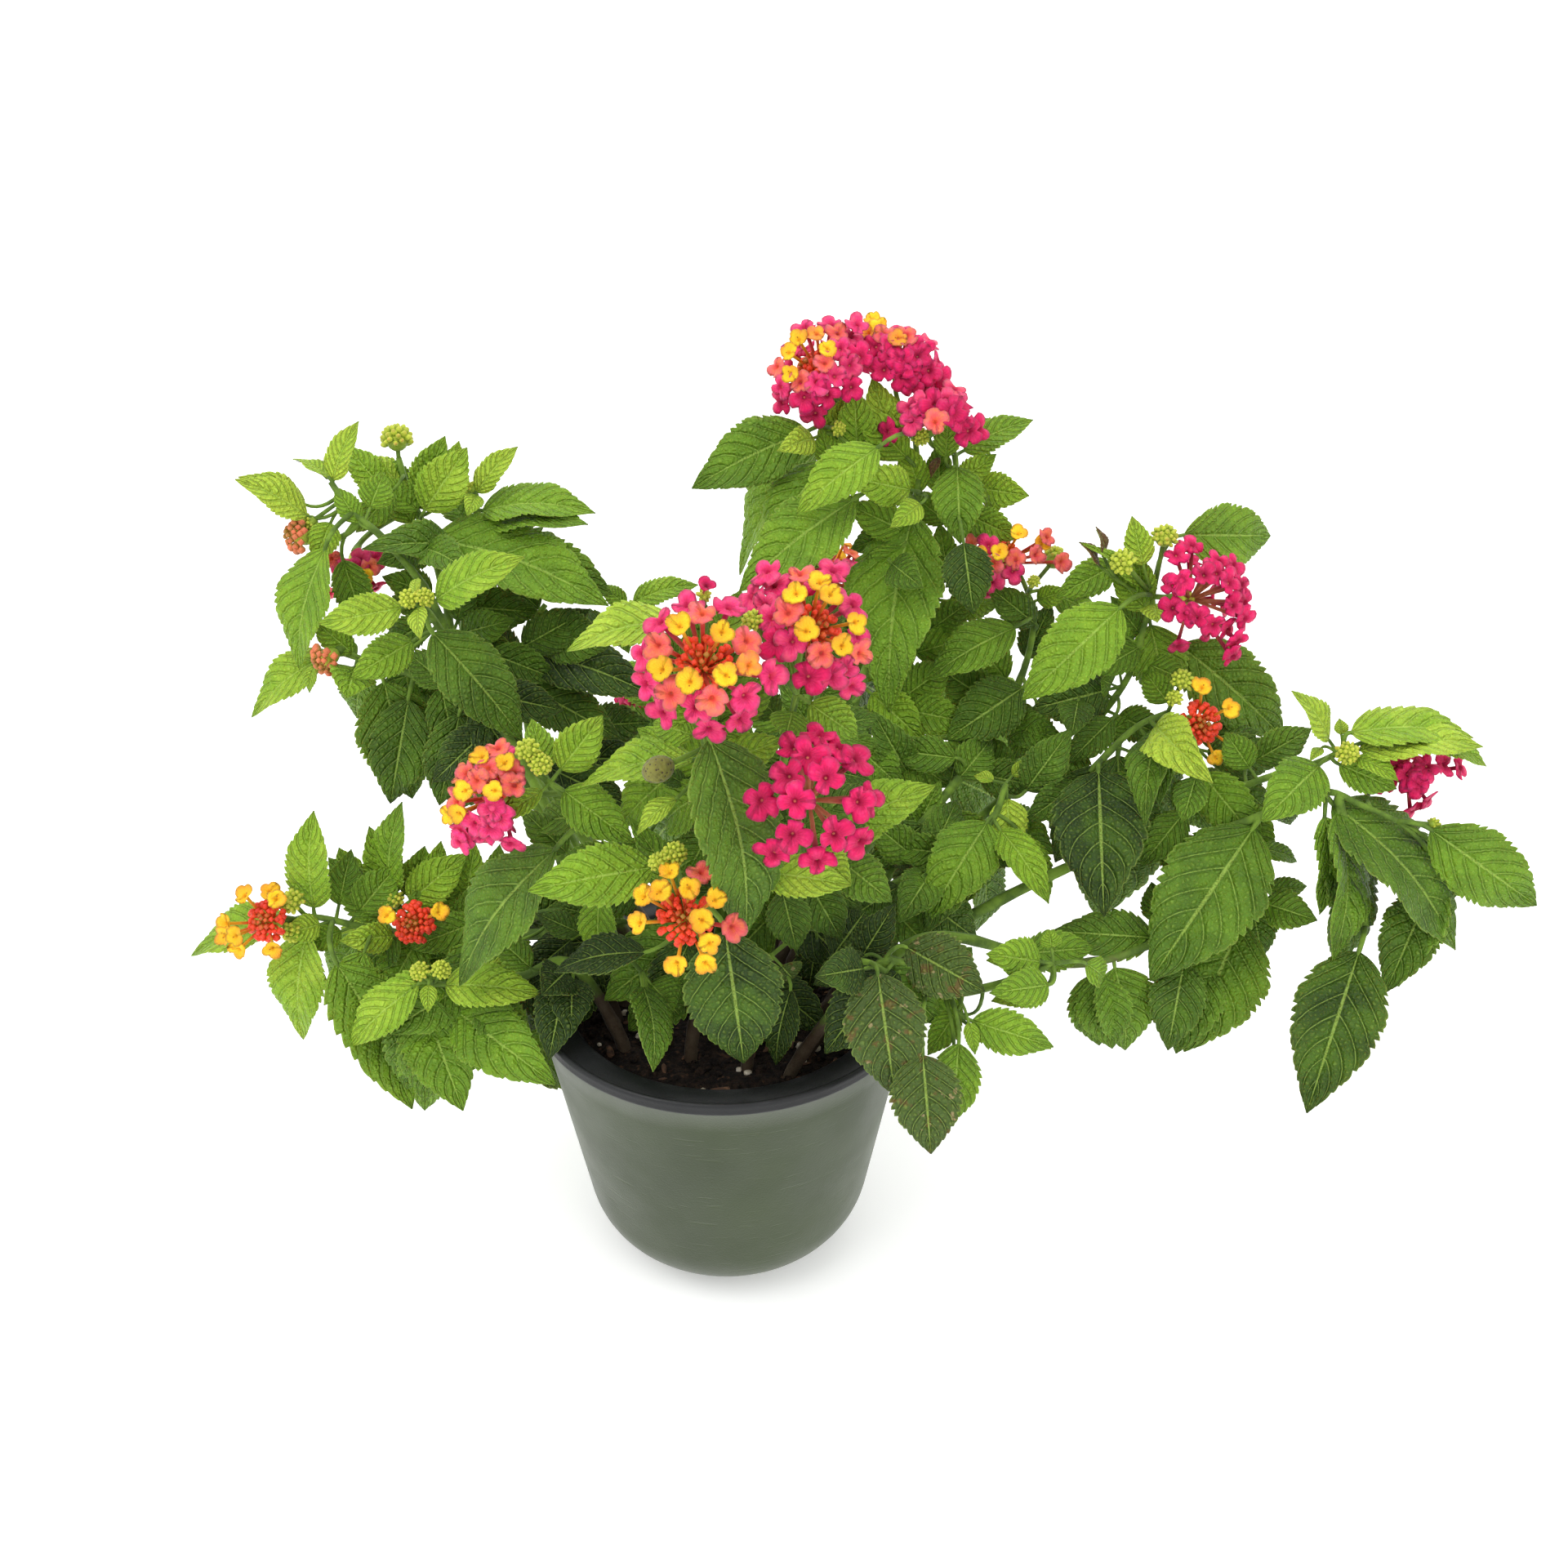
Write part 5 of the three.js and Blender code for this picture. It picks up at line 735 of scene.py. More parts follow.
        Leaf(1196, 1050, 1136, 1142, 66, -2, -6, 0.3), Leaf(1150, 1060, 1100, 1130, 60, -6, -6, 0.22),
        inner(1130, 1050, 1172, 980, 44, 6, 0.25), Leaf(1118, 1092, 1196, 1150, 74, 8, -4, 0.1),
        Leaf(1258, 1012, 1284, 1106, 52, -4, -6, 0.7),
    ],
    "back_stem": [
        inner(985, 900, 962, 838, 100, 4, 0.3),
    ],
}

# ---- shader building -----------------------------------------------------------------------------
Socket = bpy.types.NodeSocket
Fed = Socket | float | Colour


class Craft:
    """Adds and links the nodes of one shader tree."""

    colour_mix_inputs = (0, 6, 7)

    def __init__(self, tree: bpy.types.NodeTree) -> None:
        """Starts on an empty or a finished tree."""
        self.tree = tree

    def node(self, kind: str, **settings: object) -> bpy.types.Node:
        """A new node.

        Args:
            kind: its type, in Blender's words.
            **settings: the properties that are set on it.

        Returns:
            The node.
        """
        made = self.tree.nodes.new(kind)
        for name, value in settings.items():
            setattr(made, name, value)
        return made

    def feed(self, socket: Socket, value: Fed) -> None:
        """Links a socket into another, or sets a plain value on it.

        Args:
            socket: the input that is fed.
            value: an output, or a plain value.
        """
        if isinstance(value, bpy.types.NodeSocket):
            self.tree.links.new(value, socket)
        else:
            socket.default_value = value

    def math(self, operation: str, first: Fed, second: Fed = 0.0) -> Socket:
        """One step of arithmetic.

        Args:
            operation: the Math node's operation.
            first: its first value.
            second: its second value, for an operation that has one.

        Returns:
            The result.
        """
        node = self.node("ShaderNodeMath", operation=operation)
        self.feed(node.inputs[0], first)
        self.feed(node.inputs[1], second)
        return node.outputs[0]

    def times(self, first: Fed, second: Fed) -> Socket:
        """Two values multiplied."""
        return self.math("MULTIPLY", first, second)

    def plus(self, first: Fed, second: Fed) -> Socket:
        """Two values added."""
        return self.math("ADD", first, second)

    def less(self, first: Fed, second: Fed) -> Socket:
        """The first value less the second."""
        return self.math("SUBTRACT", first, second)

    def most(self, first: Fed, second: Fed) -> Socket:
        """The larger of two values."""
        return self.math("MAXIMUM", first, second)

    def span(self, value: Fed, low: float, high: float, to_low: Fed = 0.0, to_high: Fed = 1.0) -> Socket:
        """A value eased from one range into another and held inside it.

        Args:
            value: what is measured.
            low: where the easing starts.
            high: where it ends.
            to_low: the result at `low`.
            to_high: the result at `high`.

        Returns:
            The eased value.
        """
        node = self.node("ShaderNodeMapRange", interpolation_type="SMOOTHSTEP")
        for socket, given in zip(node.inputs, (value, low, high, to_low, to_high)):
            self.feed(socket, given)
        return node.outputs[0]

    def mix(self, share: Fed, first: Fed, second: Fed, blend: str = "MIX") -> Socket:
        """Two colours mixed.

        Args:
            share: how much of the second shows.
            first: the colour underneath.
            second: the colour that comes over it.
            blend: the Mix node's blend type.

        Returns:
            The mixed colour.
        """
        node = self.node("ShaderNodeMix", data_type="RGBA", blend_type=blend)
        for index, value in zip(self.colour_mix_inputs, (share, first, second)):
            self.feed(node.inputs[index], value)
        return node.outputs[2]

    def ramp(self, share: Fed, stops: Stops) -> Socket:
        """The colour at a place along a row of stops.

        Args:
            share: the place, from 0 to 1.
            stops: the colours and their places.

        Returns:
            The colour.
        """
        node = self.node("ShaderNodeValToRGB")
        elements = node.color_ramp.elements
        for index, (place, colour) in enumerate(stops):
            element = elements[index] if index < len(elements) else elements.new(place)
            element.position, element.color = place, colour
        self.feed(node.inputs[0], share)
        return node.outputs[0]

    def along(self, name: str) -> list[Socket]:
        """The three numbers of a piece's own attribute.

        Args:
            name: the attribute.

        Returns:
            One socket for each number.
        """
        read = self.node("ShaderNodeAttribute", attribute_name=name)
        split = self.node("ShaderNodeSeparateXYZ")
        self.feed(split.inputs[0], read.outputs["Vector"])
        return list(split.outputs)

    def ground(self) -> Socket:
        """Object coordinates, in metres."""
        return self.node("ShaderNodeTexCoord").outputs["Object"]

    def noise(self, scale: Fed, detail: float = 3.0) -> Socket:
        """Noise through space.

        Args:
            scale: how many swells of it go to a metre.
            detail: how many finer layers it has.

        Returns:
            The noise, from 0 to 1.
        """
        node = self.node("ShaderNodeTexNoise")
        self.feed(node.inputs["Vector"], self.ground())
        self.feed(node.inputs["Scale"], scale)
        self.feed(node.inputs["Detail"], detail)
        return node.outputs["Fac"]

    def cells(self, scale: Fed, feature: str = "DISTANCE_TO_EDGE") -> Socket:
        """Distances in a field of cells through space.

        Args:
            scale: how many cells go to a metre.
            feature: which distance the Voronoi node gives.

        Returns:
            The distance.
        """
        node = self.node("ShaderNodeTexVoronoi", feature=feature)
        self.feed(node.inputs["Vector"], self.ground())
        self.feed(node.inputs["Scale"], scale)
        return node.outputs["Distance"]

    def bump(self, height: Fed, depth: float) -> Socket:
        """A normal that a height field tilts.

        Args:
            height: the field, from 0 to 1.
            depth: how deep it is, in metres.

        Returns:
            The normal.
        """
        node = self.node("ShaderNodeBump")
        node.inputs["Distance"].default_value = depth
        self.feed(node.inputs["Height"], height)
        return node.outputs["Normal"]

    def shared(self, tree: bpy.types.NodeTree, **values: Fed) -> Socket:
        """A shared effect, placed in this tree.

        Args:
            tree: the effect's node group.
            **values: what its inputs are given.

        Returns:
            Its output.
        """
        node = self.node("ShaderNodeGroup", node_tree=tree)
        for name, value in values.items():
            self.feed(node.inputs[name], value)
        return node.outputs[0]


class Effects:
    """The effects that more than one finish uses, each built once as a shader node group."""

    patch_detail = 4.0
    patch_edges = (0.3, 0.7)
    down_detail = 5.0
    down_pores = 0.5
    down_depth = 0.00025

    @staticmethod
    def _started(name: str, inputs: tuple[str, ...],
                 result: str) -> tuple[Craft, bpy.types.Node, bpy.types.Node]:
        """An empty group.

        Args:
            name: the effect's name.
            inputs: the names of its inputs, all of them plain numbers.
            result: the name of its output, a vector where it is "Normal".

        Returns:
            What builds in it, its input node and its output node.
        """
        tree = bpy.data.node_groups.new(name, "ShaderNodeTree")
        for socket in inputs:
            tree.interface.new_socket(name=socket, in_out="INPUT", socket_type="NodeSocketFloat")
        kind = "NodeSocketVector" if result == "Normal" else "NodeSocketFloat"
        tree.interface.new_socket(name=result, in_out="OUTPUT", socket_type=kind)
        craft = Craft(tree)
        return craft, craft.node("NodeGroupInput"), craft.node("NodeGroupOutput")

    @classmethod
    def mottle(cls) -> bpy.types.NodeTree:
        """Soft uneven patches.

        Returns:
            The group: `Scale` patches to a metre, with values from Low to High.
        """
        if "mottle" not in bpy.data.node_groups:
            craft, given, result = cls._started("mottle", ("Scale", "Low", "High"), "Value")
            patches = craft.noise(given.outputs["Scale"], cls.patch_detail)
            values = craft.span(patches, *cls.patch_edges, given.outputs["Low"], given.outputs["High"])
            craft.feed(result.inputs[0], values)
        return bpy.data.node_groups["mottle"]

    @classmethod
    def down(cls) -> bpy.types.NodeTree:
        """The uneven skin of a downy plant.

        Returns:
            The group: short hairs and fine grain as a normal.
        """
        if "down" not in bpy.data.node_groups:
            craft, given, result = cls._started("down", ("Scale",), "Normal")
            grain = craft.noise(given.outputs["Scale"], cls.down_detail)
            pores = craft.cells(given.outputs["Scale"], "F1")
            height = craft.plus(grain, craft.times(pores, cls.down_pores))
            craft.feed(result.inputs[0], craft.bump(height, cls.down_depth))
        return bpy.data.node_groups["down"]


MADE: dict[str, bpy.types.Material] = {}


@dataclass(frozen=True)
class Finish:
    """A finish of the part: its name and the plain values of its surface."""

    name: str
    roughness: float = 0.6
    specular: float = 0.5
    sheen: float = 0.0
    soak: float = 0.0
    soak_reach: float = 0.0012

    def made(self) -> bpy.types.Material:
        """The finish as a material, made once.

        Returns:
            The material.
        """
        if self.name in MADE:
            return MADE[self.name]
        material = bpy.data.materials.new(self.name)
        MADE[self.name] = material
        material.use_nodes = True
        material.node_tree.nodes.clear()
        craft = Craft(material.node_tree)
        shader = craft.node("ShaderNodeBsdfPrincipled")
        for socket, value in {
            "Roughness": self.roughness, "Specular IOR Level": self.specular, "Sheen Weight": self.sheen,
            "Subsurface Weight": self.soak, "Subsurface Scale": self.soak_reach,
        }.items():
            shader.inputs[socket].default_value = value
        self.dress(craft, shader)
        out = craft.node("ShaderNodeOutputMaterial")
        craft.feed(out.inputs["Surface"], shader.outputs[0])
        return material

    def dress(self, craft: Craft, shader: bpy.types.Node) -> None:
        """Feeds the shader's changing sockets.

        Args:
            craft: what builds in the material's tree.
            shader: its Principled shader.
        """
        raise NotImplementedError


@dataclass(frozen=True)
class Flecks:
    """Scattered marks in noise, with its scale and detail.

    A mark starts and is full at two levels of the noise, and has a share that it shows.
    """

    scale: float
    detail: float
    starts: float
    full: float
    shows: float

    def drawn(self, craft: Craft) -> Socket:
        """The marks in a tree, from 0 to 1, before they are thinned to how much they show."""
        return craft.span(craft.noise(self.scale, self.detail), self.starts, self.full)


@dataclass(frozen=True)
class LeafFinish(Finish):
    """A quilted lantana leaf: tone by age, pale veins, a fine net of veinlets, rust on the old ones, painted
    shade in its grooves and veinlets, and painted highlights on the cushions between them.

    Places across the blade run from 0 on its midrib to 1 on its margin. An easing has where it starts and
    ends, and what it gives there where that isn't 0 and 1.
    """

    # The darkest stop also serves as painted shade, for the leaves that lie deep in the plant's shade.
    tones: Stops = (
        (0.0, srgb(38, 62, 12)), (0.25, srgb(82, 117, 24)), (0.5, srgb(114, 154, 34)),
        (0.75, srgb(142, 182, 42)), (1.0, srgb(184, 212, 66)),
    )
    old: Colour = srgb(70, 88, 40)
    rust: Colour = srgb(112, 84, 44)
    scar: Colour = srgb(164, 146, 104)
    withered: Colour = srgb(112, 74, 50)
    vein: Colour = srgb(176, 206, 92)
    # Painted shade: this colour is multiplied into the grooves beside the veins and into the veinlets.
    crease_shade: Colour = srgb(118, 138, 92)
    below: Colour = srgb(146, 172, 92)

    midrib: Ease = (0.015, 0.05, 1.0, 0.0)
    laterals: float = 7.5
    sweep: float = 0.3
    curve: float = 1.2
    lateral_ends: Ease = (0.76, 0.98, 1.0, 0.0)
    lateral: Ease = (0.45, 0.492)
    lateral_groove: Ease = (0.26, 0.48)
    middle_groove: Ease = (0.0, 0.16, 1.0, 0.0)
    groove_shade_by_tone: Ease = (0.2, 0.9, 0.42, 0.24)
    net: float = 520.0
    veinlet: Ease = (0.0, 0.13, 1.0, 0.0)
    cushion: Ease = (0.03, 0.42)
    margin: Ease = (0.94, 1.0)
    patches: float = 70.0
    patch_reach: float = 0.09
    leaf_reach: float = 0.18
    ageing: Ease = (0.4, 0.9)
    withering: Ease = (1.4, 1.9)
    spots: Flecks = Flecks(190.0, 5.0, 0.56, 0.66, 0.75)
    scars: Flecks = Flecks(260.0, 2.0, 0.66, 0.71, 0.8)
    turned_under: Ease = (-0.2, 0.2)

    old_shows: float = 0.85
    below_shows: float = 0.5
    # How much painted shade the veinlets get, and how much painted highlight the cushions get.
    veinlet_shade_shows: float = 0.28
    cushion_highlight_shows: float = 0.14
    laterals_show: float = 0.75
    veins_show: float = 0.5
    margin_shows: float = 0.3
    rougher_below: float = 0.2
    rougher_veinlets: float = 0.1
    cushion_height: float = 0.7
    groove_depth: float = 0.9
    relief: float = 0.001

    def dress(self, craft: Craft, shader: bpy.types.Node) -> None:
        """Feeds the colour, the roughness and the relief of both faces of the blade.

        Args:
            craft: what builds in the material's tree.
            shader: its Principled shader.
        """
        place, sideways, face = craft.along("form")
        tone, chance, age = craft.along("tint")
        aside = craft.math("ABSOLUTE", sideways)
        midrib = craft.span(aside, *self.midrib)
        bent = craft.times(craft.math("POWER", aside, self.curve), self.sweep)
        phase = craft.times(craft.less(place, bent), self.laterals)
        parted = craft.math("ABSOLUTE", craft.less(craft.math("FRACT", phase), 0.5))
        within = craft.span(aside, *self.lateral_ends)
        lateral = craft.times(craft.span(parted, *self.lateral), within)
        groove = craft.times(craft.span(parted, *self.lateral_groove), within)
        groove = craft.most(groove, craft.span(aside, *self.middle_groove))
        net = craft.cells(self.net)
        veinlet = craft.span(net, *self.veinlet)
        swollen = craft.span(net, *self.cushion)
        veins = craft.most(midrib, craft.times(lateral, self.laterals_show))
        patches = craft.shared(
            Effects.mottle(), Scale=self.patches, Low=-self.patch_reach, High=self.patch_reach)
        shift = craft.plus(patches, craft.times(craft.less(chance, 0.5), self.leaf_reach))
        base = craft.ramp(craft.plus(tone, shift), self.tones)
        old = craft.span(age, *self.ageing)
        base = craft.mix(craft.times(old, self.old_shows), base, self.old)
        for flecks, colour in ((self.spots, self.rust), (self.scars, self.scar)):
            marks = flecks.drawn(craft)
            base = craft.mix(craft.times(craft.times(marks, old), flecks.shows), base, colour)
        base = craft.mix(craft.span(age, *self.withering), base, self.withered)
        under = craft.span(face, *self.turned_under, 1.0, 0.0)
        base = craft.mix(craft.times(under, self.below_shows), base, self.below)
        # Painted shade: the grooves and veinlets darken the colour, and the grooves darken it less on bright
        # leaves.
        furrow_shade = craft.times(groove, craft.span(tone, *self.groove_shade_by_tone))
        crease_shading = craft.most(craft.times(veinlet, self.veinlet_shade_shows), furrow_shade)
        painted_relief = craft.mix(crease_shading, base, self.crease_shade, "MULTIPLY")
        # Painted highlight: the swollen cushions between the veins are lightened towards the vein colour.
        raised = craft.times(swollen, craft.less(1.0, groove))
        painted_relief = craft.mix(craft.times(raised, self.cushion_highlight_shows), painted_relief, self.vein)
        base = craft.mix(craft.times(veins, self.veins_show), painted_relief, self.vein)
        edge = craft.times(craft.span(aside, *self.margin), self.margin_shows)
        base = craft.mix(edge, base, self.vein)
        craft.feed(shader.inputs["Base Color"], base)
        rough = craft.plus(self.roughness, craft.times(under, self.rougher_below))
        craft.feed(shader.inputs["Roughness"], craft.plus(rough, craft.times(veinlet, self.rougher_veinlets)))
        quilt = craft.less(craft.times(swollen, self.cushion_height), craft.times(groove, self.groove_depth))
        height = craft.times(quilt, craft.span(face, *self.turned_under, -1.0, 1.0))
        craft.feed(shader.inputs["Normal"], craft.bump(height, self.relief))


@dataclass(frozen=True)
class StemFinish(Finish):
    """A four-angled stem: green and downy above, brown and barky towards the soil. Heights are in metres.

    Its bark colour is also darker as painted shade, for the stems in the shaded mouth of the pot.
    """

    green: Colour = srgb(116, 148, 48)
    shaded: Colour = srgb(72, 98, 32)
    # Painted shade: the stems' own brown bark, made darker where they stand in the shaded mouth of the pot.
    bark_and_shade: Colour = srgb(62, 47, 32)
    ash: Colour = srgb(84, 74, 58)
    woody: Ease = (0.155, 0.115)
    woody_edge: Ease = (0.3, 0.7)
    edge_unevenness: float = 0.3
    patches: float = 140.0
    ash_shows: float = 0.6
    rougher: float = 0.1
    down: float = 900.0

    def dress(self, craft: Craft, shader: bpy.types.Node) -> None:
        """Feeds the colour and the skin.

        Args:
            craft: what builds in the material's tree.
            shader: its Principled shader.
        """
        old, chance, _ = craft.along("tint")
        split = craft.node("ShaderNodeSeparateXYZ")
        craft.feed(split.inputs[0], craft.ground())
        woody = craft.times(old, craft.span(split.outputs[2], *self.woody))
        patches = craft.shared(Effects.mottle(), Scale=self.patches, Low=0.0, High=1.0)
        green = craft.mix(patches, self.shaded, self.green)
        bark_and_shade = craft.mix(craft.times(patches, self.ash_shows), self.bark_and_shade, self.ash)
        edge = craft.plus(woody, craft.times(craft.less(patches, 0.5), self.edge_unevenness))
        craft.feed(shader.inputs["Base Color"], craft.mix(craft.span(edge, *self.woody_edge), green, bark_and_shade))
        craft.feed(shader.inputs["Roughness"], craft.plus(self.roughness, craft.times(chance, self.rougher)))
        craft.feed(shader.inputs["Normal"], craft.shared(Effects.down(), Scale=self.down))


@dataclass(frozen=True)
class PetalFinish(Finish):
    """A floret that opens yellow and turns coral and then magenta, with its own eye and tube colours.

    Radii run from 0 in its middle to 1 on its rim, and its age from 0, just open, to 1. The tube colours
    are the tubes' own orange, brightened as painted light where they lie in the shaded middle of a head.
    """

    limb: Stops = (
        (0.0, srgb(255, 208, 44)), (0.2, srgb(255, 192, 32)), (0.38, srgb(250, 156, 58)),
        (0.6, srgb(240, 108, 96)), (0.84, srgb(236, 62, 126)), (1.0, srgb(216, 20, 92)),
    )
    eye: Stops = (
        (0.0, srgb(250, 164, 16)), (0.3, srgb(240, 132, 28)), (0.6, srgb(226, 76, 58)),
        (0.85, srgb(198, 28, 82)), (1.0, srgb(156, 8, 56)),
    )
    # Painted light: the tubes' own orange, brightened where they lie in the shaded middle of a head.
    tube: Stops = (
        (0.0, srgb(255, 138, 56)), (0.35, srgb(250, 104, 54)), (0.7, srgb(240, 110, 84)),
        (1.0, srgb(232, 150, 112)),
    )
    rim: Stops = (
        (0.0, srgb(250, 150, 30)), (0.4, srgb(242, 116, 84)), (0.7, srgb(238, 112, 128)),
        (1.0, srgb(220, 34, 106)),
    )
    speck: Colour = srgb(150, 84, 20)
    pip: Colour = srgb(244, 150, 120)

    patches: float = 420.0
    patch_reach: float = 0.07
    chance_turns: float = 40.0
    blushed_side: Ease = (-0.4, 1.0)
    blush_by_radius: Ease = (0.3, 0.9, 0.1, 0.62)
    rim_by_radius: Ease = (0.76, 1.0, 0.0, 0.55)
    rays: float = 20.0
    ray_length: float = 0.07
    throat_by_age: Ease = (0.1, 0.8, 0.34, 0.86)
    throat_starts: float = 0.08
    speck_pair: Ease = (0.8, 0.97)
    speck_from: Ease = (0.18, 0.26)
    speck_to: Ease = (0.3, 0.4, 1.0, 0.0)
    speck_by_age: Ease = (0.3, 0.5, 0.8, 0.0)
    pip_by_radius: Ease = (0.04, 0.09, 1.0, 0.0)
    pip_by_age: Ease = (0.5, 0.8, 0.0, 0.8)
    tube_by_height: Ease = (-0.75, -0.3, 1.0, 0.0)
    dullest: float = 0.86
    brighter: float = 0.28
    grain: float = 1500.0
    grain_detail: float = 2.0
    ray_height: float = 3.0
    relief: float = 0.00018

    def dress(self, craft: Craft, shader: bpy.types.Node) -> None:
        """Feeds the colour from the middle of each floret to its rim, and its velvet grain.

        Args:
            craft: what builds in the material's tree.
            shader: its Principled shader.
        """
        radius, turn, rise = craft.along("form")
        age, chance, _ = craft.along("tint")
        patches = craft.shared(
            Effects.mottle(), Scale=self.patches, Low=-self.patch_reach, High=self.patch_reach)
        ripe = craft.plus(age, patches)
        lopsided = craft.math("COSINE", craft.plus(turn, craft.times(chance, self.chance_turns)))
        blushed = craft.times(
            craft.span(lopsided, *self.blushed_side), craft.span(radius, *self.blush_by_radius))
        edged = craft.most(craft.span(radius, *self.rim_by_radius), blushed)
        limb = craft.mix(edged, craft.ramp(ripe, self.limb), craft.ramp(ripe, self.rim))
        rays = craft.times(craft.math("SINE", craft.times(turn, self.rays)), self.ray_length)
        reach = craft.plus(radius, rays)
        throat = craft.span(ripe, *self.throat_by_age)
        inside = craft.span(reach, self.throat_starts, throat, throat, 0.0)
        colour = craft.mix(inside, limb, craft.ramp(ripe, self.eye))
        pair = craft.span(craft.math("COSINE", craft.times(turn, 2.0)), *self.speck_pair)
        ring = craft.times(craft.span(radius, *self.speck_from), craft.span(radius, *self.speck_to))
        specks = craft.times(craft.times(pair, ring), craft.span(ripe, *self.speck_by_age))
        colour = craft.mix(specks, colour, self.speck)
        pips = craft.times(craft.span(radius, *self.pip_by_radius), craft.span(ripe, *self.pip_by_age))
        colour = craft.mix(pips, colour, self.pip)
        colour = craft.mix(craft.span(rise, *self.tube_by_height), colour, craft.ramp(ripe, self.tube))
        bright = craft.plus(self.dullest, craft.times(chance, self.brighter))
        shade = craft.node("ShaderNodeHueSaturation")
        craft.feed(shade.inputs["Value"], bright)
        craft.feed(shade.inputs["Color"], colour)
        craft.feed(shader.inputs["Base Color"], shade.outputs[0])
        grain = craft.plus(craft.noise(self.grain, self.grain_detail), craft.times(rays, self.ray_height))
        craft.feed(shader.inputs["Normal"], craft.bump(grain, self.relief))


@dataclass(frozen=True)
class BudFinish(Finish):
    """Unopened buds: a foot colour that turns into a tip colour. Heights run from -1 at the foot to 1."""

    foot: Colour = srgb(134, 160, 36)
    middle: Colour = srgb(188, 202, 58)
    tip: Colour = srgb(200, 92, 62)
    newest: Colour = srgb(156, 122, 38)
    blush: float = 0.55
    middle_by_height: Ease = (-0.6, 0.5)
    tip_by_height: Ease = (0.35, 0.95)
    inmost: Ease = (0.8, 1.0)
    patches: float = 600.0
    patch_from: float = 0.82
    patch_to: float = 1.12
    dullest: float = 0.88
    brighter: float = 0.24
    down: float = 1600.0

    def dress(self, craft: Craft, shader: bpy.types.Node) -> None:
        """Feeds the colour along each bud and its downy skin.

        Args:
            craft: what builds in the material's tree.
            shader: its Principled shader.
        """
        _, _, rise = craft.along("form")
        chance, blush, inmost = craft.along("tint")
        body = craft.mix(craft.span(rise, *self.middle_by_height), self.foot, self.middle)
        body = craft.mix(craft.span(inmost, *self.inmost), body, self.newest)
        tips = craft.times(craft.span(rise, *self.tip_by_height), craft.times(blush, self.blush))
        colour = craft.mix(tips, body, self.tip)
        patches = craft.shared(Effects.mottle(), Scale=self.patches, Low=self.patch_from, High=self.patch_to)
        shade = craft.node("ShaderNodeHueSaturation")
        bright = craft.times(patches, craft.plus(self.dullest, craft.times(chance, self.brighter)))
        craft.feed(shade.inputs["Value"], bright)
        craft.feed(shade.inputs["Color"], colour)
        craft.feed(shader.inputs["Base Color"], shade.outputs[0])
        craft.feed(shader.inputs["Normal"], craft.shared(Effects.down(), Scale=self.down))


@dataclass(frozen=True)
class PotFinish(Finish):
    """Moulded plastic with a dull bloom: patchy colour, faint scuffs and fine grain."""

    colour: Colour = srgb(47, 58, 31)
    worn: Colour = srgb(63, 76, 42)
    patches: float = 14.0
    patches_show: float = 0.5
    scuff: float = 0.35
    scuff_stretch: tuple[float, float, float] = (60.0, 60.0, 700.0)
    scuff_edge: Ease = (0.62, 0.74)
    gloss_patches: float = 45.0
    glossier: float = 0.07
    duller: float = 0.08
    grain_scale: float = 1400.0
    grain_detail: float = 3.0
    scuff_height: float = -0.5
    grain: float = 0.00012

    def dress(self, craft: Craft, shader: bpy.types.Node) -> None:
        """Feeds the colour, the uneven gloss and the moulded grain.

        Args:
            craft: what builds in the material's tree.
            shader: its Principled shader.
        """
        patches = craft.shared(Effects.mottle(), Scale=self.patches, Low=0.0, High=1.0)
        stretch = craft.node("ShaderNodeMapping")
        stretch.inputs["Scale"].default_value = self.scuff_stretch
        craft.feed(stretch.inputs["Vector"], craft.ground())
        streaks = craft.node("ShaderNodeTexNoise")
        craft.feed(streaks.inputs["Vector"], stretch.outputs[0])
        streaks.inputs["Scale"].default_value = 1.0
        marks = craft.span(streaks.outputs["Fac"], *self.scuff_edge)
        worn = craft.plus(craft.times(patches, self.patches_show), craft.times(marks, self.scuff))
        craft.feed(shader.inputs["Base Color"], craft.mix(worn, self.colour, self.worn))
        rough = craft.shared(
            Effects.mottle(), Scale=self.gloss_patches, Low=self.roughness - self.glossier,
            High=self.roughness + self.duller)
        craft.feed(shader.inputs["Roughness"], rough)
        grain = craft.noise(self.grain_scale, self.grain_detail)
        fine = craft.plus(grain, craft.times(marks, self.scuff_height))
        craft.feed(shader.inputs["Normal"], craft.bump(fine, self.grain))


@dataclass(frozen=True)
class SoilFinish(Finish):
    """Potting mix: near black crumbs with brown fibres, or, with other colours, a grain of it."""

    dark: Colour = srgb(18, 14, 12)
    crumb: Colour = srgb(48, 36, 28)
    fibre: Colour = srgb(84, 60, 42)
    crumbs: float = 420.0
    crumb_edge: Ease = (0.2, 0.7)
    patches: float = 260.0
    fibres: Flecks = Flecks(330.0, 6.0, 0.6, 0.68, 0.6)
    grain: float = 600.0
    grain_detail: float = 6.0
    depth: float = 0.0012

    def dress(self, craft: Craft, shader: bpy.types.Node) -> None:
        """Feeds the crumbly colour and relief.

        Args:
            craft: what builds in the material's tree.
            shader: its Principled shader.
        """
        crumbs = craft.cells(self.crumbs, "F1")
        patches = craft.shared(Effects.mottle(), Scale=self.patches, Low=0.0, High=1.0)
        colour = craft.mix(craft.times(patches, craft.span(crumbs, *self.crumb_edge)), self.dark, self.crumb)
        strands = self.fibres.drawn(craft)
        colour = craft.mix(craft.times(strands, self.fibres.shows), colour, self.fibre)
        craft.feed(shader.inputs["Base Color"], colour)
        height = craft.less(craft.noise(self.grain, self.grain_detail), crumbs)
        craft.feed(shader.inputs["Normal"], craft.bump(height, self.depth))


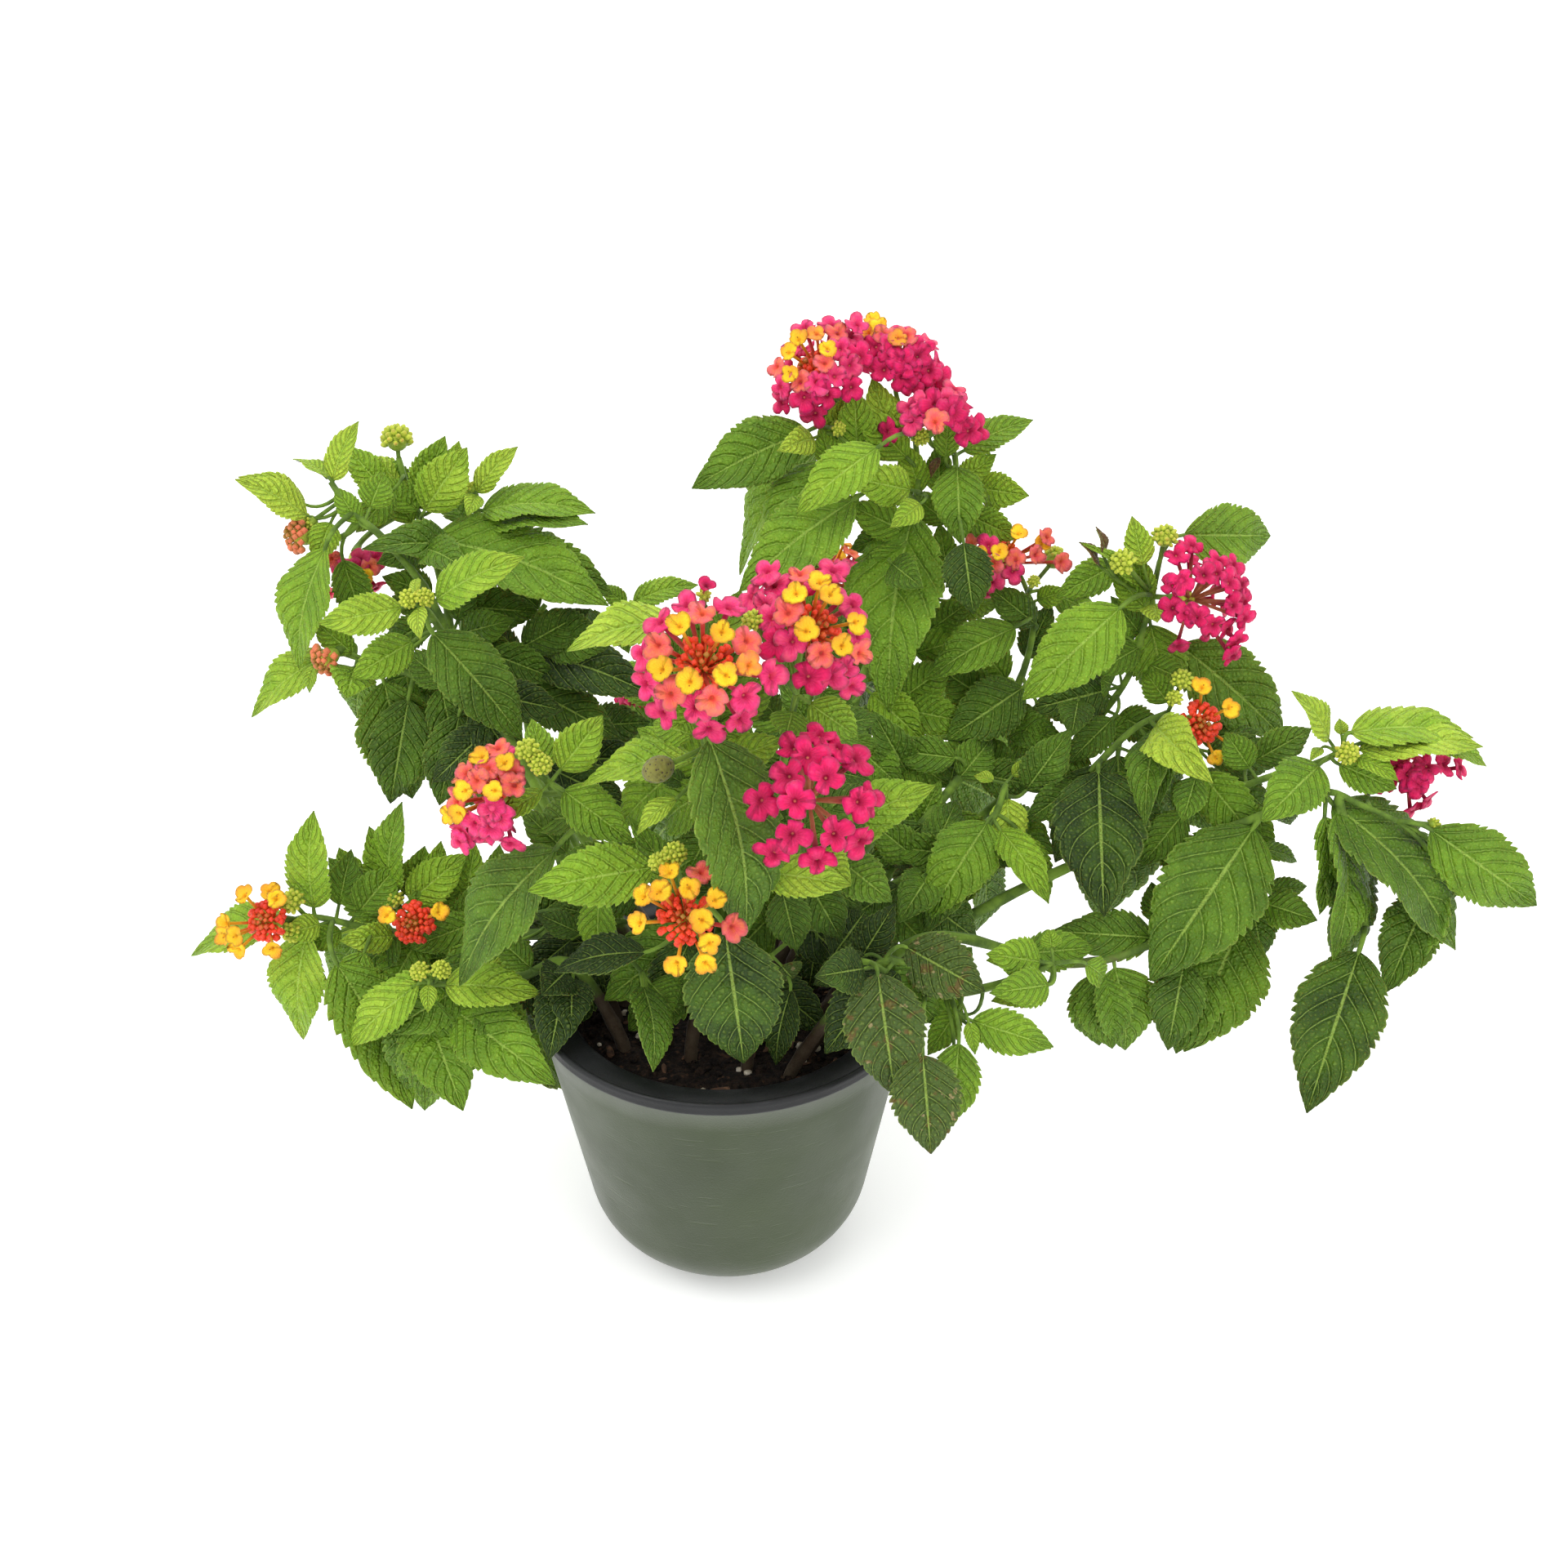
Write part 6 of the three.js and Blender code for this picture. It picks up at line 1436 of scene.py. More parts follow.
@dataclass(frozen=True)
class SeedFinish(Finish):
    """An old seed head: yellow-green, set with dark dots where florets have dropped."""

    skin: Colour = srgb(126, 126, 46)
    dot: Colour = srgb(58, 46, 22)
    dots: float = 800.0
    dot_edge: Ease = (0.18, 0.36, 1.0, 0.0)
    patches: float = 300.0
    patch_reach: float = 0.35
    depth: float = 0.0004

    def dress(self, craft: Craft, shader: bpy.types.Node) -> None:
        """Feeds the dotted skin.

        Args:
            craft: what builds in the material's tree.
            shader: its Principled shader.
        """
        gaps = craft.cells(self.dots, "F1")
        dots = craft.span(gaps, *self.dot_edge)
        patches = craft.shared(Effects.mottle(), Scale=self.patches, Low=0.0, High=self.patch_reach)
        craft.feed(shader.inputs["Base Color"], craft.mix(craft.plus(dots, patches), self.skin, self.dot))
        craft.feed(shader.inputs["Normal"], craft.bump(gaps, self.depth))


LEAF = LeafFinish("quilted_leaf", roughness=0.5, specular=0.28, soak=0.1)
STEM = StemFinish("green_stem", roughness=0.6, specular=0.25, sheen=0.06)
PETAL = PetalFinish("petal", roughness=0.6, specular=0.2, sheen=0.04, soak=0.25)
GREEN_BUDS = BudFinish("green_bud", roughness=0.6, sheen=0.06)
# The foot colour, on the bud feet and thin tubes in a head's shaded middle, is brightened as painted light.
RED_BUDS = BudFinish(
    "unopened_floret", roughness=0.5, soak=0.2, foot=srgb(255, 120, 60), middle=srgb(244, 72, 36),
    tip=srgb(226, 36, 26), blush=0.8)
FADED_BUDS = BudFinish(
    "closed_floret", roughness=0.6, soak=0.1, foot=srgb(196, 160, 84), middle=srgb(216, 122, 76),
    tip=srgb(208, 92, 64), blush=0.8)
POT_OUTSIDE = PotFinish("grey_green_plastic", roughness=0.5, specular=0.3, sheen=0.18)
POT_INSIDE = PotFinish(
    "black_plastic", roughness=0.42, specular=0.35, colour=srgb(18, 19, 20), worn=srgb(38, 40, 42), scuff=0.5)
SOIL = SoilFinish("potting_mix", roughness=0.95, specular=0.2)
PERLITE = SoilFinish(
    "perlite", roughness=0.9, dark=srgb(168, 156, 136), crumb=srgb(206, 198, 182), fibre=srgb(150, 134, 110),
    depth=0.0004)
BARK = SoilFinish(
    "bark_chip", roughness=0.9, dark=srgb(70, 48, 34), crumb=srgb(112, 80, 54), fibre=srgb(138, 104, 70),
    depth=0.0006)
SEED_SKIN = SeedFinish("seed_head", roughness=0.7, sheen=0.2)


# ---- places and curves ---------------------------------------------------------------------------
NEARLY_ALONG = 1e-6


def vec(*numbers: float) -> np.ndarray:
    """A point or direction."""
    return np.array(numbers, float)


def unit(direction: np.ndarray) -> np.ndarray:
    """The direction at length one."""
    return direction / np.linalg.norm(direction)


def across(axis: np.ndarray, hint: np.ndarray) -> tuple[np.ndarray, np.ndarray]:
    """Two unit directions across an axis.

    Args:
        axis: the axis, of length one.
        hint: the direction that the first one comes as near to as it can.

    Returns:
        Both directions, square to the axis and to each other.
    """
    first = hint - hint.dot(axis) * axis
    if first.dot(first) < NEARLY_ALONG:
        first = vec(axis[2], axis[0], axis[1])
        first -= first.dot(axis) * axis
    first = unit(first)
    return first, np.cross(axis, first)


def eased(value: np.ndarray, span: Ease) -> np.ndarray:
    """Values that rise evenly from 0 where the span starts to 1 where it ends."""
    return np.clip((value - span[0]) / (span[1] - span[0]), 0, 1)


def bowed(start: np.ndarray, bend: np.ndarray, end: np.ndarray, count: int) -> np.ndarray:
    """Points along a plain curve from `start` to `end` that heads for `bend` first."""
    shares = np.linspace(0, 1, count)[:, None]
    return (1 - shares) ** 2 * start + 2 * shares * (1 - shares) * bend + shares ** 2 * end


ASKEW = vec(0.1, 0.2, 1.0)


@dataclass(frozen=True)
class Sheet:
    """The drawing sheet, 1920 units wide, and the fixed eye that it stands before."""

    eye: tuple[float, float, float] = (0.0, -543.0, 509.0)
    pitch: float = math.radians(28.6)
    yaw: float = math.radians(2.5)
    reach: float = 2000.0
    middle: float = 960.0

    @property
    def ahead(self) -> np.ndarray:
        """The way the eye looks."""
        level = math.cos(self.pitch)
        return vec(math.sin(self.yaw) * level, math.cos(self.yaw) * level, -math.sin(self.pitch))

    @property
    def right(self) -> np.ndarray:
        """The way the sheet's units run to the right."""
        return vec(math.cos(self.yaw), -math.sin(self.yaw), 0)

    @property
    def upward(self) -> np.ndarray:
        """The way up on the sheet."""
        return np.cross(self.right, self.ahead)

    def at(self, right: float, down: float, depth: float) -> np.ndarray:
        """The point that is seen at a place on the sheet.

        Args:
            right: the place's units from the left edge.
            down: its units from the upper edge.
            depth: how far behind the pot's axis the point is, in millimetres.

        Returns:
            The point in millimetres.
        """
        ray = (self.ahead + self.right * (right - self.middle) / self.reach
               + self.upward * (self.middle - down) / self.reach)
        eye = vec(*self.eye)
        return eye + ray * (depth - eye[1]) / ray[1]

    def scale(self, point: np.ndarray) -> float:
        """Millimetres in one sheet unit at a point."""
        return float((point - vec(*self.eye)).dot(self.ahead)) / self.reach


SHEET = Sheet()


class Line:
    """A smooth line through knots, with the straight parts that its solid has."""

    longest_step = 50.0
    tension = 0.5
    samples_by_knot = 8

    def __init__(self, knots: list[np.ndarray]) -> None:
        """Keeps the knots and works out the coarse points.

        Args:
            knots: the points that the line goes through.
        """
        self.knots = np.array(knots)
        self.coarse = [self.knots[0]]
        for index in range(1, len(knots)):
            gap = np.linalg.norm(self.knots[index] - self.knots[index - 1])
            steps = max(1, math.floor(gap / self.longest_step + 0.5))
            for step in range(1, steps + 1):
                self.coarse.append(self.at((index - 1 + step / steps) / (len(knots) - 1)))

    def at(self, share: float) -> np.ndarray:
        """The point at a share of the way along the knots.

        Args:
            share: from 0 at the first knot to 1 at the last.

        Returns:
            The point.
        """
        knots = self.knots
        last = len(knots) - 1
        start = min(int(share * last), last - 1)
        part = share * last - start
        first, second = knots[start], knots[start + 1]
        before = knots[start - 1] if start else 2 * first - second
        after = knots[start + 2] if start + 2 <= last else 2 * second - first
        leave, reach = self.tension * (second - before), self.tension * (after - first)
        return (first + leave * part
                + (3 * (second - first) - 2 * leave - reach) * part ** 2
                + (2 * (first - second) + leave + reach) * part ** 3)

    def sampled(self, count: int) -> np.ndarray:
        """Points spread evenly by length.

        Args:
            count: how many points.

        Returns:
            One row for each point.
        """
        shares = np.linspace(0, 1, self.samples_by_knot * len(self.knots) + 1)
        dense = np.array([self.at(share) for share in shares])
        gone = np.concatenate([[0], np.cumsum(np.linalg.norm(np.diff(dense, axis=0), axis=1))])
        wanted = np.linspace(0, gone[-1], count)
        return np.stack([np.interp(wanted, gone, dense[:, axis]) for axis in range(3)], axis=1)


Lines = list[list[np.ndarray]]


def nearest_on(lines: Lines, point: np.ndarray) -> np.ndarray:
    """The place on any of the lines, past its first part, that is nearest to a point.

    Args:
        lines: the lines, each a list of points.
        point: the point.

    Returns:
        The place.
    """
    best, shortest = None, math.inf
    for line in lines:
        for start, end in zip(line[1:], line[2:]):
            part = end - start
            share = min(1.0, max(0.0, float((point - start).dot(part) / part.dot(part))))
            place = start + share * part
            gap = float(np.linalg.norm(place - point))
            if gap < shortest:
                best, shortest = place, gap
    return best


# ---- forms and pieces ----------------------------------------------------------------------------
@dataclass
class Form:
    """A shape made once and copied many times, each copy bent into its own place."""

    mesh: bpy.types.Mesh
    points: np.ndarray
    faces: int
    weld = 1e-5
    rows_by_tooth = 3

    @classmethod
    def kept(cls, name: str, shape: bmesh.types.BMesh) -> "Form":
        """Closes a bmesh into a form.

        Args:
            name: the form's name.
            shape: the bmesh, which is freed.

        Returns:
            The form.
        """
        bmesh.ops.recalc_face_normals(shape, faces=shape.faces)
        mesh = bpy.data.meshes.new(name)
        shape.to_mesh(mesh)
        shape.free()
        points = np.empty(3 * len(mesh.vertices), np.float32)
        mesh.vertices.foreach_get("co", points)
        return cls(mesh, points.reshape(-1, 3).astype(float), len(mesh.polygons))

    @classmethod
    def turned(cls, name: str, profile: Profile, steps: int) -> "Form":
        """A form that a profile sweeps round the Z axis.

        Args:
            name: the form's name.
            profile: its corners, each a radius and a height.
            steps: how many steps go all the way round.

        Returns:
            The form.
        """
        shape = bmesh.new()
        corners = [shape.verts.new((radius, 0, height)) for radius, height in profile]
        edges = [shape.edges.new(pair) for pair in zip(corners, corners[1:])]
        bmesh.ops.spin(
            shape, geom=corners + edges, axis=(0, 0, 1), cent=(0, 0, 0), angle=TURN, steps=steps,
            use_merge=True)
        bmesh.ops.remove_doubles(shape, verts=shape.verts, dist=cls.weld)
        return cls.kept(name, shape)

    @classmethod
    def tube(cls, rings: int, sides: int) -> "Form":
        """A closed tube along Z from 0 to 1, with a radius of 1.

        Args:
            rings: its rings of points, both ends included.
            sides: how many sides it has.

        Returns:
            The form.
        """
        name = f"tube_{rings}_{sides}"
        if name not in FORMS:
            shape = bmesh.new()
            bmesh.ops.create_cone(
                shape, cap_ends=True, segments=sides, radius1=1, radius2=1, depth=1,
                matrix=Matrix.Translation((0, 0, 0.5)))
            upright = [edge for edge in shape.edges if abs(edge.verts[0].co.z - edge.verts[1].co.z) > 0.5]
            bmesh.ops.subdivide_edges(shape, edges=upright, cuts=rings - 2)
            FORMS[name] = cls.kept(name, shape)
        return FORMS[name]

    @classmethod
    def blade(cls, teeth: int, columns: int) -> "Form":
        """A leaf's blade before it is bent: X along it from 0 to 1, Y across it, Z on its two faces.

        Args:
            teeth: the teeth on each margin.
            columns: its columns of faces across.

        Returns:
            The form.
        """
        name = f"blade_{teeth}_{columns}"
        if name not in FORMS:
            shape = bmesh.new()
            bmesh.ops.create_grid(shape, x_segments=cls.rows_by_tooth * teeth, y_segments=columns, size=1)
            bmesh.ops.solidify(shape, geom=shape.faces[:], thickness=1)
            low = min(vert.co.z for vert in shape.verts)
            high = max(vert.co.z for vert in shape.verts)
            for vert in shape.verts:
                vert.co.x = (vert.co.x + 1) / 2
                vert.co.z = 2 * (vert.co.z - low) / (high - low) - 1
            FORMS[name] = cls.kept(name, shape)
        return FORMS[name]

    def stood(self, middle: np.ndarray, facing: np.ndarray, wide: float, tall: float) -> np.ndarray:
        """The form's points with its axis turned to a direction.

        Args:
            middle: where its origin goes.
            facing: where its Z axis points, of length one.
            wide: its scale across that axis.
            tall: its scale along it.

        Returns:
            One row for each point.
        """
        first, second = across(facing, ASKEW)
        right, up, height = self.points.T
        level = np.outer(right * wide, first) + np.outer(up * wide, second)
        return middle + level + np.outer(height * tall, facing)


FORMS: dict[str, Form] = {}


class Piece:
    """A visible piece under construction, out of copies of forms."""

    def __init__(self, name: str, finishes: list[Finish]) -> None:
        """Starts empty.

        Args:
            name: the piece's name.
            finishes: the finishes that its forms can have.
        """
        self.name = name
        self.finishes = finishes
        self.shape = bmesh.new()
        self.points: list[np.ndarray] = []
        self.forms: list[np.ndarray] = []
        self.tints: list[np.ndarray] = []
        self.slots: list[np.ndarray] = []

    def add(self, form: Form, points: np.ndarray, finish: Finish, tint: tuple[float, float, float],
            local: np.ndarray | None = None) -> None:
        """Adds a copy of a form.

        Args:
            form: the shape that is copied.
            points: where its points go, in millimetres.
            finish: one of the piece's finishes.
            tint: three numbers for the finish, the same all over the copy.
            local: three numbers for each point that the finish reads, or none for the form's own points.
        """
        self.shape.from_mesh(form.mesh)
        self.points.append(points * MM)
        self.forms.append(form.points if local is None else local)
        self.tints.append(np.tile(np.array(tint, float), (len(points), 1)))
        self.slots.append(np.full(form.faces, self.finishes.index(finish)))

    def tube(self, path: np.ndarray, radii: np.ndarray, sides: int, finish: Finish,
             tint: tuple[float, float, float], squared: float = 0.0,
             local_z: tuple[float, float] | None = None) -> None:
        """Adds a closed tube along a path.

        Args:
            path: points spread along it.
            radii: its radius at each point.
            sides: how many sides it has.
            finish: its finish.
            tint: the finish's three numbers.
            squared: how far its four corners stand out, as a share of its radius.
            local_z: what the finish reads as height, at its start and its end.
        """
        form = Form.tube(len(path), sides)
        ring = np.rint(form.points[:, 2] * (len(path) - 1)).astype(int)
        ahead = np.gradient(path, axis=0)
        first = np.empty_like(path)
        second = np.empty_like(path)
        hint = ASKEW
        for index, direction in enumerate(ahead):
            first[index], second[index] = across(unit(direction), hint)
            hint = first[index]
        spin = np.arctan2(form.points[:, 1], form.points[:, 0])
        reach = np.asarray(radii)[ring] * (1 + squared * np.cos(4 * spin))
        points = (path[ring] + first[ring] * (reach * np.cos(spin))[:, None]
                  + second[ring] * (reach * np.sin(spin))[:, None])
        local = form.points.copy()
        if local_z is not None:
            local[:, 2] = local_z[0] + (local_z[1] - local_z[0]) * form.points[:, 2]
        self.add(form, points, finish, tint, local)

    def made(self, slot: str, *replaced: str, flat: bool = False) -> bpy.types.Object:
        """The finished piece.

        Args:
            slot: the name of a material slot, not used.
            replaced: the nodes that it stands for.
            flat: whether its faces stay flat.

        Returns:
            Its object, at the origin, riding on the body.
        """
        mesh = bpy.data.meshes.new(self.name)
        self.shape.to_mesh(mesh)
        self.shape.free()
        mesh.vertices.foreach_set("co", np.concatenate(self.points).astype(np.float32).ravel())
        for name, rows in (("form", self.forms), ("tint", self.tints)):
            layer = mesh.attributes.new(name, "FLOAT_VECTOR", "POINT")
            layer.data.foreach_set("vector", np.concatenate(rows).astype(np.float32).ravel())
        mesh.polygons.foreach_set("material_index", np.concatenate(self.slots).astype(np.int32))
        mesh.polygons.foreach_set("use_smooth", np.full(len(mesh.polygons), not flat))
        for finish in self.finishes:
            mesh.materials.append(finish.made())
        mesh.update()
        piece = bpy.data.objects.new(self.name, mesh)
        bpy.context.scene.collection.objects.link(piece)
        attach(piece, BODY)
        if replaced:
            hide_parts(*replaced)
        corners = sum(len(face.vertices) - 2 for face in mesh.polygons)
        LOG.info("%s: %d triangles, stands for %s", self.name, corners, ", ".join(replaced) or "nothing")
        return piece


# ---- leaves --------------------------------------------------------------------------------------
@dataclass(frozen=True)
class Blade:
    """A leaf's blade in place."""

    base: np.ndarray
    tip: np.ndarray
    length: float
    width: float
    along: np.ndarray
    facing: np.ndarray
    side: np.ndarray


@dataclass
class LeafForm:
    """The proportions of every leaf, and how a blade is laid out and bent.

    Shares run along the blade from 0 to 1, and across it from 0 on the midrib to 1 on the margin.
    """

    slender: float = 0.52
    broad: float = 0.66
    arch: float = 0.09
    fold: float = 0.2
    wave: float = 0.035
    ripples: float = 9.0
    ripple_starts: tuple[float, float] = (1.3, 3.9)
    widest_early: float = 0.72
    fullness: float = 0.9
    shortest: float = 24.0
    sharpest_bend: float = 0.25
    heel: float = 6.0
    slide: float = 3.0
    slides: int = 12
    thick: float = 0.55
    thinner_edge: float = 0.6
    least_half: float = 0.3
    match: float = 0.08

    tooth: float = 0.115
    tooth_lean: float = 0.3
    notch: float = 0.17
    shoulder: float = 0.5
    shoulder_height: float = 0.72
    toothed: Ease = (0.7, 1.0)
    teeth_start: Ease = (0.06, 0.14)
    teeth_stop: Ease = (1.0, 0.94)

    quilt: float = 0.019
    quilt_sunk: float = 0.3
    furrow_curve: float = 1.25
    swelling: float = 0.7
    valley: Ease = (0.0, 0.1)
    flat_margin: int = 4
    flat_ends: float = 0.5
    droops: tuple[float, float] = (-0.015, 0.02)
    curls: tuple[float, float] = (-0.05, 0.06)

    grids: tuple[tuple[float, int, int], ...] = ((44.0, 19, 10), (26.0, 14, 8), (0.0, 9, 6))
    shaded_grid: tuple[int, int] = (11, 6)
    old_tone: float = 0.35
    stalk_bend: float = 0.45
    stalk_points: int = 7
    rib_points: int = 13
    rib: tuple[float, float] = (0.03, 0.9)
    stalk_radius: float = 0.55
    stalk_growth: float = 0.008
    stalk_taper: tuple[float, float] = (1.15, 0.9)
    rib_taper: tuple[float, float] = (0.8, 0.22)
    stalk_sides: int = 6

    def placed(self, leaf: Leaf, depth: float) -> Blade:
        """The blade for a leaf that is slid to a depth.

        Args:
            leaf: its entry in the layout.
            depth: the depth of its base in millimetres.

        Returns:
            The blade. It leans away further than its entry says where it would be broader than a leaf can be.
        """
        base = SHEET.at(leaf.right, leaf.down, depth)
        flat = SHEET.at(leaf.tip_right, leaf.tip_down, depth)
        seen_width = leaf.width * SHEET.scale(base)
        seen_length = float(np.linalg.norm(base - flat))
        lean = leaf.lean
        if seen_width / self.broad > seen_length:
            swing = math.sqrt((seen_width / self.broad) ** 2 - seen_length ** 2)
            lean = math.copysign(max(abs(lean), swing), lean or 1)
        tip = SHEET.at(leaf.tip_right, leaf.tip_down, depth + lean)
        length = float(np.linalg.norm(tip - base))
        width = max(seen_width, self.slender * length)
        along = unit(tip - base)
        seen, side = across(along, unit(vec(*SHEET.eye) - base))
        roll = math.acos(min(1.0, seen_width / width))
        rolled = [seen * math.cos(roll) + way * side * math.sin(roll) for way in (1, -1)]
        facing = max(rolled, key=lambda way: way[2])
        return Blade(base, tip, length, width, along, facing, np.cross(facing, along))

    def straightened(self, blade: Blade, root: np.ndarray) -> Blade:
        """The blade started afresh at the root of its stalk, where that stalk would double back under it.

        Args:
            blade: the blade in place.
            root: where its stalk leaves the stem.

        Returns:
            The blade itself where its stalk leads into it, or else the new one.
        """
        if unit(blade.base - root).dot(blade.along) > self.sharpest_bend:
            return blade
        along = unit(blade.tip - root)
        base = root + self.heel * along
        facing, _ = across(along, blade.facing)
        length = float(np.linalg.norm(blade.tip - base))
        return Blade(base, blade.tip, length, blade.width, along, facing, np.cross(facing, along))

    def settled(self, leaf: Leaf, lines: Lines, solid: KDTree) -> tuple[Blade, np.ndarray, bool]:
        """The blade at the depth where the branch's solid has it.

        Args:
            leaf: its entry in the layout.
            lines: the branch's coarse lines.
            solid: the corners of the branch's solid, in metres.

        Returns:
            The blade, the root of its stalk, and whether the solid has this leaf.
        """
        kept = None
        for step in range(2 * self.slides + 1):
            slide = math.ceil(step / 2) * (1 if step % 2 else -1) * self.slide
            placed = self.placed(leaf, leaf.depth + slide)
            root = nearest_on(lines, placed.base - self.heel * placed.along)
            blade = self.straightened(placed, root)
            kept = kept or (blade, root)
            if blade.length > self.shortest and solid.find(Vector(blade.tip * MM))[2] < self.match * MM:
                return blade, root, True
        return *kept, False

    def outline(self, share: np.ndarray) -> np.ndarray:
        """Half the blade's width along it, as a share of its full half width."""
        return np.sin(math.pi * np.clip(share, 0, 1) ** self.widest_early) ** self.fullness

    def toothing(self, share: np.ndarray, way: np.ndarray, teeth: int) -> tuple[np.ndarray, np.ndarray]:
        """The teeth at places of the blade.

        Args:
            share: the places along it.
            way: the places across it.
            teeth: the teeth on each margin.

        Returns:
            How much each place belongs to the toothed margin, and how far out the tooth stands there. Both
            run from 0 to 1.
        """
        margin = eased(way, self.toothed) * eased(share, self.teeth_start) * eased(share, self.teeth_stop)
        phase = (share * teeth) % 1
        tooth = np.where(phase < self.notch, 0.0, np.where(phase < self.shoulder, self.shoulder_height, 1.0))
        return margin, tooth

    def quilting(self, share: np.ndarray, way: np.ndarray) -> np.ndarray:
        """The swollen fields between the veins.

        Args:
            share: places along the blade.
            way: the same places across it.

        Returns:
            How far each place stands out, for a blade with a length of 1.
        """
        furrows = share - LEAF.sweep * way ** self.furrow_curve
        swell = np.abs(np.sin(math.pi * LEAF.laterals * furrows)) ** self.swelling
        ends = np.sin(math.pi * np.clip(share, 0, 1)) ** self.flat_ends
        raised = eased(way, self.valley) * (1 - way ** self.flat_margin) * ends
        return self.quilt * (swell * raised - self.quilt_sunk)

    def bent(self, blade: Blade, form: Form, teeth: int, chance: random.Random) -> np.ndarray:
        """Where the points of a blade form go, in millimetres.

        Args:
            blade: the blade in place.
            form: its form.
            teeth: the teeth on each margin.
            chance: the leaf's own random numbers.

        Returns:
            One row for each of the form's points.
        """
        share, aside, face = form.points.T
        way = np.abs(aside)
        margin, tooth = self.toothing(share, way, teeth)
        along = share + margin * tooth * self.tooth_lean / teeth
        trim = 1 - self.tooth * (1 - tooth) * margin
        half = np.maximum(blade.width / 2 * self.outline(along), self.least_half) * aside * trim
        bow = np.sin(math.pi * share)
        droop = chance.uniform(*self.droops) * blade.length
        curl = chance.uniform(*self.curls) * np.sin(2 * math.pi * share)
        ripple = np.sin(self.ripples * share + np.where(aside > 0, *self.ripple_starts))
        lift = (blade.length * self.arch * bow + self.fold * np.abs(half)
                + self.wave * blade.length * way * self.outline(share) * ripple
                + blade.length * self.quilting(share, way) - droop * way ** 2 * bow
                + curl * half
                + face * self.thick / 2 * (1 - self.thinner_edge * way))
        return (blade.base + np.outer(blade.length * np.minimum(along, 1.0), blade.along)
                + np.outer(half, blade.side) + np.outer(lift, blade.facing))

    def midline(self, blade: Blade, shares: np.ndarray) -> np.ndarray:
        """Points just under the blade's middle.

        Args:
            blade: the blade in place.
            shares: how far along it each point is.

        Returns:
            One row for each point.
        """
        sunk = self.quilt_sunk * self.quilt
        lift = blade.length * (self.arch * np.sin(math.pi * shares) - sunk) - self.thick
        return blade.base + np.outer(blade.length * shares, blade.along) + np.outer(lift, blade.facing)

    def grow(self, piece: Piece, blade: Blade, root: np.ndarray, leaf: Leaf, chance: random.Random,
             shaded: bool = False) -> None:
        """Adds the blade, its stalk and the rib under it to a piece.

        Args:
            piece: the branch under construction.
            blade: the blade in place.
            root: where its stalk leaves the stem.
            leaf: its entry in the layout.
            chance: the branch's random numbers.
            shaded: whether it stands behind others and needs fewer faces.
        """
        fitting = [grid[1:] for grid in self.grids if blade.length > grid[0]]
        teeth, columns = self.shaded_grid if shaded else fitting[0]
        form = Form.blade(teeth, columns)
        age = max(leaf.tone - 1.0, 0.0)
        tone = self.old_tone if age else min(leaf.tone, 1.0)
        piece.add(form, self.bent(blade, form, teeth, chance), LEAF, (tone, chance.random(), age))
        bend = blade.base - blade.along * self.stalk_bend * np.linalg.norm(blade.base - root)
        stalk = bowed(root, bend, blade.base, self.stalk_points)
        path = np.concatenate([stalk, self.midline(blade, np.linspace(*self.rib, self.rib_points))])
        taper = np.linspace(*self.stalk_taper, self.stalk_points)
        taper = np.concatenate([taper, np.linspace(*self.rib_taper, self.rib_points)])
        radii = taper * (self.stalk_radius + self.stalk_growth * blade.length)
        piece.tube(path, radii, self.stalk_sides, STEM, (0.0, chance.random(), 0.0))


LEAVES = LeafForm()


# ---- branches ------------------------------------------------------------------------------------
@dataclass
class StemForm:
    """The proportions of stems and stalks."""

    root_radius: float = 3.0
    twig_radius: float = 2.0
    tip_radius: float = 1.2
    buried: float = 12.0
    soil_level: float = 104.0
    straight: float = 12.0
    stalk_radius: float = 1.1
    cup_radius: float = 2.2
    stalk_points: int = 14
    cup_points: int = 4
    stalk_squared: float = 0.08
    long: float = 150.0
    long_points: int = 60
    short_points: int = 36
    fine_points: int = 60
    knee_every: float = 26.0
    knee: float = 0.16
    knee_length: float = 2.6
    end_taper: float = 0.9
    sides: int = 8
    squared: float = 0.09

    def line(self, root: tuple[float, float], stem: list[tuple[float, float, float]], lines: Lines) -> Line:
        """The line of a shoot, from the soil, or from the nearest place on the branch's other lines.

        Args:
            root: where the branch stands in the soil.
            stem: the shoot's knots on the sheet, with their depth.
            lines: the branch's coarse lines so far.

        Returns:
            The line.
        """
        places = [SHEET.at(*place) for place in stem]
        if lines:
            return Line([nearest_on(lines, places[0]), *places])
        low, high = self.soil_level - self.buried, self.soil_level + self.buried / 2
        return Line([vec(*root, low), vec(*root, high), *places])

    def draw(self, piece: Piece, line: Line, first: bool, chance: random.Random) -> None:
        """Adds a stem, thicker at its knees.

        Args:
            piece: the branch under construction.
            line: the stem's line.
            first: whether it is the shoot that stands in the soil.
            chance: the branch's random numbers.
        """
        length = float(np.linalg.norm(np.diff(line.knots, axis=0), axis=1).sum())
        count = self.long_points if length > self.long else self.short_points
        path = line.sampled(count)
        shares = np.linspace(0, 1, count)
        start = self.root_radius if first else self.twig_radius
        radii = start + (self.tip_radius - start) * shares
        for place in range(1, round(length / self.knee_every)):
            beside = (shares * length - self.knee_every * place) / self.knee_length
            radii = radii * (1 + self.knee * np.exp(-beside ** 2))
        if first:
            radii[-1] = radii[-2] * self.end_taper
        tint = (1.0 if first else 0.0, chance.random(), 0.0)
        piece.tube(path, radii, self.sides, STEM, tint, squared=self.squared)


STEMS = StemForm()


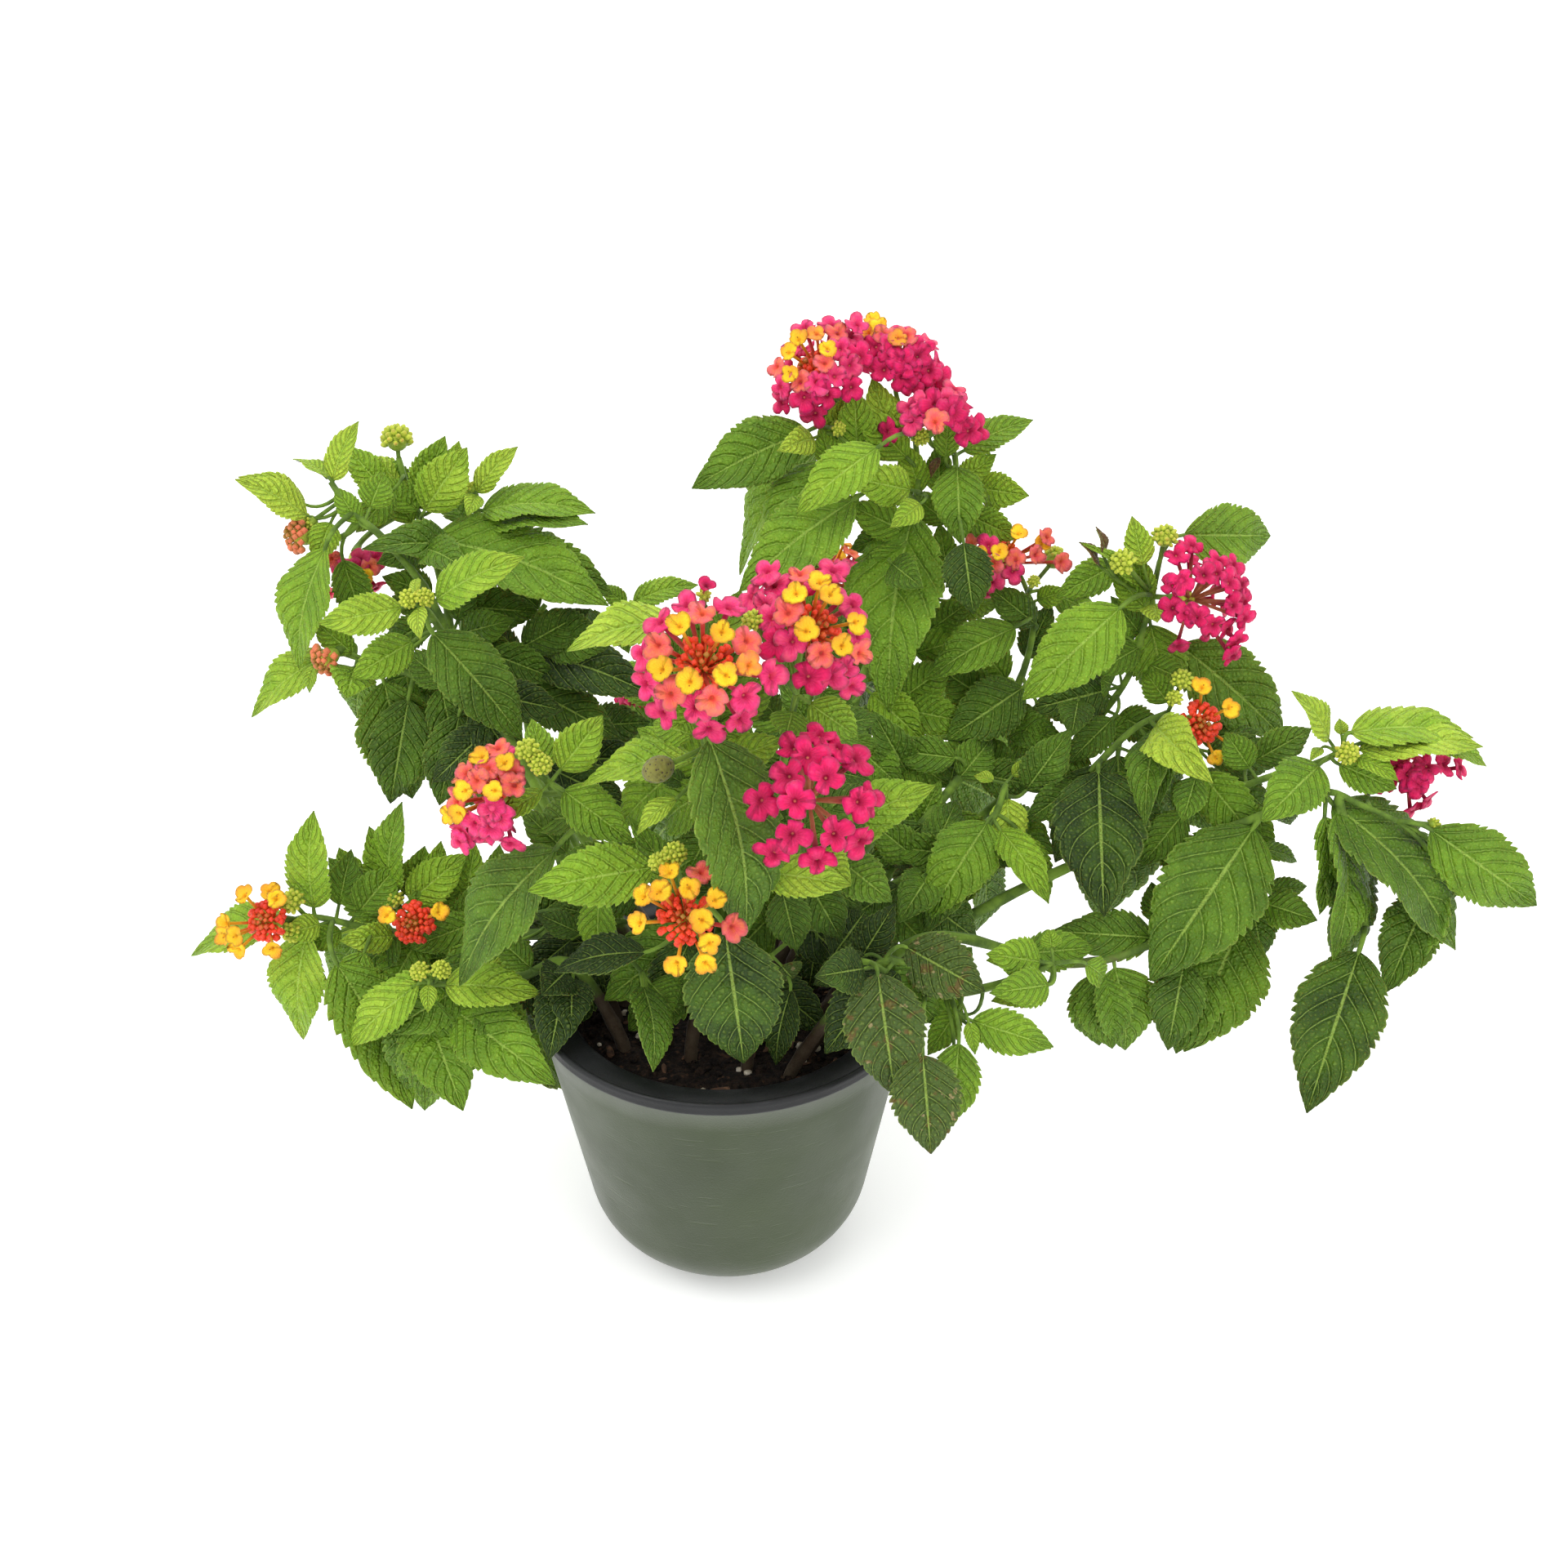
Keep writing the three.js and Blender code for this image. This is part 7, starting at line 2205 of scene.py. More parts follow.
@dataclass
class BudForm:
    """The axil buds: domes of many small pointed buds, a seed head and a wilted floret."""

    golden: float = math.pi * (3 - math.sqrt(5))
    pointed: Profile = field(default_factory=lambda: [
        (0.0, 0.95), (0.4, 0.78), (0.72, 0.25), (0.66, -0.4), (0.4, -1.3), (0.0, -1.4)])
    squared: Profile = field(default_factory=lambda: [
        (0.0, 0.9), (0.66, 0.78), (1.0, 0.3), (0.85, -0.45), (0.34, -1.0), (0.0, -1.1)])
    sides: dict[str, int] = field(default_factory=lambda: {"pointed": 6, "squared": 8})
    corner: float = 0.14

    crowding: float = 2.6
    turns: float = 0.15
    sizes: tuple[float, float] = (0.85, 1.15)
    heights: tuple[float, float] = (1.0, 1.3)
    sunk: float = 0.6
    stands: tuple[float, float] = (0.94, 1.06)
    blushes: tuple[float, float] = (0.3, 1.0)
    top_blush: float = 0.25

    ball_rings: int = 9
    ball_sides: int = 12
    ball_tint: tuple[float, float, float] = (0.5, 0.2, 0.0)
    stalk_points: int = 6
    stalk_sides: int = 6
    stalk_radii: tuple[float, float] = (0.9, 1.0)
    stalk_ends: float = 0.5
    seed_height: float = 1.25
    core_back: float = 0.1
    core_size: float = 0.72
    crowds: tuple[tuple[float, int], ...] = ((3.6, 34), (2.6, 24), (0.0, 14))
    pale_blush: float = 0.4
    opened: float = -0.3
    wilted_facing: tuple[float, float, float] = (0.3, -0.4, 0.8)
    wilted_foot: float = 2.0
    wilted_stand: float = 2.5
    wilted_radius: float = 3.2

    def form(self, name: str) -> Form:
        """The pointed or the squared bud.

        Args:
            name: "pointed" or "squared".

        Returns:
            Its form.
        """
        if name not in FORMS:
            FORMS[name] = Form.turned(name, getattr(self, name), self.sides[name])
            if name == "squared":
                points = FORMS[name].points
                spin = np.arctan2(points[:, 1], points[:, 0])
                points[:, :2] *= (1 + self.corner * np.cos(4 * spin))[:, None]
        return FORMS[name]

    def dome(self, piece: Piece, middle: np.ndarray, facing: np.ndarray, radius: float, count: int,
             chance: random.Random, finish: Finish, shape: str, opened: float, blush: float) -> None:
        """Adds a dome of small buds.

        Args:
            piece: the piece under construction.
            middle: the dome's centre.
            facing: the way the dome faces.
            radius: its radius.
            count: how many buds it has.
            chance: its random numbers.
            finish: the buds' finish.
            shape: "pointed" or "squared".
            opened: how far round the dome reaches, as the cosine of its widest angle.
            blush: how red the tips are, from 0 to 1.
        """
        form = self.form(shape)
        first, second = across(facing, ASKEW)
        size = radius * math.sqrt(self.crowding / count)
        for index in range(count):
            high = 1 - (1 - opened) * (index + 0.5) / count
            wide = math.sqrt(max(0.0, 1 - high * high))
            turn = self.golden * index + chance.uniform(-self.turns, self.turns)
            way = unit(high * facing + wide * (math.cos(turn) * first + math.sin(turn) * second))
            grown = size * chance.uniform(*self.sizes)
            tall = grown * chance.uniform(*self.heights)
            foot = middle + way * (radius - self.sunk * tall) * chance.uniform(*self.stands)
            points = form.stood(foot, way, grown, tall)
            top = self.top_blush + (1 - self.top_blush) * index / count
            red = blush * chance.uniform(*self.blushes) * top
            piece.add(form, points, finish, (chance.random(), red, 0.0))

    def ball(self, piece: Piece, middle: np.ndarray, facing: np.ndarray, radius: float, finish: Finish,
             tall: float = 1.0) -> None:
        """Adds a smooth receptacle.

        Args:
            piece: the piece under construction.
            middle: its centre.
            facing: the way its axis points.
            radius: its radius.
            finish: its finish.
            tall: its half height as a share of its radius.
        """
        name = "ball"
        if name not in FORMS:
            turns = np.linspace(0, math.pi, self.ball_rings)
            profile = [(math.sin(turn), math.cos(turn)) for turn in turns]
            profile[0], profile[-1] = (0.0, 1.0), (0.0, -1.0)
            FORMS[name] = Form.turned(name, profile, self.ball_sides)
        form = FORMS[name]
        piece.add(form, form.stood(middle, facing, radius, radius * tall), finish, self.ball_tint)

    def grow(self, piece: Piece, bud: Bud, lines: Lines, chance: random.Random) -> None:
        """Adds a bud head on its stalk.

        Args:
            piece: the branch under construction.
            bud: its entry in the layout.
            lines: the branch's coarse lines.
            chance: the branch's random numbers.
        """
        middle = SHEET.at(bud.right, bud.down, bud.depth)
        radius = bud.radius * SHEET.scale(middle)
        root = nearest_on(lines, middle)
        facing = unit(middle - root)
        reach = middle - self.stalk_ends * radius * facing - root
        path = root + np.outer(np.linspace(0, 1, self.stalk_points), reach)
        radii = np.linspace(*self.stalk_radii, self.stalk_points)
        piece.tube(path, radii, self.stalk_sides, STEM, (0.0, chance.random(), 0.0))
        if bud.look is BudLook.SEED:
            self.ball(piece, middle, facing, radius, SEED_SKIN, self.seed_height)
            return
        core = middle - self.core_back * radius * facing
        self.ball(piece, core, facing, self.core_size * radius, GREEN_BUDS)
        counts = [count for least, count in self.crowds if radius > least]
        blush = 1.0 if chance.random() > 0.5 else self.pale_blush
        self.dome(piece, core, facing, radius, counts[0], chance, GREEN_BUDS, "pointed", self.opened, blush)
        if bud.look is BudLook.WILTED:
            self.wilted(piece, middle + radius * facing, chance)

    def wilted(self, piece: Piece, place: np.ndarray, chance: random.Random) -> None:
        """Adds a shrunken dark floret that still sticks to a bud head.

        Args:
            piece: the branch under construction.
            place: the top of the bud head.
            chance: the branch's random numbers.
        """
        form = HEADS_FORM.floret()
        way = unit(vec(*self.wilted_facing))
        foot, stand = place - self.wilted_foot * way, place + self.wilted_stand * way
        points = HEADS_FORM.opened(form, foot, stand, way, self.wilted_radius, 0.0, chance)
        piece.add(form, points, PETAL, (1.0, 0.0, 0.0), HEADS_FORM.local(form))


BUDS = BudForm()


@dataclass
class LeafyBranch:
    """A branch with its shoots, leaves, axil buds and the stalks of its flower heads."""

    entry: Branch
    stalks: list["FlowerHead"]

    def build(self, nodes: dict[str, bpy.types.Object]) -> bpy.types.Object:
        """Builds the branch in place of its solid.

        Args:
            nodes: the frame's nodes.

        Returns:
            Its object.
        """
        node = nodes[self.entry.name]
        solid = KDTree(len(node.data.vertices))
        for index, corner in enumerate(node.data.vertices):
            solid.insert(corner.co, index)
        solid.balance()
        chance = random.Random(self.entry.name)
        piece = Piece(self.entry.name.replace("_stem", "_branch"), [STEM, LEAF, GREEN_BUDS, SEED_SKIN, PETAL])
        coarse: Lines = []
        fine: Lines = []
        for index, shoot in enumerate(self.entry.shoots):
            line = STEMS.line(self.entry.root, shoot.stem, coarse)
            coarse.append(line.coarse)
            fine.append(list(line.sampled(STEMS.fine_points)))
            STEMS.draw(piece, line, index == 0, chance)
        for flower in self.stalks:
            flower.draw_stalk(piece, coarse, fine, chance)
        missed = 0
        for shoot in self.entry.shoots:
            for bud in shoot.buds:
                BUDS.grow(piece, bud, coarse, chance)
            for leaf in shoot.leaves:
                blade, root, found = LEAVES.settled(leaf, coarse, solid)
                missed += blade.length > LEAVES.shortest and not found
                LEAVES.grow(piece, blade, nearest_on(fine, root), leaf, chance)
        for leaf in UNDERGROWTH.get(self.entry.name, []):
            blade = LEAVES.placed(leaf, leaf.depth)
            root = nearest_on(fine, blade.base - LEAVES.heel * blade.along)
            LEAVES.grow(piece, LEAVES.straightened(blade, root), root, leaf, chance, shaded=True)
        if missed:
            LOG.warning("%s: %d leaves aren't where its solid has them", self.entry.name, missed)
        return piece.made("leaf", self.entry.name)


# ---- flower heads --------------------------------------------------------------------------------
@dataclass(frozen=True)
class Ring:
    """A ring of florets at an angle from the head's axis, with their age."""

    angle: float
    count: int
    age: float


@dataclass
class HeadForm:
    """The proportions of florets and heads, and the rings of every kind of head.

    The rows of radii, stands, notches and cups go with the row of ages. A ring's angle is in degrees.
    """

    ages: tuple[float, ...] = (YELLOW, ORANGE, CORAL, ROSE, MAGENTA)
    radii: tuple[float, ...] = (4.1, 4.4, 5.1, 5.9, 6.5)
    stands: tuple[float, ...] = (1.08, 1.06, 1.0, 0.96, 1.0)
    notches: tuple[float, ...] = (0.14, 0.17, 0.22, 0.3, 0.38)
    cups: tuple[float, ...] = (0.3, 0.24, 0.1, -0.02, -0.08)
    profile: Profile = field(default_factory=lambda: [
        (0.0, -0.24), (0.12, -0.14), (0.26, 0.08), (0.66, 0.05), (1.0, 0.06), (0.17, -0.22), (0.1, -10.0),
        (0.0, -10.0)])
    steps: int = 24

    limb: Ease = (0.3, 0.8)
    limb_above: float = -0.2
    tube_below: float = -5.0
    notch_sharpness: float = 2.6
    notch_dip: float = 0.1
    uneven: tuple[float, float] = (0.13, 0.05)
    ruffles: tuple[float, float] = (0.1, 0.09)
    tilt: float = 0.12
    cup_change: float = 0.05

    core_radius: float = 3.3
    core_height: float = 1.35
    core_back: float = 0.5
    core_below: float = 4.5
    seat: float = 0.35
    toward_eye: float = 0.75
    toward_axis: float = 0.25
    radius_change: tuple[float, float] = (0.94, 1.05)
    tube_out: float = 2.2
    tube_up: float = 1.5
    hidden: float = -0.1
    apart: float = 0.86
    angle_change: float = 6.0
    turn_change: float = 0.14
    age_change: float = 0.1

    bud_stand: float = 0.56
    bud_stands: tuple[float, float] = (0.94, 1.06)
    bud_start: float = 0.3
    bud_turns: float = 0.2
    bud_radius: float = 0.95
    bud_growth: float = 0.55
    bud_sizes: tuple[float, float] = (0.9, 1.1)
    bud_height: float = 1.2
    bud_foot: float = 1.5
    bud_sunk: float = 0.8
    bud_tube: tuple[float, ...] = (0.5, 0.4, 0.45)
    bud_tube_sides: int = 5

    rings: dict[HeadKind, list[Ring]] = field(default_factory=lambda: {
        HeadKind.FULL: [Ring(98, 8, 0.96), Ring(76, 9, 0.86), Ring(54, 7, 0.62), Ring(34, 6, 0.12)],
        HeadKind.PINK: [Ring(100, 6, 1.0), Ring(78, 8, 0.97), Ring(54, 6, 0.95), Ring(26, 2, 0.92)],
        HeadKind.LATE: [Ring(96, 8, 0.97), Ring(72, 8, 0.86), Ring(46, 5, 0.6), Ring(20, 3, 0.36)],
        HeadKind.SPRAY: [Ring(84, 6, 0.97), Ring(58, 5, 0.86)],
        HeadKind.YOUNG: [Ring(72, 8, 0.16)],
        HeadKind.SIDE: [Ring(94, 7, 0.92), Ring(70, 7, 0.76), Ring(46, 5, 0.5)],
        HeadKind.CLOSED: [],
    })
    red: dict[HeadKind, tuple[int, float]] = field(default_factory=lambda: {
        HeadKind.FULL: (38, 0.55), HeadKind.YOUNG: (56, 0.4), HeadKind.CLOSED: (34, 0.05),
        HeadKind.SIDE: (14, 0.78), HeadKind.PINK: (0, 0), HeadKind.LATE: (12, 0.82), HeadKind.SPRAY: (0, 0),
    })

    def at_age(self, age: float, row: tuple[float, ...]) -> float:
        """A proportion of a floret at its age."""
        return float(np.interp(age, self.ages, row))

    def floret(self) -> Form:
        """A floret with four lobes: its limb at radius 1, its tube's foot at a height of -10.

        Returns:
            Its form.
        """
        if "floret" not in FORMS:
            FORMS["floret"] = Form.turned("floret", self.profile, self.steps)
        return FORMS["floret"]

    def opened(self, form: Form, root: np.ndarray, middle: np.ndarray, facing: np.ndarray, radius: float,
               age: float, chance: random.Random) -> np.ndarray:
        """Where the points of a floret go, in millimetres.

        Args:
            form: the floret's form.
            root: the foot of its tube.
            middle: the middle of its limb.
            facing: the way its limb faces.
            radius: the limb's radius.
            age: from 0, yellow and cupped, to 1, magenta and flat.
            chance: its random numbers.

        Returns:
            One row for each of the form's points.
        """
        first, second = across(facing, ASKEW)
        sideways, up, height = form.points.T
        reach = np.hypot(sideways, up)
        spin = np.arctan2(up, sideways)
        limb = eased(reach, self.limb) * (height > self.limb_above)
        dip = (1 - np.abs(np.cos(2 * spin))) ** self.notch_sharpness
        one_lobe = self.uneven[0] * np.cos(spin + chance.uniform(0, TURN))
        uneven = one_lobe + self.uneven[1] * np.cos(3 * spin + chance.uniform(0, TURN))
        wide = radius * reach * (1 + limb * (uneven - self.at_age(age, self.notches) * dip))
        four_fold = self.ruffles[0] * np.cos(4 * spin)
        ruffle = four_fold + self.ruffles[1] * np.sin(3 * spin + chance.uniform(0, TURN))
        tilt = self.tilt * np.cos(spin + chance.uniform(0, TURN))
        cup = self.at_age(age, self.cups) + chance.uniform(-self.cup_change, self.cup_change)
        lift = radius * (height + limb * reach * (cup + ruffle + tilt - self.notch_dip * dip))
        turn = spin + chance.uniform(0, TURN)
        foot = height < self.tube_below
        start = np.where(foot[:, None], root, middle)
        return (start + np.outer(wide * np.cos(turn), first) + np.outer(wide * np.sin(turn), second)
                + np.outer(np.where(foot, 0.0, lift), facing))

    def local(self, form: Form) -> np.ndarray:
        """What the petal's finish reads: radius, turn and height from the tube's foot at -1."""
        sideways, up, height = form.points.T
        return np.stack([np.hypot(sideways, up), np.arctan2(up, sideways), np.clip(height, -1, 1)], axis=1)


HEADS_FORM = HeadForm()


@dataclass
class FlowerHead:
    """A flower head: a dome of florets round its unopened buds."""

    entry: Head

    def __post_init__(self) -> None:
        """Works out the head's seat and where its unopened buds gather."""
        self.facing = unit(vec(*self.entry.facing))
        self.seat = SHEET.at(*self.entry.middle) - HEADS_FORM.seat * self.entry.reach * self.facing
        self.core = self.facing
        if self.entry.core:
            reach = HEADS_FORM.bud_stand * self.entry.reach
            self.core = unit(self.on_dome(*self.entry.core, reach) - self.seat)

    def on_dome(self, right: float, down: float, reach: float) -> np.ndarray:
        """The place on the near side of a ball round the seat that is seen at a place on the sheet.

        Args:
            right: the place's units from the left edge.
            down: its units from the upper edge.
            reach: the ball's radius.

        Returns:
            The place on the ball, or level with its middle where the ball isn't seen there.
        """
        eye = vec(*SHEET.eye)
        ray = unit(SHEET.at(right, down, self.entry.middle[2]) - eye)
        nearest = float((self.seat - eye).dot(ray))
        beside = float(np.linalg.norm(eye + nearest * ray - self.seat))
        return eye + (nearest - math.sqrt(max(0.0, reach ** 2 - beside ** 2))) * ray

    def draw_stalk(self, piece: Piece, coarse: Lines, fine: Lines, chance: random.Random) -> None:
        """Adds the head's stalk to its branch.

        Args:
            piece: the branch under construction.
            coarse: the branch's lines as its solid has them.
            fine: the same lines as they are built here.
            chance: the branch's random numbers.
        """
        end = self.seat - HEADS_FORM.core_below * self.facing
        bend = end - STEMS.straight * self.facing
        root = nearest_on(fine, nearest_on(coarse, bend))
        path = bowed(root, bend, end, STEMS.stalk_points)
        even = np.full(STEMS.stalk_points - STEMS.cup_points, STEMS.stalk_radius)
        cup = np.linspace(STEMS.stalk_radius, STEMS.cup_radius, STEMS.cup_points)
        tint = (0.0, chance.random(), 0.0)
        piece.tube(path, np.concatenate([even, cup]), STEMS.sides, STEM, tint, squared=STEMS.stalk_squared)

    def places(self, chance: random.Random) -> list[tuple[np.ndarray, float]]:
        """Every floret: those in the layout, and rings of them on the side that it leaves out.

        Args:
            chance: the head's random numbers.

        Returns:
            The middle and the age of each.
        """
        form, reach = HEADS_FORM, self.entry.reach
        found = [(self.on_dome(right, down, reach * form.at_age(age, form.stands)), age)
                 for age, spots in self.entry.florets.items() for right, down in spots]
        taken = [unit(middle - self.seat) for middle, _ in found]
        outlook = unit(vec(*SHEET.eye) - self.seat)
        first, second = across(self.facing, vec(0, 0, 1))
        rings = [] if taken and self.entry.kind is HeadKind.YOUNG else form.rings[self.entry.kind]
        for level, ring in enumerate(rings):
            for index in range(ring.count):
                tilt = math.radians(ring.angle + chance.uniform(-form.angle_change, form.angle_change))
                change = chance.uniform(-form.turn_change, form.turn_change)
                turn = TURN * (index + level % 2 / 2 + change) / ring.count
                way = (math.cos(tilt) * self.facing
                       + math.sin(tilt) * (math.cos(turn) * first + math.sin(turn) * second))
                if taken and way.dot(outlook) > form.hidden:
                    continue
                if taken and max(way.dot(other) for other in taken) > form.apart:
                    continue
                age = min(1.0, max(0.0, ring.age + chance.uniform(-form.age_change, form.age_change)))
                found.append((self.seat + reach * form.at_age(age, form.stands) * way, age))
        return found

    def outlook(self, middle: np.ndarray) -> np.ndarray:
        """The way a floret faces: outward, and in a head with florets of its own also towards the eye.

        Args:
            middle: the middle of its limb.

        Returns:
            The direction.
        """
        away = unit(middle - self.seat)
        if not self.entry.florets:
            return away
        return unit(away + HEADS_FORM.toward_eye * unit(vec(*SHEET.eye) - middle)
                    + HEADS_FORM.toward_axis * self.facing)

    def build(self, nodes: dict[str, bpy.types.Object]) -> list[bpy.types.Object]:
        """Builds the head in place of its solids.

        Args:
            nodes: the frame's nodes.

        Returns:
            One object for each of the head's colours.
        """
        proportions = HEADS_FORM
        name, kind = self.entry.name, self.entry.kind
        chance = random.Random(name)
        finishes = [PETAL, FADED_BUDS if kind is HeadKind.CLOSED else RED_BUDS, GREEN_BUDS]
        whole = name in nodes
        outer = Piece(name.replace("_head", "_flowers"), finishes)
        inside = outer if whole else Piece(name.replace("_head", "_middle"), finishes)
        core = self.seat - proportions.core_back * self.facing
        BUDS.ball(outer, core, self.facing, proportions.core_radius, GREEN_BUDS, proportions.core_height)
        form = proportions.floret()
        local = proportions.local(form)
        young_head = kind is HeadKind.YOUNG
        for middle, age in self.places(chance):
            away = unit(middle - self.seat)
            change = chance.uniform(*proportions.radius_change)
            radius = proportions.at_age(age, proportions.radii) * change * self.entry.size
            root = self.seat + proportions.tube_out * away + self.facing * proportions.tube_up
            points = proportions.opened(form, root, middle, self.outlook(middle), radius, age, chance)
            young = age < ORANGE and not young_head
            (inside if young else outer).add(form, points, PETAL, (age, chance.random(), 0.0), local)
        count, opened = proportions.red[kind]
        self.add_buds(inside, count, opened, chance)
        if whole:
            slot = "red_bud" if kind is HeadKind.CLOSED else "pink_petal"
            return [outer.made(slot, name)]
        slots = ("yellow_petal", "red_bud") if young_head else ("pink_petal", "yellow_petal")
        return [outer.made(slots[0], f"{name}_outer"), inside.made(slots[1], f"{name}_inner")]

    def add_buds(self, piece: Piece, count: int, opened: float, chance: random.Random) -> None:
        """Adds the unopened florets, each on its own thin tube.

        Args:
            piece: the piece under construction.
            count: how many they are.
            opened: how far round they reach, as the cosine of their widest angle.
            chance: the head's random numbers.
        """
        proportions = HEADS_FORM
        finish = FADED_BUDS if self.entry.kind is HeadKind.CLOSED else RED_BUDS
        form = BUDS.form("squared")
        first, second = across(self.core, ASKEW)
        stand = self.entry.reach * proportions.bud_stand
        for index in range(count):
            high = 1 - (1 - opened) * (index + proportions.bud_start) / count
            wide = math.sqrt(max(0.0, 1 - high * high))
            turn = BUDS.golden * index + chance.uniform(-proportions.bud_turns, proportions.bud_turns)
            way = unit(high * self.core + wide * (math.cos(turn) * first + math.sin(turn) * second))
            grown = proportions.bud_radius + proportions.bud_growth * index / count
            size = grown * chance.uniform(*proportions.bud_sizes)
            middle = self.seat + way * stand * chance.uniform(*proportions.bud_stands)
            points = form.stood(middle, way, size, size * proportions.bud_height)
            piece.add(form, points, finish, (chance.random(), chance.random(), 1 - index / count))
            foot, top = self.seat + way * proportions.bud_foot, middle - proportions.bud_sunk * size * way
            path = np.linspace(foot, top, len(proportions.bud_tube))
            tint = (chance.random(), 0.0, 0.0)
            piece.tube(path, np.array(proportions.bud_tube), proportions.bud_tube_sides, finish, tint,
                       local_z=(-1, 0))


# ---- pot and soil --------------------------------------------------------------------------------
@dataclass
class Pot:
    """A moulded pot with a rounded foot and a rolled black lip.

    The lip's corners are measured from its outside or its inside wall and from its underside. The liner's are
    measured from its own outside or inside wall and down from its top.
    """

    height: float = 122.0
    rim_radius: float = 77.5
    neck_radius: float = 75.5
    lip_height: float = 5.0
    lip_outside: tuple[tuple[float, float], ...] = (
        (0.9, 0.0), (0.2, 0.5), (0.0, 1.3), (0.35, 2.4), (0.05, 3.4), (0.3, 4.4), (1.0, 5.0))
    lip_inside: tuple[tuple[float, float], ...] = ((0.8, 5.0), (0.1, 4.3))
    lip_paint: float = 0.2
    foot_radius: float = 26.0
    foot_hollow: float = 1.2
    foot_edge: tuple[float, float] = (8.0, 6.5)
    corner_radius: float = 34.0
    wall: float = 2.6
    floor: float = 4.0
    clear: float = 1.0
    steps: int = 128
    arc_steps: int = 12
    wall_steps: int = 8
    drains: int = 5
    drain_radius: float = 4.5
    drain_ring: float = 16.0
    drain_sides: int = 24
    liner_radius: float = 62.5
    liner_drop: float = 2.2
    liner_gap: float = 0.3
    liner_depth: float = 20.0
    liner_half_wall: float = 0.6
    liner_outside: tuple[tuple[float, float], ...] = ((0.0, 1.4), (0.0, 0.5), (0.6, 0.0))
    liner_inside: tuple[tuple[float, float], ...] = ((1.6, 1.0), (0.3, 2.0))
    liner_under: tuple[float, float] = (1.5, 3.0)
    liner_edge: tuple[float, float] = (0.9, 1.8)
    liner_steps: int = 96

    def side(self, inset: float) -> Profile:
        """The pot's side from its foot to the underside of its lip.

        Args:
            inset: how far in from the pot's surface it runs.

        Returns:
            Its corners, each a radius and a height.
        """
        rise = self.height - self.corner_radius
        lean = math.atan2(self.neck_radius - self.foot_radius - self.corner_radius, rise)
        radius = self.corner_radius - inset
        turns = [(math.pi / 2 - lean) * step / self.arc_steps for step in range(self.arc_steps + 1)]
        arc = [(self.foot_radius + radius * math.sin(turn), self.corner_radius - radius * math.cos(turn))
               for turn in turns]
        neck = (self.neck_radius - inset, self.height - self.lip_height)
        last = arc[-1]
        wall = [(last[0] + (neck[0] - last[0]) * share, last[1] + (neck[1] - last[1]) * share)
                for share in np.linspace(0, 1, self.wall_steps + 1)[1:]]
        return arc + wall

    def build(self) -> bpy.types.Object:
        """Builds the pot in place of its solid, with its drain holes.

        Returns:
            Its object.
        """
        inside = [point for point in self.side(self.wall)[1:] if point[1] > self.floor + self.clear]
        rim, low = self.rim_radius, self.height - self.lip_height
        lip = [(rim - inward, low + up) for inward, up in self.lip_outside]
        lip += [(rim - self.wall + outward, low + up) for outward, up in self.lip_inside]
        hollow, edge = self.foot_edge
        foot = [(0.0, self.foot_hollow), (self.foot_radius - hollow, self.foot_hollow),
                (self.foot_radius - edge, 0.0)]
        floor = [(self.foot_radius, self.floor), (0.0, self.floor)]
        form = Form.turned("pot_turned", foot + self.side(0.0) + lip + inside[::-1] + floor, self.steps)
        shape = Piece("pot_shell", [POT_OUTSIDE, POT_INSIDE])
        shape.add(form, form.points, POT_OUTSIDE, (0.0, 0.0, 0.0))
        made = shape.made("pot", "pot")
        self.drill(made)
        for face in made.data.polygons:
            middle = face.center / MM
            radius = math.hypot(middle.x, middle.y)
            face.material_index = int(middle.z > low - self.lip_paint or self.is_inside(radius, middle.z))
        return made

    def line_mouth(self) -> bpy.types.Object:
        """Builds the black rim of the thin pot that stands inside this one.

        Returns:
            Its object.
        """
        outer, top = self.rim_radius - self.wall - self.liner_gap, self.height - self.liner_drop
        within, low = self.liner_radius, self.height - self.liner_depth
        half = self.liner_half_wall
        profile = [(outer - inward, top - down) for inward, down in self.liner_outside]
        profile += [(within + outward, top - down) for outward, down in self.liner_inside]
        profile += [(within - half, low), (within + half, low)]
        profile += [(within + self.liner_under[0], top - self.liner_under[1]),
                    (outer - self.liner_edge[0], top - self.liner_edge[1]), profile[0]]
        form = Form.turned("liner_turned", profile, self.liner_steps)
        liner = Piece("pot_liner", [POT_INSIDE])
        liner.add(form, form.points, POT_INSIDE, (0.0, 0.0, 0.0))
        return liner.made("pot")

    def is_inside(self, radius: float, height: float) -> bool:
        """Whether a place on the pot's skin is on its inner wall or floor.

        Args:
            radius: the place's distance from the axis.
            height: its height.

        Returns:
            Whether it is.
        """
        wall = self.side(self.wall / 2)
        half = float(np.interp(height, [point[1] for point in wall], [point[0] for point in wall]))
        return height > self.floor / 2 and radius < half

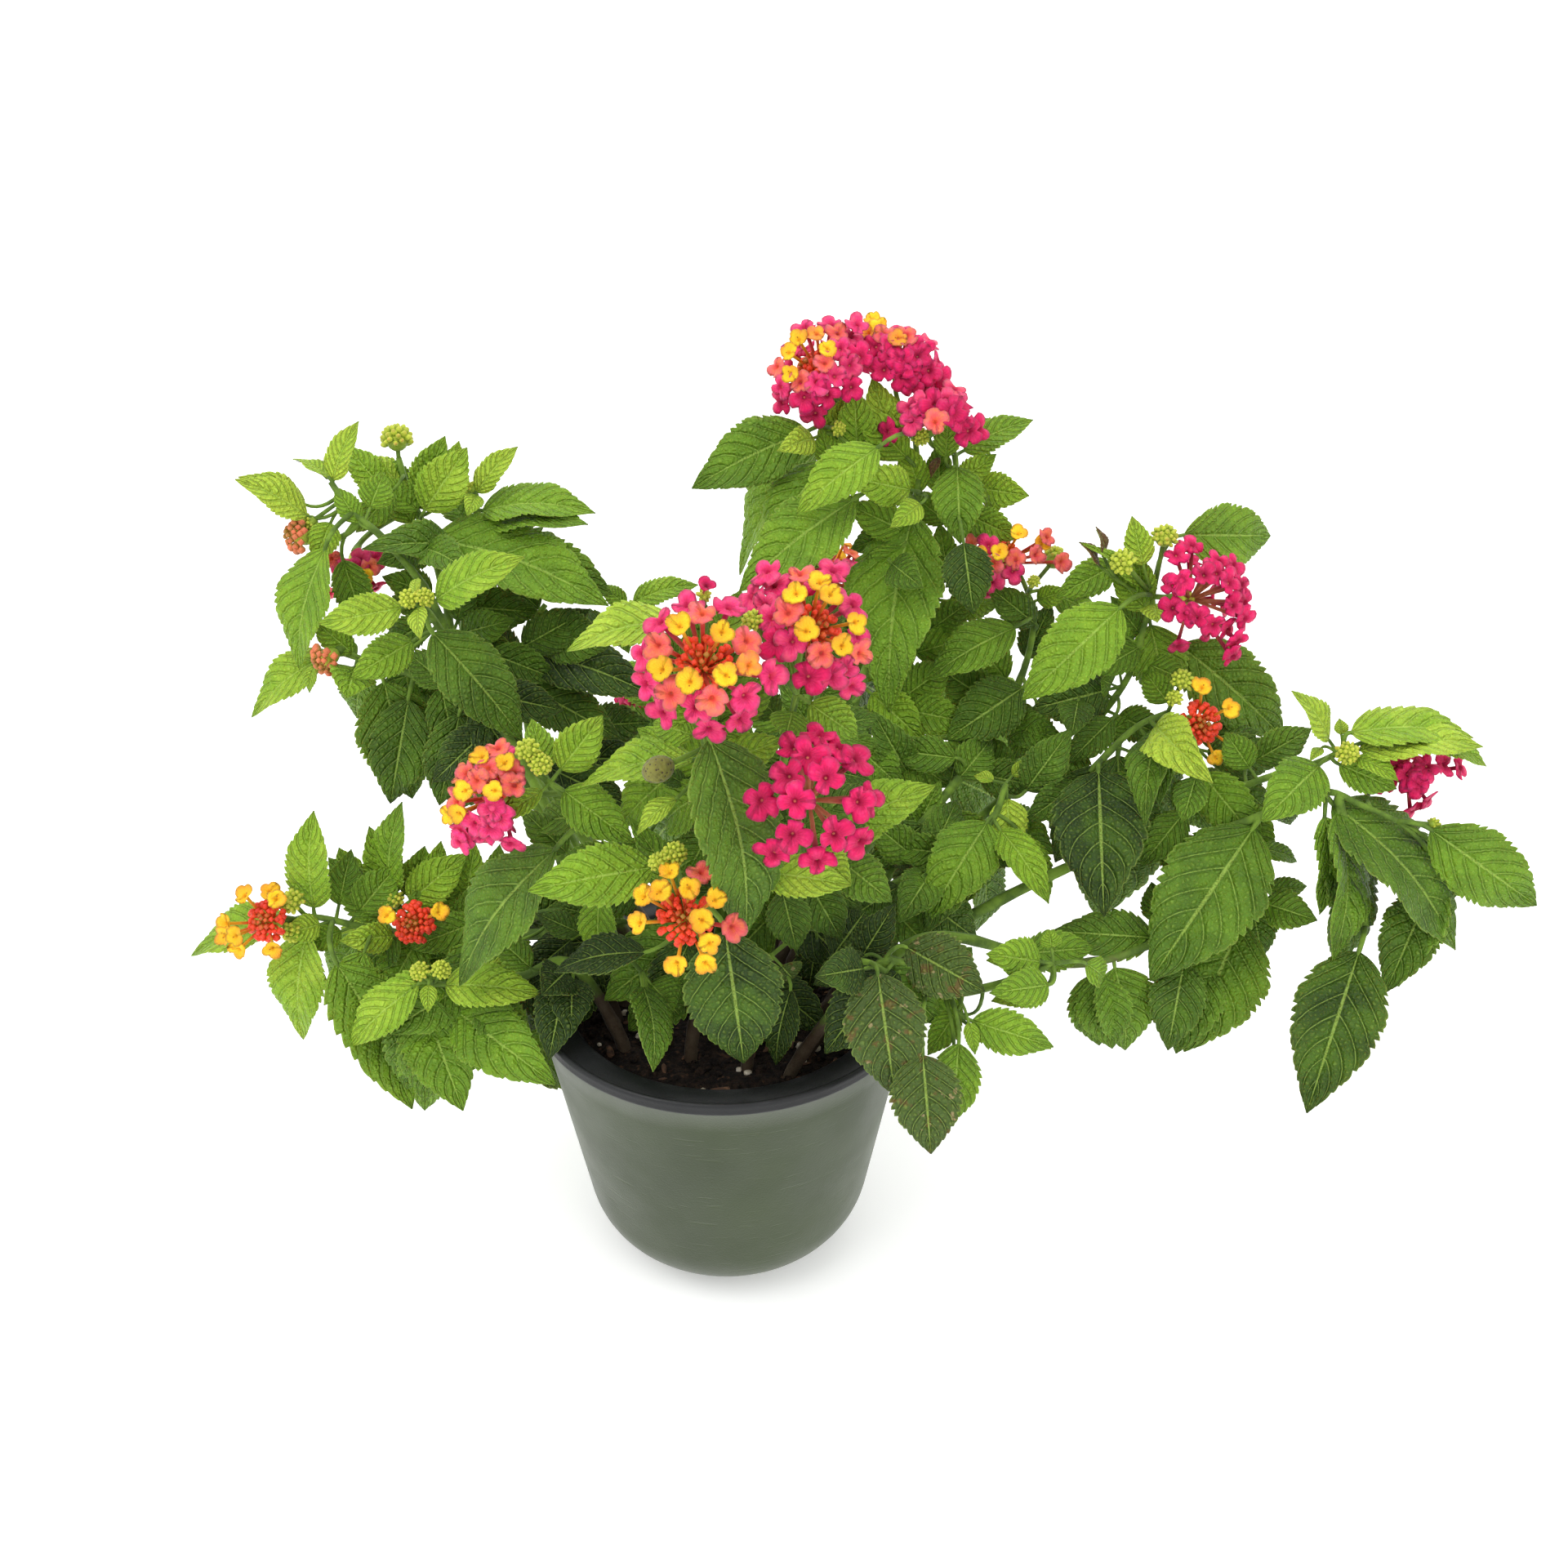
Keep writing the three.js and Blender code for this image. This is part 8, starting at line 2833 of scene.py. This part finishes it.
    def drill(self, pot: bpy.types.Object) -> None:
        """Cuts the drain holes.

        Args:
            pot: the pot's object, whose mesh is replaced.
        """
        cutter = bmesh.new()
        for index in range(self.drains):
            turn = TURN * (index + 0.5) / self.drains
            right, back = self.drain_ring * math.cos(turn) * MM, self.drain_ring * math.sin(turn) * MM
            place = Matrix.Translation((right, back, self.floor / 2 * MM))
            bmesh.ops.create_cone(
                cutter, cap_ends=True, segments=self.drain_sides, radius1=self.drain_radius * MM,
                radius2=self.drain_radius * MM, depth=4 * self.floor * MM, matrix=place)
        mesh = bpy.data.meshes.new("drains")
        cutter.to_mesh(mesh)
        cutter.free()
        drains = bpy.data.objects.new("drains", mesh)
        bpy.context.scene.collection.objects.link(drains)
        cut = pot.modifiers.new("drains", "BOOLEAN")
        cut.operation, cut.object, cut.solver = "DIFFERENCE", drains, "EXACT"
        seen = pot.evaluated_get(bpy.context.evaluated_depsgraph_get())
        drilled = bpy.data.meshes.new_from_object(seen)
        pot.modifiers.clear()
        pot.data = drilled
        bpy.data.objects.remove(drains)


@dataclass(frozen=True)
class Grains:
    """One kind of loose grain: its finish, how many there are and how small and large they get."""

    finish: Finish
    count: int
    sizes: tuple[float, float]


@dataclass
class SoilBed:
    """The potting mix: a rough bed with crumbs, perlite and bark lying on it."""

    level: float = 104.0
    gap: float = 0.35
    clear: float = 1.0
    skin: float = 0.01
    rings: int = 34
    steps: int = 110
    lumps: float = 0.11
    smoothness: float = 0.8
    finer: float = 2.1
    octaves: int = 4
    relief: float = 1.1
    crumbs: float = 0.6
    crumb_relief: float = 0.35
    swell: float = 1.4
    swell_ring: float = 48.0
    swell_width: float = 16.0
    kinds: tuple[Grains, ...] = (
        Grains(SOIL, 260, (0.8, 2.2)), Grains(PERLITE, 46, (0.9, 2.1)), Grains(BARK, 60, (1.0, 2.4)))
    margin: float = 3.0
    apart: float = 99.0
    grain_lumps: float = 1.3
    grain_relief: float = 0.35
    grain_squash: tuple[float, float, float] = (1.0, 1.0, 0.75)
    bark_squash: tuple[float, float, float] = (1.9, 0.7, 0.45)
    grain_tilt: float = 0.4
    grain_rise: float = 0.25

    def ground(self, right: float, back: float) -> float:
        """The height of the bed's surface at a place.

        Args:
            right: how far right of the axis the place is.
            back: how far behind it.

        Returns:
            The height in millimetres.
        """
        radius = math.hypot(right, back)
        place = Vector((right, back, 0.0))
        rough = noise.fractal(place * self.lumps, self.smoothness, self.finer, self.octaves)
        rough += self.crumb_relief * noise.noise(place * self.crumbs)
        swell = self.swell * math.exp(-((radius - self.swell_ring) / self.swell_width) ** 2)
        return self.level + swell + self.relief * rough

    def build(self, pot: Pot) -> list[bpy.types.Object]:
        """Builds the bed and its grains in place of the soil's solid.

        Args:
            pot: the pot that it fills.

        Returns:
            The objects of the bed and of the grains.
        """
        side = pot.side(pot.wall + self.gap)
        low, high = pot.floor + self.gap + self.clear, self.level - self.clear
        wall = [point for point in side[1:] if low < point[1] < high]
        heights, widths = [point[1] for point in side], [point[0] for point in side]
        radius = float(np.interp(self.level, heights, widths))
        top = [(radius * share, self.level) for share in np.linspace(1, 0, self.rings)]
        profile = [(0.0, pot.floor + self.gap), (pot.foot_radius, pot.floor + self.gap)] + wall + top
        form = Form.turned("soil_turned", profile, self.steps)
        points = form.points.copy()
        for row in points:
            if row[2] > self.level - self.skin:
                row[2] = self.ground(row[0], row[1])
        bed = Piece("soil_bed", [SOIL])
        bed.add(form, points, SOIL, (0.0, 0.0, 0.0))
        grains = Piece("soil_grains", [kind.finish for kind in self.kinds])
        chance = random.Random("grains")
        for kind in self.kinds:
            for _ in range(kind.count):
                size = chance.uniform(*kind.sizes)
                self.grain(grains, kind.finish, chance, size, pot.liner_radius - self.margin)
        return [bed.made("soil", "soil"), grains.made("soil", flat=True)]

    def grain(self, piece: Piece, finish: Finish, chance: random.Random, size: float, limit: float) -> None:
        """Adds one grain, half sunk in the bed.

        Args:
            piece: the grains' piece.
            finish: the grain's finish.
            chance: the grains' random numbers.
            size: its radius.
            limit: how far from the axis it can lie.
        """
        if "grain" not in FORMS:
            shape = bmesh.new()
            bmesh.ops.create_icosphere(shape, subdivisions=2, radius=1)
            FORMS["grain"] = Form.kept("grain", shape)
        form = FORMS["grain"]
        radius, turn = limit * math.sqrt(chance.random()), chance.uniform(0, TURN)
        right, back = radius * math.cos(turn), radius * math.sin(turn)
        shift = Vector((chance.uniform(0, self.apart), chance.uniform(0, self.apart), 0))
        lumps = np.array([1 + self.grain_relief * noise.noise(Vector(point) * self.grain_lumps + shift)
                          for point in form.points])
        squash = vec(*self.bark_squash) if finish is BARK else vec(*self.grain_squash)
        spin = Matrix.Rotation(chance.uniform(0, TURN), 3, "Z")
        tilt = Matrix.Rotation(chance.uniform(-self.grain_tilt, self.grain_tilt), 3, "X")
        points = (form.points * lumps[:, None] * squash * size) @ np.array(spin @ tilt).T
        place = vec(right, back, self.ground(right, back) + self.grain_rise * size)
        piece.add(form, points + place, finish, (0.0, 0.0, 0.0))


# ---- the studio ----------------------------------------------------------------------------------
@dataclass(frozen=True)
class Lamp:
    """A wide soft light: its name, place, size in metres and power in watts."""

    name: str
    place: tuple[float, float, float]
    size: float
    power: float


@dataclass
class Studio:
    """A plain pale floor, soft light and the camera."""

    lens: float = 37.5
    sensor: float = 36.0
    clip: tuple[float, float] = (0.01, 100.0)
    lamps: tuple[Lamp, ...] = (
        Lamp("key_light", (-0.9, -0.5, 1.9), 1.5, 15.0),
        Lamp("back_light", (0.5, 1.3, 1.8), 1.6, 10.0),
        Lamp("fill_light", (1.2, -1.4, 1.0), 1.6, 5.0),
    )
    aim: tuple[float, float, float] = (0.0, 0.0, 0.2)
    surroundings: Colour = (1.0, 1.0, 1.0, 1.0)
    surroundings_light: float = 1.05
    floor_size: float = 40.0
    floor_colour: Colour = srgb(253, 253, 253)
    floor_roughness: float = 0.9
    floor_glow: float = 0.25

    def set_up(self) -> None:
        """Adds the camera, the lights, the surroundings and the floor."""
        self.add_camera()
        for lamp in self.lamps:
            self.add_light(lamp)
        world = bpy.data.worlds.new("soft_surroundings")
        world.use_nodes = True
        background = world.node_tree.nodes["Background"]
        background.inputs["Color"].default_value = self.surroundings
        background.inputs["Strength"].default_value = self.surroundings_light
        bpy.context.scene.world = world
        bpy.context.scene.view_settings.view_transform = "Standard"
        self.add_floor()

    def add_camera(self) -> None:
        """Stands the camera where the sheet's eye is."""
        data = bpy.data.cameras.new("camera")
        data.lens, data.sensor_width = self.lens, self.sensor
        data.clip_start, data.clip_end = self.clip
        camera = bpy.data.objects.new("camera", data)
        bpy.context.scene.collection.objects.link(camera)
        turn = Matrix((SHEET.right, SHEET.upward, -SHEET.ahead)).transposed()
        camera.matrix_world = Matrix.Translation(Vector(SHEET.eye) * MM) @ turn.to_4x4()
        bpy.context.scene.camera = camera

    def add_light(self, lamp: Lamp) -> None:
        """Adds a light that shines at the plant.

        Args:
            lamp: what the light is like.
        """
        data = bpy.data.lights.new(lamp.name, "AREA")
        data.energy, data.size = lamp.power, lamp.size
        light = bpy.data.objects.new(lamp.name, data)
        bpy.context.scene.collection.objects.link(light)
        light.location = lamp.place
        shine = Vector(self.aim) - Vector(lamp.place)
        light.rotation_euler = shine.to_track_quat("-Z", "Y").to_euler()

    def add_floor(self) -> None:
        """Lays the floor."""
        shape = bmesh.new()
        bmesh.ops.create_grid(shape, x_segments=1, y_segments=1, size=self.floor_size / 2)
        mesh = bpy.data.meshes.new("floor")
        shape.to_mesh(mesh)
        shape.free()
        floor = bpy.data.objects.new("floor", mesh)
        bpy.context.scene.collection.objects.link(floor)
        material = bpy.data.materials.new("pale_floor")
        material.use_nodes = True
        shader = material.node_tree.nodes["Principled BSDF"]
        shader.inputs["Base Color"].default_value = self.floor_colour
        shader.inputs["Roughness"].default_value = self.floor_roughness
        shader.inputs["Emission Color"].default_value = self.floor_colour
        shader.inputs["Emission Strength"].default_value = self.floor_glow
        mesh.materials.append(material)


def main() -> None:
    """Builds every piece in order."""
    logging.basicConfig(level=logging.INFO, format="%(name)s: %(message)s")
    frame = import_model()
    nodes = frame["nodes"]
    Studio().set_up()
    pot = Pot()
    pot.build()
    pot.line_mouth()
    SoilBed().build(pot)
    heads = [FlowerHead(entry) for entry in HEADS]
    for branch in BRANCHES:
        LeafyBranch(branch, [head for head in heads if head.entry.on == branch.name]).build(nodes)
    for head in heads:
        head.build(nodes)
    for form in FORMS.values():
        bpy.data.meshes.remove(form.mesh)


if __name__ == "__main__":
    main()
